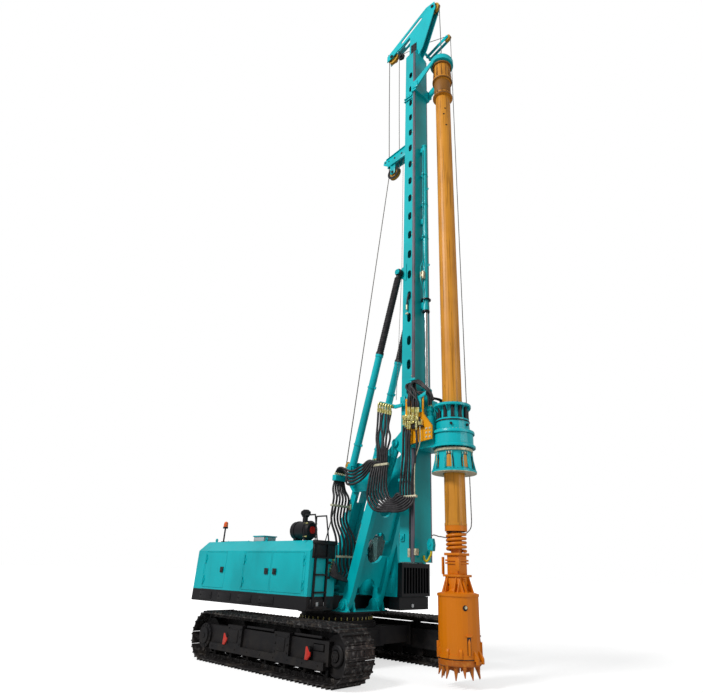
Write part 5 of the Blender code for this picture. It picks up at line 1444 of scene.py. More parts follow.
@dataclass
class CabDress:
    """Glass with its seals, the wiper, lamps, console and side panel.

    Attributes:
        rear_x: The cab's rear face.
        front_x: Its front face.
        inner_y: Its side towards the boom.
        outer_y: Its side with the door.
        top_z: Its roof.
        sill_z: The side windows' lower edge.
        post: Width of its posts.
    """

    rear_x: float = -0.6
    front_x: float = 1.33
    inner_y: float = 0.54
    outer_y: float = 1.555
    top_z: float = 3.1
    sill_z: float = 1.72
    post: float = 0.09

    def build(self) -> None:
        """Builds every piece of the cab."""
        self.side_panes()
        self.front_pane()
        self.roof_fittings()
        self.cabin()
        self.outside()

    def pane(self, made: Shape, seal: Shape, axis: Axis, at: float, low: Flat, high: Flat) -> None:
        """Builds one flat pane with its rubber seal.

        Args:
            made: The shape that takes the glass.
            seal: The shape that takes the rubber.
            axis: The axis across the pane.
            at: The middle of the pane on that axis.
            low: Lowest corner in the pane's plane, as Shape.prism takes it.
            high: Highest corner in the pane's plane.
        """
        (a0, b0), (a1, b1) = low, high
        made.prism(axis, [(a0, b0), (a1, b0), (a1, b1), (a0, b1)], at - 0.003, at + 0.003)
        rim = 0.022
        for c0, d0, c1, d1 in (
            (a0, b0, a1, b0 + rim),
            (a0, b1 - rim, a1, b1),
            (a0, b0 + rim, a0 + rim, b1 - rim),
            (a1 - rim, b0 + rim, a1, b1 - rim),
        ):
            seal.prism(axis, [(c0, d0), (c1, d0), (c1, d1), (c0, d1)], at - 0.012, at + 0.012)

    def side_panes(self) -> None:
        """Builds the flat panes of the sides, the rear, the roof and the door."""
        head = self.top_z - 0.26
        gap = 0.001
        glass, seal = Shape(), Shape()
        inner, outer = self.inner_y + 0.025, self.outer_y - 0.025
        self.pane(
            glass, seal, Y, inner, (self.rear_x + 0.14 + gap, self.sill_z + gap), (0.3 - gap, head - gap)
        )
        self.pane(
            glass, seal, Y, inner, (0.38 + gap, self.sill_z + gap), (self.front_x - 0.22 - gap, head - gap)
        )
        self.pane(
            glass, seal, Y, outer, (self.rear_x + 0.14 + gap, self.sill_z + gap), (-0.2 - gap, head - gap)
        )
        low, high = (
            (self.inner_y + self.post + gap, self.sill_z + 0.2 + gap),
            (self.outer_y - self.post - gap, head - 0.05 - gap),
        )
        self.pane(glass, seal, X, self.rear_x + 0.025, low, high)
        low, high = (0.2 + gap, self.inner_y + 0.22 + gap), (0.85 - gap, self.outer_y - 0.22 - gap)
        self.pane(glass, seal, Z, self.top_z - 0.025, low, high)
        glass.finish("cab_panes", GLASS, "upper")
        seal.finish("cab_seals", RUBBER, "upper")
        glass, seal = Shape(), Shape()
        x0, x1 = -0.1 + 0.006, 1.12 - 0.006
        self.pane(
            glass,
            seal,
            Y,
            outer,
            (x0 + 0.08 + gap, self.sill_z + gap),
            (x1 - 0.08 - gap, 2.92 - 0.09 - gap),
        )
        self.pane(
            glass,
            seal,
            Y,
            outer,
            (x0 + 0.45 + gap, 1.46 + gap),
            (x1 - 0.08 - gap, self.sill_z - 0.06 - gap),
        )
        glass.finish("door_panes", GLASS, "cab_door")
        seal.finish("door_seals", RUBBER, "cab_door")
        grip = Shape()
        y = self.outer_y
        grip.block((0.94, y - 0.002, 1.58), (1.06, y + 0.014, 1.68), 0.004)
        grip.bar((0.96, y + 0.028, 1.63), (1.05, y + 0.028, 1.63), 0.01, 12)
        grip.finish("door_grip", RUBBER, "cab_door")

    def front_pane(self) -> None:
        """Builds the bent front glass, its seals and the wiper."""
        glass, seal = Shape(), Shape()
        knee, head = 1.92, self.top_z - 0.26
        y0, y1 = self.inner_y + self.post + 0.001, self.outer_y - self.post - 0.001
        lean = 0.1 * (head - knee) / (self.top_z - 0.22 - knee)
        x = self.front_x - 0.028
        low = [(x, 1.422), (x, knee), (x - 0.006, knee), (x - 0.006, 1.422)]
        glass.prism(Y, low, y0, y1)
        high = [
            (x, knee + 0.008), (x - lean, head - 0.002), (x - lean - 0.006, head - 0.002),
            (x - 0.006, knee + 0.008),
        ]
        glass.prism(Y, high, y0, y1)
        glass.finish("front_panes", GLASS, "upper")
        for outline in (
            [(x + 0.01, 1.422), (x + 0.01, 1.445), (x - 0.016, 1.445), (x - 0.016, 1.422)],
            [
                (x + 0.01, knee - 0.016), (x + 0.008, knee + 0.02), (x - 0.016, knee + 0.02),
                (x - 0.016, knee - 0.016),
            ],
            [
                (x - lean + 0.012, head - 0.026), (x - lean + 0.01, head - 0.002),
                (x - lean - 0.014, head - 0.002), (x - lean - 0.014, head - 0.026),
            ],
        ):
            seal.prism(Y, outline, y0, y1)
        seal.finish("front_seals", RUBBER, "upper")
        wiper = Shape()
        wiper.bar((x + 0.012, 1.3, knee + 0.05), (x - 0.03, 1.08, knee + 0.5), 0.008, 8)
        wiper.bar((x + 0.004, 1.2, knee + 0.06), (x - 0.054, 0.96, knee + 0.62), 0.006, 8)
        wiper.bar((x + 0.001, 1.3, knee + 0.05), (x + 0.024, 1.3, knee + 0.05), 0.018, 12)
        wiper.finish("wiper", RUBBER, "upper")

    def roof_fittings(self) -> None:
        """Builds the work lamps under the roof and the dark strip round its window."""
        made = Shape()
        made.block(
            (-0.42, self.inner_y + 0.2, self.top_z - 0.002),
            (0.12, self.outer_y - 0.2, self.top_z - 0.0005),
            0.0,
        )
        for y in (self.inner_y + 0.14, self.outer_y - 0.14):
            made.bar((1.03, y, self.top_z - 0.14), (1.1, y, self.top_z - 0.15), 0.048, 20)
        made.finish("lamp_bodies", BLACK, "upper")
        face = Shape()
        for y in (self.inner_y + 0.14, self.outer_y - 0.14):
            face.bar((1.098, y, self.top_z - 0.15), (1.106, y, self.top_z - 0.151), 0.04, 20)
        face.finish("lamp_faces", SILVER, "upper")

    def cabin(self) -> None:
        """Builds the console, levers, screen, pedals and floor mat inside the cab."""
        made = Shape()
        middle = (self.inner_y + self.outer_y) / 2
        floor = 1.352
        made.block((-0.5, self.inner_y + 0.08, floor), (1.22, self.outer_y - 0.08, floor + 0.012), 0.004)
        made.block((0.98, middle - 0.36, floor + 0.02), (1.2, middle + 0.2, floor + 0.14), 0.02)
        for y in (middle - 0.36, middle + 0.36):
            made.bar((0.26, y, floor + 0.62), (0.28, y, floor + 0.76), 0.014, 12)
            made.ball((0.283, y, floor + 0.79), 0.032, (1, 1, 1.3))
        made.bar((1.05, middle - 0.4, floor + 0.1), (1.08, middle - 0.4, floor + 0.78), 0.015, 12)
        made.block((1.05, middle - 0.46, floor + 0.74), (1.08, middle - 0.26, floor + 0.92), 0.008)
        for y in (middle - 0.1, middle + 0.1):
            made.bar((0.8, y, floor + 0.01), (0.86, y, floor + 0.36), 0.01, 10)
            made.ball((0.862, y, floor + 0.37), 0.02)
        made.finish("cabin_controls", RUBBER, "upper")

    def outside(self) -> None:
        """Builds the raised panel by the boom and the foot of the handrail."""
        teal = Shape()
        y = self.inner_y
        teal.block((0.3, y - 0.012, 1.36), (1.18, y + 0.002, 1.66), 0.006)
        teal.block((0.4, y - 0.02, 1.42), (0.98, y - 0.01, 1.6), 0.006)
        teal.finish("cab_side_panel", TEAL, "upper")
        rails = Shape()
        x = 1.17
        rails.bar((x, self.outer_y + 0.001, 1.5), (x, self.outer_y + 0.001, 1.52), 0.01, 10)
        rails.finish("rail_feet", BLACK, "upper")


@dataclass
class PinCaps:
    """Bolted caps on the ends of the large pins.

    Attributes:
        thickness: Thickness of a cap.
        bolts: Bolts on a cap.
    """

    thickness: float = 0.022
    bolts: int = 4

    PLACES = (
        ("upper", (0.78, 1.14), 0.602, 0.08),
        ("boom", (1.48, 3.3), 0.551, 0.085),
        ("cradle", (0.62, 3.6), 0.261, 0.075),
        ("cradle", TILT_FOOT, 0.451, 0.07),
        ("mast", (1.94, 4.39), 0.337, 0.085),
        ("mast", TILT_HEAD, 0.436, 0.075),
    )

    def build(self) -> None:
        """Builds a pair of caps for each pin."""
        for number, (body, centre, reach, radius) in enumerate(self.PLACES):
            made = Shape()
            for side in (-1, 1):
                start, end = side * reach, side * (reach + self.thickness)
                made.bar((centre[0], start, centre[1]), (centre[0], end, centre[1]), radius, 28)
                made.bar(
                    (centre[0], end, centre[1]),
                    (centre[0], end + side * 0.008, centre[1]),
                    radius * 0.38,
                    20,
                )
                for dx, dz in circle(radius * 0.7, self.bolts, 0.5):
                    made.bolt((centre[0] + dx, end, centre[1] + dz), Y, side, 0.012)
            made.finish(f"pin_caps_{number}", TEAL, body)


@dataclass
class CradleDress:
    """The valve block, the hose clamps and the fittings round the tilting triangle.

    Attributes:
        plate_y: The triangle's outer face.
        clamp_y: The middle of the hose clamps.
    """

    plate_y: float = 0.2605
    clamp_y: float = -0.5

    def build(self) -> None:
        """Builds the pieces."""
        clamps = Shape()
        clamps.block((1.38, self.clamp_y - 0.035, 3.885), (1.9, self.clamp_y + 0.035, 3.935), 0.008)
        for x in (1.5, 1.66):
            clamps.block((x - 0.03, self.clamp_y + 0.02, 3.895), (x + 0.03, -self.plate_y, 3.925), 0.003)
        for i in range(5):
            clamps.bolt((1.42 + i * 0.11, self.clamp_y, 3.935), Z, 1, 0.01)
        clamps.finish("cradle_clamp", CLAMP, "cradle")
        block = Shape()
        block.block((1.36, -0.4, 3.98), (1.72, -self.plate_y, 4.14), 0.01)
        block.block((0.27, -0.66, 3.66), (0.4, -0.3, 3.79), 0.01)
        block.block((0.38, -0.34, 3.68), (0.62, -self.plate_y, 3.77), 0.006)
        block.finish("cradle_blocks", TEAL, "cradle")
        ports = Shape()
        for i in range(5):
            ports.bar((1.4 + i * 0.07, -0.39, 4.06), (1.4 + i * 0.07, -0.45, 4.06), 0.022, 6)
        for i in range(6):
            y = -0.63 + i * PORT_PITCH
            ports.bar((0.335, y, 3.785), (0.335, y, 3.83), 0.021, 6)
            ports.bar((0.335, y, 3.83), (0.37, y, 3.86), 0.016, 12)
            ports.bar((0.335, y, 3.665), (0.335, y, 3.62), 0.021, 6)
        ports.finish("cradle_ports", ZINC, "cradle")
        barrels = Shape()
        lean = math.atan2(TILT_HEAD[0] - TILT_FOOT[0], TILT_HEAD[1] - TILT_FOOT[1])
        turn = Matrix.Rotation(lean, 4, "Y")
        for y in (-TILT_SPREAD, TILT_SPREAD):
            for share in (0.18, 0.62):
                x, z = along(TILT_FOOT, (1.487, 6.99), share)
                ring = Shape()
                ring.hoop(Z, (0, 0, 0), (0.088, 0.105), (-0.02, 0.02), 28)
                ring.block((0.095, -0.015, -0.03), (0.15, 0.015, 0.03), 0.005)
                barrels.stamp(ring, [Matrix.Translation((x, y, z)) @ turn])
        barrels.finish("barrel_rings", TEAL, "tilt_barrels")


@dataclass
class MastDress:
    """Flange bolts and ribs, hose brackets, clamps and the feed cylinder's fittings.

    Attributes:
        back_x: The mast's rear face.
        front_x: Its front face.
        side_y: Its side.
        flange_y: Outer edge of the bolted flanges.
        top_flange: Upper face of the flange under the head, which is narrower.
        feed_x: Axis of the feed cylinder.
    """

    back_x: float = 2.06
    front_x: float = 2.47
    side_y: float = 0.27
    flange_y: float = 0.305
    top_flange: float = 17.141
    feed_x: float = 2.6

    def build(self) -> None:
        """Builds the pieces."""
        self.flange_bolts()
        self.ribs()
        self.brackets()
        self.feed_bands()
        self.foot_fittings()

    def flange_bolts(self) -> None:
        """Builds the bolts over and under each flange."""
        made = Shape()
        for z, way in ((3.611, 1), (3.549, -1), (15.081, 1), (15.191, 1), (15.049, -1), (self.top_flange, 1)):
            y = self.flange_y - 0.017 if z < self.top_flange else 0.245
            for side in (-1, 1):
                for i in range(5):
                    made.bolt((2.09 + i * 0.056, side * y, z), Z, way, 0.0115)
            if z < self.top_flange:
                for i in range(7):
                    made.bolt((self.back_x - 0.0175, -0.24 + i * 0.08, z), Z, way, 0.0115)
        made.finish("flange_bolts", BLACK, "mast")

    def ribs(self) -> None:
        """Builds the upright ribs that stiffen the flanges."""
        made = Shape()
        for z, reach in ((3.611, 0.14), (3.549, -0.14), (15.049, -0.12), (15.191, 0.12)):
            for side in (-1, 1):
                y0, y1 = side * self.side_y, side * (self.flange_y - 0.004)
                for x in (2.118, 2.23, 2.342):
                    made.prism(
                        X, [(y0, z), (y1, z), (y1, z + reach * 0.2), (y0, z + reach)], x - 0.005, x + 0.005
                    )
            for y in (-0.2, -0.04, 0.12):
                x0, x1 = self.back_x, self.back_x - 0.031
                made.prism(
                    Y, [(x0, z), (x1, z), (x1, z + reach * 0.2), (x0, z + reach)], y - 0.005, y + 0.005
                )
        made.finish("flange_ribs", TEAL, "mast")

    def brackets(self) -> None:
        """Builds the hose bracket behind the mast with its elbows, and the lower clamp."""
        plate = Shape()
        plate.block((2.08, -0.345, 5.2), (2.22, -0.2705, 5.43), 0.006)
        fin = [(1.49, 5.3), (1.47, 5.43), (1.96, 5.26), (2.16, 5.26), (2.16, 5.18), (1.95, 5.17)]
        plate.prism(Y, fin, -0.38, -0.35, 0.003)
        for x in (2.12, 2.18):
            plate.bolt((x, -0.345, 5.31), Y, -1, 0.012)
        plate.finish("hose_bracket", TEAL, "mast")
        elbows = Shape()
        bends = []
        for i in range(6):
            x, z = 1.5 + i * ELBOW_PITCH, 5.345 - ELBOW_FALL * i
            elbows.bar((x, -0.37, z), (x, -0.425, z), 0.026, 6)
            elbows.bar((x - 0.012, -0.44, z - 0.1), (x - 0.016, -0.44, z - 0.2), 0.029, 12)
            elbows.bar((x - 0.012, -0.44, z - 0.1), (x - 0.014, -0.44, z - 0.15), 0.033, 6)
            bends.append([
                (x + 0.012, -0.39, z), (x + 0.006, -0.43, z + 0.028), (x - 0.006, -0.448, z - 0.01)
            ])
            bends[-1].append((x - 0.012, -0.44, z - 0.11))
        elbows.finish("bracket_unions", ZINC, "mast")
        Line("bracket_elbows", ZINC, 0.023, 4).ride(bends, "mast")
        clamp = Shape()
        clamp.block((2.22, -0.535, 3.165), (2.7, -0.465, 3.215), 0.008)
        clamp.block((2.27, -0.47, 3.17), (2.35, -0.2705, 3.21), 0.003)
        for i in range(5):
            clamp.bolt((2.26 + i * 0.1, -0.5, 3.165), Z, -1, 0.01)
        clamp.block((2.34, -0.345, 2.06), (2.39, -0.2705, 2.22), 0.006)
        clamp.block((2.47, -0.3, 2.1), (2.52, -0.2, 2.22), 0.006)
        clamp.finish("mast_clamps", CLAMP, "mast")
        pipe = Line("mast_pipe", RUBBER, 0.016, 3)
        pipe.ride([[(2.365, -0.305, 2.2), (2.365, -0.305, 2.7), (2.365, -0.305, 3.16)]], "mast")

    def feed_bands(self) -> None:
        """Builds the feed cylinder's end cap, bands, valve and lugs."""
        made = Shape()
        x = self.feed_x
        made.bar((x, 0, 13.049), (x, 0, 13.085), 0.082, 28)
        for z in (9.85, 10.95, 12.0):
            made.hoop(Z, (x, 0, z), (0.069, 0.084), (-0.035, 0.035), 28)
            made.block((self.front_x + 0.0005, -0.035, z - 0.03), (x - 0.07, 0.035, z + 0.03), 0.004)
            for side in (-1, 1):
                made.block(
                    (x - 0.02, side * 0.1 - 0.022, z - 0.03),
                    (x + 0.02, side * 0.1 + 0.022, z + 0.03),
                    0.004,
                )
                made.bolt((x + 0.02, side * 0.102, z), X, 1, 0.012)
        for z in (8.95, 11.45):
            made.hoop(Y, (x + 0.1, 0, z), (0.018, 0.036), (-0.008, 0.008), 20)
        made.finish("feed_bands", TEAL, "mast")
        valve = Shape()
        valve.block((2.53, -0.155, 8.52), (2.64, -0.066, 8.74), 0.008)
        for z in (8.57, 8.69):
            valve.bar((2.585, -0.15, z), (2.585, -0.19, z), 0.02, 6)
        valve.finish("feed_valve", CLAMP, "mast")
        self.mast_hose()
        pipe = Line("feed_pipe", MAST_TEAL, 0.012, 3)
        pipe.ride(
            [
                [
                    (2.585, -0.185, 8.69), (2.6, -0.2, 8.85), (2.6, -0.105, 9.1), (2.6, -0.095, 11.0),
                    (2.6, -0.095, 12.9),
                ],
                [(2.585, -0.185, 8.57), (2.6, -0.2, 8.42), (2.6, -0.105, 8.2), (2.6, -0.092, 7.85)],
            ],
            "mast",
        )

    def mast_hose(self) -> None:
        """Builds the hose that leaves a hole in the mast's side, its union and the tabs beside the holes."""
        y = -self.side_y
        route = [
            (2.31, y + 0.05, 8.13), (2.3, y - 0.035, 8.1), (2.255, y - 0.05, 7.93), (2.235, y - 0.045, 7.8)
        ]
        Line("mast_hose", RUBBER, 0.022, 3).ride([route], "mast")
        made = Shape()
        made.bar((2.235, y - 0.045, 7.8), (2.232, y - 0.045, 7.67), 0.026, 14)
        made.block((2.2, y - 0.06, 7.545), (2.27, y - 0.0005, 7.585), 0.004)
        for z in (4.62, 5.9, 6.55, 9.9, 11.2, 12.4, 13.6, 14.6):
            made.block((2.355, y - 0.012, z), (2.385, y - 0.0005, z + 0.022), 0.003)
        made.finish("mast_tabs", CLAMP, "mast")
        dark = Shape()
        collar = ((0.058, 7.6), (0.096, 7.6), (0.096, 7.635), (0.09, 7.645), (0.058, 7.645))
        dark.turned(Z, collar, (self.feed_x, 0, 0), 32)
        dark.hoop(Z, (2.6, 0, 0), (0.068, 0.128), (7.93, 7.955), 32)
        dark.finish("feed_collars", BLACK, "mast")

    def foot_fittings(self) -> None:
        """Builds the lugs on the mast's foot."""
        made = Shape()
        made.block((2.1, -0.3, 2.36), (2.2, -0.2705, 2.5), 0.005)
        made.bar((2.15, -0.2705, 2.43), (2.15, -0.335, 2.43), 0.03, 16)
        for y in (-0.17, 0.17):
            made.prism(
                Y, [(2.472, 2.06), (2.53, 2.08), (2.53, 2.16), (2.472, 2.2)], y - 0.012, y + 0.012, 0.002
            )
        made.finish("foot_lugs", TEAL, "mast")


@dataclass
class HeadDress:
    """Pin ends, rope keepers, bolted plates, ribs and the second pulley of the mast's head.

    Attributes:
        cheek_y: Outer face of the head's cheeks.
    """

    cheek_y: float = 0.1155

    def build(self) -> None:
        """Builds the pieces."""
        made = Shape()
        for x, z in (TOP_PULLEY, REAR_PULLEY):
            for side in (-1, 1):
                made.bar((x, side * 0.125, z), (x, side * 0.15, z), 0.06, 20)
                for dx, dz in circle(0.042, 3):
                    made.bolt((x + dx, side * 0.15, z + dz), Y, side, 0.008)
        for x, z in ((2.8, 19.13), (3.15, 18.75), (1.1, 18.2), (1.52, 18.12)):
            made.bar((x, -0.12, z), (x, 0.12, z), 0.014, 12)
        for side in (-1, 1):
            y0, y1 = sorted((side * self.cheek_y, side * (self.cheek_y + 0.012)))
            for z in (17.3, 17.44, 17.58, 17.72):
                made.bolt((2.2, y0 if side < 0 else y1, z), Y, side, 0.013)
                made.bolt((2.34, y0 if side < 0 else y1, z), Y, side, 0.013)
            made.block((2.15, y0, 17.22), (2.39, y1, 17.8), 0.004)
        made.finish("head_fittings", BLACK, "mast")
        ribs = Shape()
        for side in (-1, 1):
            y0, y1 = side * self.cheek_y, side * 0.262
            for x in (2.12, 2.27, 2.42):
                ribs.prism(X, [(y0, 17.14), (y1, 17.14), (y1, 17.17), (y0, 17.42)], x - 0.007, x + 0.007)
        ribs.finish("head_ribs", TEAL, "mast")
        rims = Shape()
        x, z = SECOND_PULLEY
        rims.hoop(Y, (x, 0, z), (0.055, 0.12), (-0.035, 0.035), 28)
        rims.bar((x, -0.088, z), (x, 0.088, z), 0.056, 20)
        rims.finish("second_pulley", BLACK, "mast")


@dataclass
class DriveDress:
    """Bolt rings, columns, openings, motors and fittings of the rotary drive.

    Attributes:
        plate_y: Outer face of the side plates.
    """

    plate_y: float = 0.4805

    def build(self) -> None:
        """Builds the pieces."""
        self.bolt_rings()
        self.sleeve_pieces()
        self.bell_openings()
        self.plate_pieces()
        self.motors()

    def ring_of_bolts(self, made: Shape, radius: float, z: float, way: int, count: int, size: float) -> None:
        """Adds a ring of bolts round the kelly's axis.

        Args:
            made: The shape that takes them.
            radius: Radius of the ring.
            z: The face that they stand on.
            way: 1 for bolts that stand up, -1 for bolts that hang.
            count: How many there are.
            size: Half a bolt's width.
        """
        for x, y in circle(radius, count, 0.5):
            made.bolt((KELLY_X + x, y, z), Z, way, size)

    def bolt_rings(self) -> None:
        """Builds the bolts of the gear case and its lifting eyes."""
        made = Shape()
        self.ring_of_bolts(made, 0.395, 4.5005, 1, 30, 0.0125)
        self.ring_of_bolts(made, 0.405, 4.1495, -1, 30, 0.0125)
        made.hoop(Z, (KELLY_X, 0, 0), (0.355, 0.372), (4.7, 4.72), 48)
        for angle in (-60, 60, 0):
            turn = about_kelly(angle)
            made.bar(turn @ Vector((0.345, 0, 4.62)), turn @ Vector((0.395, 0, 4.62)), 0.028, 16)
        made.finish("case_bolts", BLACK, "drive")
        rims = Shape()
        for low, r0, r1 in ((4.15, 0.447, 0.474), (4.44, 0.447, 0.462)):
            rims.turned(
                Z,
                ((r0, low), (r1, low), (r1, low + 0.04), (r0 + 0.006, low + 0.06), (r0, low + 0.06)),
                (KELLY_X, 0, 0),
                56,
            )
        rims.finish("case_rims", TEAL, "drive")
        studs = Shape()
        self.ring_of_bolts(studs, 0.425, 4.5005, 1, 36, 0.011)
        studs.finish("case_studs", CLAMP, "drive")

    def sleeve_pieces(self) -> None:
        """Builds the columns, rings and bolts that turn with the sleeve."""
        dark = Shape()
        for i in range(12):
            angle = math.radians(i * 30 + 6)
            x, y = KELLY_X + 0.315 * math.cos(angle), 0.315 * math.sin(angle)
            dark.bar((x, y, 4.7605), (x, y, 5.0295), 0.04, 20)
            dark.bar((x, y, 4.7605), (x, y, 4.8), 0.044, 20)
        self.ring_of_bolts(dark, 0.385, 5.0805, 1, 24, 0.0125)
        self.ring_of_bolts(dark, 0.335, 4.7605, 1, 12, 0.01)
        self.ring_of_bolts(dark, 0.442, 3.6905, 1, 20, 0.013)
        dark.finish("sleeve_columns", BLACK, "sleeve")
        ribs = Shape()
        for i in range(12):
            rib = Shape()
            rib.prism(Y, [(0.297, 5.0295), (0.405, 5.0295), (0.405, 5.01), (0.297, 4.9)], -0.006, 0.006)
            ribs.stamp(rib, [about_kelly(i * 30 + 15)])
        ribs.finish("sleeve_ribs", TEAL, "sleeve")
        cream = Shape()
        cream.turned(
            Z,
            ((0.365, 4.07), (0.408, 4.07), (0.412, 4.085), (0.412, 4.12), (0.365, 4.12)),
            (KELLY_X, 0, 0),
            48,
        )
        cream.hoop(Z, (KELLY_X, 0, 0), (0.245, 0.47), (3.64, 3.6495), 48)
        cream.finish("sleeve_rings", CLAMP, "sleeve")

    def bell_openings(self) -> None:
        """Builds the bell's openings as arched patches on its wall: black ones of painted shade for the
        openings' depth, and orange ones for the core behind them.
        """
        count = 7
        # the black patches are painted shade in the openings; the orange ones show the core behind
        for name, coat, half, top, out in (
            ("bell_painted_shade", BLACK, 14.0, 4.035, 0.003), ("bell_cores", ORANGE, 11.0, 3.985, 0.0045)
        ):
            made = Shape()
            for i in range(count):
                middle = math.tau * (i - 0.35) / count
                made.arch(((0.399, 3.69), (0.374, 4.13)), middle, math.radians(half), (3.735, top), out)
            made.finish(name, coat, "sleeve")
        legs, studs = Shape(), Shape()
        for i in range(count):
            middle = math.degrees(math.tau * (i - 0.35) / count)
            for y in (-0.118, 0.118):
                leg = Shape()
                leg.prism(
                    Y,
                    [(0.35, 4.055), (0.385, 4.055), (0.398, 3.9), (0.45, 3.6905), (0.35, 3.6905)],
                    y - 0.007,
                    y + 0.007,
                )
                legs.stamp(leg, [about_kelly(middle + 180 / count)])
            for shift in (-8, 0, 8):
                angle = math.radians(middle + shift)
                x, y = KELLY_X + 0.388 * math.cos(angle), 0.388 * math.sin(angle)
                studs.bar((x, y, 3.995), (x, y, 4.045), 0.014, 8)
        legs.finish("bell_legs", TEAL, "sleeve")
        studs.finish("bell_studs", CLAMP, "sleeve")

    def plate_pieces(self) -> None:
        """Builds the bolts, eyes and hose fittings on the side plates, with thin black patches of painted
        shade in the slots and in the eyes' holes.
        """
        bolts, dark, ports = Shape(), Shape(), Shape()
        for side in (-1, 1):
            y = side * self.plate_y
            for x in (2.96, 3.05):
                for z in (4.37, 4.46, 4.55):
                    bolts.bolt((x, y, z), Y, side, 0.019)
            for z in (4.36, 4.45, 4.54):
                bolts.bolt((2.68, y, z), Y, side, 0.019)
            ports.bar((2.5, y, 4.48), (2.5, y + side * 0.012, 4.48), 0.045, 24)
            for x in (2.4, 2.44):
                for z in (4.32, 5.22):
                    bolts.bolt((x, y, z), Y, side, 0.01)
            # thin black patches of painted shade in the oval slot and in the eye's hole
            oval = arc((2.62, 4.67), 0.045, 90, 270, 8) + arc((2.8, 4.67), 0.045, -90, 90, 8)
            dark.prism(Y, oval, *sorted((y - side * 0.002, y + side * 0.003)))
            dark.bar((2.78, y - side * 0.002, 4.99), (2.78, y + side * 0.003, 4.99), 0.032, 20)
            bolts.hoop(Y, (2.78, y, 4.99), (0.034, 0.052), (-0.004, 0.01), 24)
        ports.finish("side_ports", ZINC, "drive")
        bolts.finish("plate_bolts", CLAMP, "drive")
        self.manifold()
        dark.finish("plate_slot_shade", BLACK, "drive")

    def manifold(self) -> None:
        """Builds the block of valves and unions that the hoses meet on the right-hand plate."""
        y = -self.plate_y
        steel, dark = Shape(), Shape()
        for x, z, wide, high, deep in (
            (2.415, 4.86, 0.12, 0.085, 0.11), (2.52, 4.835, 0.13, 0.11, 0.085),
            (2.635, 4.8, 0.12, 0.12, 0.105),
            (2.74, 4.78, 0.1, 0.1, 0.09), (2.83, 4.69, 0.09, 0.12, 0.08), (2.6, 4.71, 0.17, 0.05, 0.095),
        ):
            steel.block((x - wide / 2, y - deep, z - high / 2), (x + wide / 2, y + 0.001, z + high / 2), 0.01)
        for i in range(6):
            x, lie, z = 2.5 + i * PORT_PITCH, -0.545 - 0.02 * (i % 2), 4.9 - 0.012 * i
            steel.bar((x, lie, z - 0.03), (x, lie, z + 0.155), 0.021, 6)
            steel.bar((x, lie, z + 0.06), (x, lie, z + 0.175), 0.026, 14)
        for x, z in ((2.375, 4.8), (2.435, 4.75), (2.5, 4.7), (2.56, 4.685), (2.74, 4.655)):
            steel.bar((x, -0.555, z + 0.04), (x, -0.555, z - 0.115), 0.024, 14)
            steel.bar((x, -0.555, z - 0.02), (x, -0.555, z - 0.075), 0.03, 6)
            steel.ball((x, -0.55, z + 0.045), 0.028)
        for x in (2.46, 2.58, 2.69):
            steel.bar((x, y - 0.04, 4.83), (x, -0.625, 4.83), 0.024, 6)
            steel.bar((x, -0.61, 4.83), (x + 0.03, -0.64, 4.76), 0.014, 8)
        dark.block((2.6, y - 0.075, 4.575), (2.72, y + 0.001, 4.665), 0.012)
        dark.bar((2.845, y - 0.1, 4.7), (2.845, y - 0.1, 4.8), 0.022, 14)
        dark.block((2.78, y - 0.065, 4.585), (2.9, y + 0.001, 4.625), 0.008)
        steel.finish("manifold_unions", ZINC, "drive")
        dark.finish("manifold_blocks", BLACK, "drive")
        plates = Shape()
        fin = [(2.66, 5.16), (2.66, 5.24), (2.98, 5.36), (2.98, 5.28)]
        plates.prism(Y, fin, y - 0.055, y - 0.04, 0.003)
        plates.block((2.68, y - 0.05, 5.02), (2.84, y + 0.001, 5.29), 0.006)
        plates.block((2.62, y - 0.012, 4.93), (2.84, y + 0.001, 5.06), 0.004)
        plates.finish("manifold_plates", TEAL, "drive")
        tabs = Shape()
        tabs.block((2.56, y - 0.07, 5.19), (2.67, y - 0.01, 5.26), 0.006)
        tabs.block((2.86, y - 0.022, 4.98), (2.895, y + 0.001, 5.27), 0.003)
        tabs.finish("manifold_tabs", YELLOW, "drive")

    def motors(self) -> None:
        """Builds the motors' tops, their ports and the hose post on the carriage."""
        made = Shape()
        for side in (-1, 1):
            made.bar((2.88, side * 0.24, 4.979), (2.88, side * 0.24, 5.03), 0.085, 24)
            made.block((2.82, side * 0.24 - 0.055, 5.02), (2.94, side * 0.24 + 0.055, 5.1), 0.012)
            for dx, dy in circle(0.066, 6):
                made.bolt((2.88 + dx, side * 0.24 + dy, 5.03), Z, 1, 0.009)
        made.block((2.395, -0.395, 5.398), (2.455, -0.335, 5.8), 0.006)
        made.block((2.385, -0.405, 5.74), (2.56, -0.325, 5.8), 0.008)
        made.finish("drive_motors", TEAL, "drive")
        ports = Shape()
        for side in (-1, 1):
            for x in (2.85, 2.91):
                ports.bar((x, side * 0.24, 5.095), (x, side * 0.24, 5.135), 0.019, 6)
        for i in range(5):
            ports.bar((2.41 + i * 0.033, -0.365, 5.735), (2.41 + i * 0.033, -0.365, 5.69), 0.014, 6)
        ports.finish("motor_ports", ZINC, "drive")


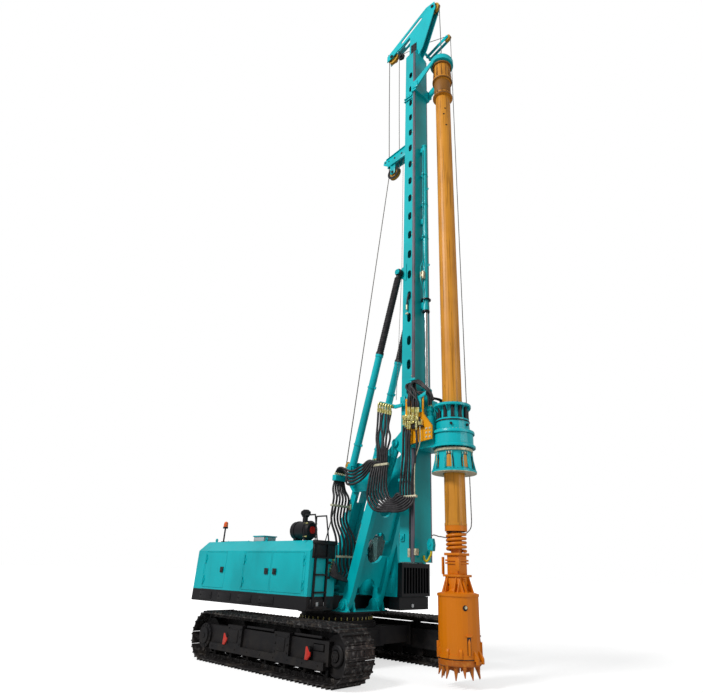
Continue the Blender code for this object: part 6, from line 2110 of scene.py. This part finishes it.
@dataclass
class KellyDress:
    """The kelly's strips, head and foot, and the swivel over it.

    Attributes:
        radius: Its radius.
    """

    radius: float = 0.216

    def build(self) -> None:
        """Builds the pieces."""
        self.strips()
        self.head()
        self.guide()
        self.foot()

    def strips(self) -> None:
        """Builds the drive strips along the kelly and black discs of painted shade for the holes under its
        head.
        """
        made = Shape()
        strip = Shape()
        strip.block((self.radius - 0.01, -0.03, 2.7), (self.radius + 0.003, 0.03, 14.5), 0.001)
        made.stamp(strip, [about_kelly(a) for a in (-100, 20, 140)])
        made.hoop(Z, (KELLY_X, 0, 0), (0.214, 0.224), (2.645, 2.69), 40)
        made.finish("kelly_strips", ORANGE, "kelly")
        # black discs of painted shade for the holes under the head
        marks = Shape()
        for angle, z in ((-38, 13.95), (-50, 13.72), (-32, 13.3)):
            turn = about_kelly(angle)
            marks.bar(turn @ Vector((0.2, 0, z)), turn @ Vector((0.2185, 0, z)), 0.026, 20)
        marks.finish("kelly_hole_shade", BLACK, "kelly")

    def head(self) -> None:
        """Builds the ribs and bolts of the kelly's head."""
        made = Shape()
        for i in range(12):
            turn = about_kelly(i * 30)
            rib = Shape()
            rib.prism(Y, [(0.238, 14.581), (0.286, 14.581), (0.286, 14.6), (0.238, 14.8)], -0.007, 0.007)
            rib.prism(Y, [(0.245, 15.291), (0.292, 15.291), (0.258, 15.9), (0.245, 15.9)], -0.008, 0.008)
            made.stamp(rib, [turn])
            spot = turn @ Matrix.Rotation(math.radians(15), 4, "Z") @ Vector((0.266, 0, 14.5805))
            made.bolt(tuple(spot), Z, 1, 0.012)
        made.finish("kelly_head_ribs", RUSTED, "kelly")
        collars = Shape()
        for low, r, high in ((14.532, 0.297, 0.055), (15.205, 0.302, 0.045), (15.86, 0.3, 0.04)):
            collars.hoop(Z, (KELLY_X, 0, 0), (0.23, r), (low, low + high), 48)
        collars.turned(Z, ((0.24, 14.7), (0.252, 14.74), (0.252, 15.1), (0.24, 15.18)), (KELLY_X, 0, 0), 40)
        collars.finish("kelly_collars", RUSTED, "kelly")
        swivel = Shape()
        x = KELLY_X
        swivel.bar((x, 0, 16.15), (x, 0, 16.24), 0.135, 28, 0.125)
        swivel.bar((x, 0, 16.24), (x, 0, 16.36), 0.092, 24)
        swivel.bar((x, 0, 16.36), (x, 0, 16.4), 0.11, 24)
        for side in (-1, 1):
            swivel.block(
                (x - 0.035, side * 0.05 - 0.014, 16.39), (x + 0.035, side * 0.05 + 0.014, 16.56), 0.01
            )
        swivel.bar((x, -0.085, 16.52), (x, 0.085, 16.52), 0.024, 16)
        swivel.finish("swivel", SILVER, "kelly_guide")

    def guide(self) -> None:
        """Builds the domed cap and the bolts of the kelly's guide."""
        made = Shape()
        profile = (
            (0.16, 16.1205), (0.35, 16.1205), (0.335, 16.165), (0.28, 16.215), (0.2, 16.245), (0.16, 16.25)
        )
        made.turned(Z, profile, (KELLY_X, 0, 0), 48)
        for dx, dy in circle(0.318, 16):
            made.bolt((KELLY_X + dx, dy, 16.16), Z, 1, 0.011)
        for side in (-1, 1):
            y0, y1 = sorted((side * 0.3505, side * 0.372))
            made.block((2.42, y0, 15.33), (2.62, y1, 15.57), 0.006)
            for x in (2.46, 2.58):
                for z in (15.38, 15.52):
                    made.bolt((x, y1 if side > 0 else y0, z), Y, side, 0.012)
        made.finish("guide_cap", TEAL, "kelly_guide")

    def foot(self) -> None:
        """Builds the kelly's foot with its spring, square stub and pin plates."""
        made = Shape()
        x = KELLY_X
        made.bar((x, 0, 2.54), (x, 0, 2.64), 0.222, 40)
        made.bar((x, 0, 2.12), (x, 0, 2.56), 0.112, 32)
        for z, half, high in ((2.105, 0.178, 0.045), (2.005, 0.165, 0.03), (1.955, 0.165, 0.03)):
            made.block((x - half, -half, z), (x + half, half, z + high), 0.006)
        made.block((x - 0.138, -0.138, 1.775), (x + 0.138, 0.138, 2.115), 0.008)
        made.block((x - 0.2, -0.2, 1.735), (x + 0.2, 0.2, 1.775), 0.004)
        made.block((x - 0.118, -0.118, 1.475), (x + 0.118, 0.118, 1.74), 0.006)
        for turn in range(4):
            side = Shape()
            side.prism(
                X, [(-0.155, 1.738), (0.155, 1.738), (0.262, 1.462), (-0.262, 1.462)], 0.15, 0.172, 0.002
            )
            for y in (-0.1, 0.1):
                side.prism(
                    Y, [(0.116, 1.735), (0.19, 1.735), (0.29, 1.463), (0.116, 1.463)], y - 0.008, y + 0.008
                )
            made.stamp(side, [about_kelly(90 * turn)])
        for low, high in (
            ((x + 0.1, -0.205, 1.84), (x + 0.19, -0.14, 2.04)),
            ((x - 0.19, 0.14, 1.775), (x - 0.1, 0.205, 2.06)),
        ):
            made.block(low, high, 0.006)
        made.block((x - 0.215, -0.215, 1.775), (x - 0.185, -0.155, 2.075), 0.006)
        for dx, dy in circle(0.172, 8):
            made.bolt((x + dx, dy, 1.7755), Z, 1, 0.013)
        made.finish("foot_core", BUCKET, "kelly", ["kelly_foot"])
        # black discs of painted shade in the pin holes, and one under the collar
        dark = Shape()
        for y in (-0.095, 0.095):
            dark.bar((x + 0.168, y, 1.6), (x + 0.1745, y, 1.6), 0.024, 18)
            dark.bar((x + y, -0.168, 1.6), (x + y, -0.1745, 1.6), 0.024, 18)
        dark.bar((x, 0, 2.53), (x, 0, 2.5405), 0.19, 32)
        dark.finish("foot_painted_shade", BLACK, "kelly")
        steps, laps = 18, 4.6
        coil: list[Point] = []
        for i in range(int(steps * laps) + 1):
            angle = math.tau * i / steps
            coil.append((
                x + 0.178 * math.cos(angle), 0.178 * math.sin(angle), 2.18 + 0.345 * i / (steps * laps)
            ))
        Line("foot_spring", BUCKET, 0.029, 4).ride([coil], "kelly")
        turns = [i * 0.75 for i in range(72)]
        spring = [
            (x + 0.2 + 0.024 * math.cos(a), 0.024 * math.sin(a) - 0.07, 1.47 + 0.0037 * i)
            for i, a in enumerate(turns)
        ]
        Line("pin_spring", BUCKET, 0.008, 2).ride([spring], "kelly")


@dataclass
class BucketDress:
    """Rims, brackets, latches and openings of the drilling bucket, and its gate with the fangs.

    Attributes:
        radius: Its radius.
    """

    radius: float = 0.385

    def build(self) -> None:
        """Builds the pieces."""
        self.shell()
        self.openings()
        self.gate()

    def shell(self) -> None:
        """Builds the rims, brackets, latch bar and step of the bucket's wall."""
        made = Shape()
        r = self.radius
        for z, high, out in ((1.415, 0.042, 0.012), (0.45, 0.06, 0.008)):
            made.hoop(Z, (KELLY_X, 0, 0), (r - 0.004, r + out), (z, z + high), 56)
        hoop = Shape()
        hoop.prism(
            Y,
            [(r - 0.006, 0.455), (r + 0.026, 0.455), (r + 0.026, 0.56), (r + 0.01, 0.6), (r - 0.006, 0.6)],
            -0.026,
            0.026,
            0.004,
        )
        made.stamp(hoop, [about_kelly(a) for a in (-88, -52, 92, 128, 164, 200, 236)])
        guard = Shape()
        guard.block((r - 0.006, -0.034, 0.44), (r + 0.03, 0.034, 0.69), 0.006)
        made.stamp(guard, [about_kelly(a) for a in (-140, 32)])
        latch = Shape()
        latch.block((r - 0.004, -0.058, 0.785), (r + 0.024, 0.058, 0.812), 0.004)
        latch.bar((r + 0.004, 0, 0.505), (r + 0.004, 0, 0.7), 0.026, 16)
        latch.bar((r + 0.004, 0, 0.7), (r + 0.004, 0, 0.755), 0.026, 16, 0.01)
        made.stamp(latch, [about_kelly(a) for a in (-28, 152)])
        seam = Shape()
        seam.block((r - 0.004, -0.004, 0.52), (r + 0.004, 0.004, 1.41), 0.001)
        made.stamp(seam, [about_kelly(a) for a in (-122, 58)])
        for i in range(8):
            spot = about_kelly(i * 45) @ Vector((0.33, 0, 1.4605))
            made.bolt(tuple(spot), Z, 1, 0.014)
        made.finish("bucket_fittings", BUCKET, "kelly")

    def openings(self) -> None:
        """Builds the vent holes, the latch's slot and the gap over the gate as thin black patches of painted
        shade, with pale discs of painted daylight in the vent holes.
        """
        r = self.radius
        dark, pale = Shape(), Shape()
        for angle in (-36, 144):
            root = about_kelly(angle) @ Vector((r, 0, 1.235))
            out = (root - Vector((KELLY_X, 0, 1.235))).normalized()
            side = Vector((-out.y, out.x, 0))
            # black disc of painted shade in each vent hole, with a pale disc of painted daylight seen through
            # it
            dark.bar(root - out * 0.004, root + out * 0.0035, 0.046, 28)
            middle = root + side * 0.014 + Vector((0, 0, 0.008))
            pale.bar(middle, middle + out * 0.004, 0.026, 24)
        # black patches of painted shade in the latch's slots and in the gap over the gate
        slot = Shape()
        slot.block((r - 0.004, -0.036, 0.492), (r + 0.0035, 0.036, 0.79), 0.001)
        dark.stamp(slot, [about_kelly(a) for a in (-28, 152)])
        dark.hoop(Z, (KELLY_X, 0, 0), (r - 0.004, r + 0.0095), (0.438, 0.449), 56)
        dark.finish("bucket_painted_shade", BLACK, "kelly")
        pale.finish("bucket_daylight", CLAMP, "kelly")

    def gate(self) -> None:
        """Builds the gate's rim and its fangs, which differ in length and lean."""
        made = Shape()
        r = self.radius
        made.turned(
            Z,
            ((0.05, 0.335), (r - 0.006, 0.335), (r + 0.006, 0.35), (r + 0.006, 0.42), (0.05, 0.42)),
            (KELLY_X, 0, 0),
            56,
        )
        for i, (out, low, lean) in enumerate((
            (0.375, 0.165, 0.03), (0.345, 0.129, 0.0), (0.37, 0.15, 0.022), (0.33, 0.135, -0.01),
            (0.38, 0.185, 0.034),
            (0.35, 0.14, 0.01), (0.372, 0.16, 0.026), (0.335, 0.129, 0.0), (0.378, 0.175, 0.03),
            (0.35, 0.145, 0.014),
            (0.368, 0.155, 0.024), (0.34, 0.132, 0.004), (0.376, 0.18, 0.028), (0.348, 0.142, 0.008),
        )):
            fang = Shape()
            tip = min(out + lean, 0.388)
            fang.bar((out - 0.045, 0, 0.35), (tip, 0, low), 0.056 if i % 2 else 0.047, 6, 0.009)
            fang.prism(
                Y,
                [(out - 0.085, 0.34), (out + 0.008, 0.34), (out + 0.004, 0.285), (out - 0.06, 0.285)],
                -0.03,
                0.03,
                0.005,
            )
            made.stamp(fang, [about_kelly(i * 360 / 14 + 9)])
        for angle, reach in ((-70, 0.23), (20, 0.16), (110, 0.23), (200, 0.16)):
            blade = Shape()
            blade.prism(
                Y,
                [(0.06, 0.34), (reach + 0.09, 0.34), (reach + 0.09, 0.255), (0.08, 0.215)],
                -0.014,
                0.014,
                0.004,
            )
            made.stamp(blade, [about_kelly(angle)])
        made.finish("gate_teeth", TEETH, "gate", ["bucket_gate"])


@dataclass
class WinchDress:
    """Rope on the drums and the auxiliary hook block."""

    def build(self) -> None:
        """Builds the rope layers and the block with its hook."""
        for body, centre, radius in (("main_drum", (-0.52, 1.8), 0.22), ("aux_drum", (-1.0, 1.62), 0.13)):
            made = Shape()
            coils = 22
            pitch = 0.54 / coils
            profile = [(radius - 0.002, -0.27), (radius - 0.002, 0.27)]
            for i in range(coils, 0, -1):
                profile += [(radius + 0.004, -0.27 + pitch * i), (radius + 0.022, -0.27 + pitch * (i - 0.5))]
            profile.append((radius + 0.004, -0.27))
            made.turned(Y, profile, (centre[0], 0, centre[1]), 48)
            made.finish("rope_layer_" + body, ROPE, body)
        block = Shape()
        outline = [(2.62, 2.21), (2.75, 2.18), (2.77, 2.3), (2.745, 2.42), (2.64, 2.42), (2.6, 2.33)]
        block.prism(Y, outline, -0.045, 0.045, 0.012)
        block.bar((2.685, -0.058, 2.31), (2.685, 0.058, 2.31), 0.03, 20)
        block.finish("hook_block", TEAL, "mast", ["aux_hook"])
        knots = [
            (2.685, 0, 2.22), (2.68, 0, 2.13), (2.645, 0, 2.08), (2.6, 0, 2.02), (2.545, 0, 2.0),
            (2.5, 0, 2.04), (2.49, 0, 2.1),
        ]
        Line("aux_hook_bill", HOOK_YELLOW, 0.022, 4).ride([knots], "mast")


@dataclass
class Gaiters:
    """The ribbed gaiters over the tilting cylinders' rods, and the heads over them.

    Attributes:
        start: How far up from the lower pins the gaiters begin.
        end: How far short of the upper pins they end.
    """

    start: float = 2.86
    end: float = 0.15

    def build(self) -> None:
        """Builds a gaiter and a head on each side."""
        foot, head = (Vector((x, 0, z)) for x, z in (TILT_FOOT, TILT_HEAD))
        way = (head - foot).normalized()
        folds = 44
        low, high = self.start, (head - foot).length - self.end
        step = (high - low) / folds
        rubber, rings = Shape(), Shape()
        for side in (-1, 1):
            profile = [(0.04, 0.0)]
            for i in range(folds):
                profile += [(0.08, i * step), (0.094, (i + 0.5) * step)]
            profile += [(0.08, high - low), (0.04, high - low)]
            shift = Matrix.Translation(foot + Vector((0, side * TILT_SPREAD, 0)))
            place = shift @ way.to_track_quat("Z", "Y").to_matrix().to_4x4()
            sleeve = Shape()
            sleeve.turned(Z, profile, (0, 0, low), 28)
            rubber.stamp(sleeve, [place])
            ring = Shape()
            ring.hoop(Z, (0, 0, low), (0.07, 0.101), (-0.035, 0.01), 28)
            rings.stamp(ring, [place])
        lower = foot + way * (low + 0.05)
        upper = head - way * (self.end + 0.05)
        rubber.span("tilt_gaiters", RUBBER, ("tilt_barrels", "tilt_rods"), tuple(lower), tuple(upper))
        rings.finish("gaiter_rings", SHOE_STEEL, "tilt_barrels")


@dataclass
class PulleyArm:
    """The open arm behind the mast that carries the middle pulley, in place of the plain one."""

    def build(self) -> None:
        """Builds the two channels, their end plate, spacers and cheeks, the pulley's pin and side rings, and
        black discs of painted shade in the channels' holes.
        """
        made, dark = Shape(), Shape()
        made.block((2.02, -0.18, 12.95), (2.058, 0.18, 13.55), 0.004)
        for side in (-1, 1):
            y0, y1 = sorted((side * 0.085, side * 0.1))
            web = [
                (2.04, 13.06), (2.04, 13.46), (1.16, 13.3), (1.06, 13.3), (1.03, 13.16), (1.24, 13.0),
                (1.36, 12.98),
            ]
            made.prism(Y, web, y0, y1, 0.002)
            y0, y1 = sorted((side * 0.085, side * 0.135))
            made.prism(Y, [(2.04, 13.45), (2.04, 13.465), (1.16, 13.305), (1.16, 13.29)], y0, y1)
            made.prism(Y, [(2.04, 13.055), (2.04, 13.07), (1.36, 12.985), (1.36, 12.97)], y0, y1)
            y0, y1 = sorted((side * 0.056, side * 0.086))
            made.prism(Y, [(1.3, 13.05), (1.52, 13.05), (1.5, 12.66), (1.33, 12.64)], y0, y1, 0.003)
            # black discs of painted shade in the holes of the channels' webs
            face = side * 0.1
            for x, z, r in (
                (1.12, 13.22, 0.034), (1.26, 13.2, 0.028), (1.5, 13.21, 0.036), (1.78, 13.24, 0.036)
            ):
                dark.bar((x, face - side * 0.004, z), (x, face + side * 0.0035, z), r, 20)
        for x, z in ((1.2, 13.14), (1.66, 13.22)):
            made.block((x - 0.012, -0.09, z - 0.09), (x + 0.012, 0.09, z + 0.09), 0.003)
        made.finish("pulley_arm", TEAL, "mast", ["mid_pulley_arm"])
        x, z = MIDDLE_PULLEY
        dark.bar((x, -0.115, z), (x, 0.115, z), 0.042, 20)
        for side in (-1, 1):
            y0, y1 = sorted((side * 0.046, side * 0.054))
            dark.hoop(Y, (x, 0, z), (0.15, 0.222), (y0, y1), 40)
        dark.finish("pulley_pin_and_hole_shade", BLACK, "mast")


@dataclass
class Ropes:
    """The hoist rope over its pulleys and the auxiliary rope down to its hook.

    Attributes:
        radius: Radius of the ropes.
    """

    radius: float = 0.013

    def build(self) -> None:
        """Lays the ropes."""
        guide = Shape()
        x, z = GUIDE_PULLEY
        groove = ((0.03, -0.028), (0.095, -0.028), (0.075, 0.0), (0.095, 0.028), (0.03, 0.028))
        guide.turned(Y, groove, (x, 0, z), 32)
        guide.bar((x, -0.065, z), (x, 0.065, z), 0.031, 20)
        guide.finish("guide_pulley", OCHRE, "cradle")
        arms = Shape()
        for side in (-1, 1):
            y0, y1 = sorted((side * 0.04, side * 0.056))
            outline = [(0.09, 4.06), (0.16, 4.15), (0.52, 4.02), (0.56, 3.9), (0.46, 3.86)]
            arms.prism(Y, outline, y0, y1, 0.003)
        arms.block((0.4, -0.22, 3.87), (0.52, 0.22, 3.93), 0.005)
        arms.finish("guide_arms", TEAL, "cradle")
        low = Line("hoist_rope_low", ROPE, self.radius, 3)
        low.span(
            [[(-0.735, 0, 1.84), (-0.35, 0, 2.97), (0.035, 0, 4.1)]],
            ("upper", "rear_link"),
            (-0.735, 0, 1.84),
            (0.035, 0, 4.1),
        )
        middle = Line("hoist_rope_middle", ROPE, self.radius, 3)
        middle.span(
            [[(0.036, 0, 4.12), (0.62, 0, 8.42), (1.2, 0, 12.71)]],
            ("cradle", "mast"),
            (0.036, 0, 4.12),
            (0.3, 0, 6.0),
        )
        over = [(1.2, 0, 12.7), (1.12, 0, 15.3), (1.055, 0, 17.99)]
        over += [(x, 0, z) for x, z in arc(REAR_PULLEY, 0.205, 165, 125, 3)]
        over += [(x, 0, z) for x, z in arc(TOP_PULLEY, 0.205, 118, 5, 6)]
        over += [(3.29, 0, 18.4)]
        Line("hoist_rope_high", ROPE, self.radius, 3).ride([over], "mast", smooth=False)
        hung = Line("hoist_rope_hung", ROPE, self.radius, 3)
        hung.span(
            [[(3.29, 0, 18.42), (3.3, 0, 17.5), (3.31, 0, 16.54)]],
            ("mast", "kelly_guide"),
            (3.29, 0, 18.4),
            (3.31, 0, 16.56),
        )
        down: list[Point] = [(1.62, 0, 12.71), (1.56, 0, 15.2), (1.515, 0, 17.78)]
        down += [(x, 0, z) for x, z in arc(SECOND_PULLEY, 0.105, 170, 70, 5)]
        down += [(2.45, 0.25, 18.02), (3.14, 0.5, 18.03)]
        down += [(x, 0.52, z) for x, z in arc((3.22, 17.9), 0.118, 80, 0, 5)]
        down += [(3.34, 0.52, 10.0), (3.345, 0.52, 2.75)]
        Line("aux_rope", ROPE, self.radius * 0.8, 3).ride([down], "mast", smooth=False)
        Line("limit_rope", ROPE, 0.006, 2).ride(
            [[(1.87, -0.12, 12.95), (1.88, -0.12, 9.0), (1.8, -0.16, 5.45)]], "mast", smooth=False
        )
        slack = [
            (3.345, 0.52, 2.76), (3.32, 0.5, 2.62), (3.2, 0.4, 2.5), (3.0, 0.25, 2.44), (2.82, 0.1, 2.46),
            (2.7, 0.0, 2.47), (2.69, 0.0, 2.4),
        ]
        Line("aux_rope_slack", ROPE, self.radius * 0.8, 3).ride([slack], "mast")


@dataclass
class Hoses:
    """The hose bundles from the hood to the drive.

    Attributes:
        radius: Radius of a hose.
    """

    radius: float = 0.025

    def build(self) -> None:
        """Lays every bundle and the clamps on the hood and the rear link."""
        self.clamps()
        self.from_hood()
        self.round_cradle()
        self.to_drive()
        self.on_drive()
        self.in_bay()

    def clamps(self) -> None:
        """Builds the clamp bars that the lower bundle passes."""
        made = Shape()
        made.block((0.585, -0.7695, 2.03), (0.655, -0.03, 2.075), 0.008)
        for i in range(7):
            made.bolt((0.62, -0.73 + i * 0.11, 2.075), Z, 1, 0.009)
        made.finish("hood_clamp", CLAMP, "upper")
        made = Shape()
        made.block((0.418, -0.8, 3.08), (0.488, -0.1955, 3.125), 0.008)
        made.block((0.4, -0.24, 3.04), (0.51, -0.1955, 3.165), 0.005)
        for i in range(6):
            made.bolt((0.453, -0.76 + i * 0.1, 3.125), Z, 1, 0.009)
        made.finish("link_clamp", CLAMP, "rear_link")

    def from_hood(self) -> None:
        """Lays the bundle from the valves over the ladder up to the triangle."""
        low, high = [], []
        for i in range(6):
            y, top = -0.7 + i * 0.115, -0.75 + i * 0.095
            start = (0.73, -0.88 - 0.015 * i, 1.96 - 0.05 * i)
            low.append([
                start,
                (0.8, -0.86, 1.8 - 0.03 * i),
                (0.72, y - 0.04, 1.76 - 0.015 * i),
                (0.625, y, 1.93),
                (0.62, y, 2.06),
            ])
            low[-1] += [(0.6, y - 0.02, 2.4), (0.46, top - 0.02, 2.8), (0.453, top, 3.1)]
            end = -0.63 + i * PORT_PITCH
            high.append([
                (0.453, top, 3.1), (0.46, top + 0.01, 3.28), (0.36, (top + end) / 2, 3.48),
                (0.335, end, 3.66),
            ])
        bundle = Line("hood_hoses", RUBBER, self.radius, 3)
        bundle.span(low, ("upper", "rear_link"), (0.62, -0.4, 2.06), (0.453, -0.4, 3.1))
        Line("link_hoses", RUBBER, self.radius, 3).ride(high, "rear_link")

    def round_cradle(self) -> None:
        """Lays the hoses from the triangle and the mast's bracket to the clamp by the mast."""
        across = []
        for i in range(5):
            y = -0.63 + i * PORT_PITCH
            x = 1.42 + i * 0.055
            across.append([
                (0.365, y, 3.855),
                (0.5, y - 0.03, 3.93 - 0.02 * i),
                (0.8, -0.56 - 0.02 * i, 3.84 - 0.075 * i),
                (1.1, -0.57, 3.9 - 0.075 * i),
            ])
            across[-1] += [(x - 0.03, -0.51, 4.02 - 0.01 * i), (x, -0.5, 3.91)]
        Line("cradle_hoses", RUBBER, self.radius, 3).ride(across, "cradle")
        hanging = []
        for i in range(6):
            x0, z0, x1 = 1.484 + i * ELBOW_PITCH, 5.15 - ELBOW_FALL * i, 1.55 + i * 0.058
            sway = 0.035 * math.sin(i * 2.3)
            hanging.append([
                (x0, -0.44, z0),
                (x0 + sway, -0.45 - 0.02 * (i % 2), z0 - 0.3),
                (x0 + 0.02 - sway, -0.49, 4.5),
                (x1 + 0.02, -0.505, 4.2),
                (x1, -0.5, 3.91),
            ])
        rising = Line("bracket_hoses", RUBBER, self.radius, 3)
        rising.span(hanging, ("mast", "cradle"), (1.8, -0.43, 5.12), (1.7, -0.5, 3.95))

    def to_drive(self) -> None:
        """Lays the hanging loop between the clamps and the run up to the drive's plate."""
        loops, risers = [], []
        for i in range(8):
            start, end = 1.86 - i * 0.062, 2.25 + i * 0.058
            deep = 3.16 - i * 0.035
            middle = (start + end) / 2
            sway = -0.52 - 0.012 * i
            loops.append([
                (start, -0.5, 3.91), (start + 0.005, sway, 3.6), (start + 0.04, sway, deep + 0.17),
                (middle, sway - 0.02, deep),
                (end - 0.02, sway, deep + 0.1), (end, -0.5, 3.2),
            ])
        Line("mast_loop_hoses", RUBBER, self.radius, 3).span(
            loops, ("cradle", "mast"), (1.7, -0.5, 3.91), (2.4, -0.5, 3.2)
        )
        tops = ((2.375, 4.685), (2.435, 4.635), (2.5, 4.585), (2.56, 4.57), (2.74, 4.54))
        for i, (x1, z1) in enumerate(tops):
            x0 = 2.27 + i * 0.075
            sway = 0.02 * math.sin(i * 1.9)
            risers.append([
                (x0, -0.5, 3.19),
                (x0 - 0.005, -0.505, 3.42),
                (x0 + (x1 - x0) * 0.5 + 0.03 + sway, -0.545, 3.42 + (z1 - 3.42) * 0.45),
                (x1 + sway, -0.56, z1 - 0.25), (x1, -0.555, z1 - 0.02),
            ])
        Line("riser_hoses", RUBBER, self.radius, 3).span(
            risers, ("mast", "drive"), (2.45, -0.5, 3.22), (2.7, -0.52, 4.2)
        )
        cable = [
            (2.655, -0.5, 3.19), (2.67, -0.53, 3.5), (2.72, -0.55, 3.95), (2.84, -0.56, 4.25),
            (2.845, -0.56, 4.6),
        ]
        Line("drive_cable", CLAMP, 0.01, 3).span(
            [cable], ("mast", "drive"), (2.45, -0.5, 3.22), (2.7, -0.52, 4.2)
        )

    def on_drive(self) -> None:
        """Lays the hoses from the carriage's post to the plate and the motors."""
        fan = []
        for i in range(6):
            x, z = 2.5 + i * PORT_PITCH, 5.065 - 0.012 * i
            top = 2.41 + (i % 5) * 0.033
            lie = -0.545 - 0.02 * (i % 2)
            fan.append([
                (top, -0.365, 5.7),
                (top + 0.01, -0.46 - 0.015 * i, 5.58),
                (top + 0.1 + 0.02 * i, -0.54 - 0.02 * (i % 3), 5.36),
                (x, lie - 0.01, z + 0.14),
                (x, lie, z),
            ])
        for i, x in enumerate((2.85, 2.91)):
            root = 2.542 - 0.03 * i
            fan.append([
                (root, -0.365, 5.7),
                (root + 0.03, -0.36, 5.5),
                (root + 0.16, -0.33, 5.38 + 0.06 * i),
                (x - 0.02, -0.27, 5.38),
                (x, -0.24, 5.13),
            ])
        for i in range(3):
            fan.append([
                (2.46 + 0.04 * i, -0.365, 5.72),
                (2.62 + 0.03 * i, -0.4, 5.66 + 0.02 * i),
                (2.84, -0.4, 5.5 + 0.03 * i),
                (2.98, -0.34, 5.33 + 0.02 * i),
                (3.02, -0.3, 5.2),
            ])
        Line("drive_hoses", RUBBER, self.radius, 3).ride(fan, "drive")
        across = [
            [
                (x, 0.24, 5.13), (x + 0.005, 0.22, 5.3), (x - 0.1, 0.0, 5.36), (x - 0.005, -0.2, 5.28),
                (x, -0.24, 5.13),
            ]
            for x in (2.852, 2.908)
        ]
        Line("motor_hoses", RUBBER, self.radius * 0.85, 3).ride(across, "drive")

    def in_bay(self) -> None:
        """Lays the hoses in the open bay from the valve bank to the winch and the hood."""
        runs = []
        for i in range(6):
            x = -0.16 + i * BAY_PITCH
            runs.append([
                (x, -0.57, 1.6),
                (x, -0.57, 1.68),
                (x + 0.02, -0.62, 1.74),
                (x + 0.06, -0.72, 1.7 - 0.02 * i),
                (x + 0.08, -0.755, 1.6 - 0.02 * i),
            ])
        Line("bay_hoses", RUBBER, self.radius, 3).ride(runs, "upper")


def main() -> None:
    """Builds the scene in order; each piece logs its faces as it is made."""
    logging.basicConfig(level=logging.INFO, format="%(name)s %(message)s")
    bpy.context.scene.view_settings.view_transform = "Standard"
    for old in list(bpy.data.objects):
        bpy.data.objects.remove(old)
    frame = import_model()
    finish_solids(frame["nodes"])
    Studio().build()
    for part in (
        TrackChain(),
        Undercarriage(),
        Deck(),
        HoodDress(),
        CabDress(),
        PinCaps(),
        CradleDress(),
        MastDress(),
        HeadDress(),
        DriveDress(),
        KellyDress(),
        BucketDress(),
        WinchDress(),
        Gaiters(),
        PulleyArm(),
        Ropes(),
        Hoses(),
    ):
        part.build()


if __name__ == "__main__":
    main()
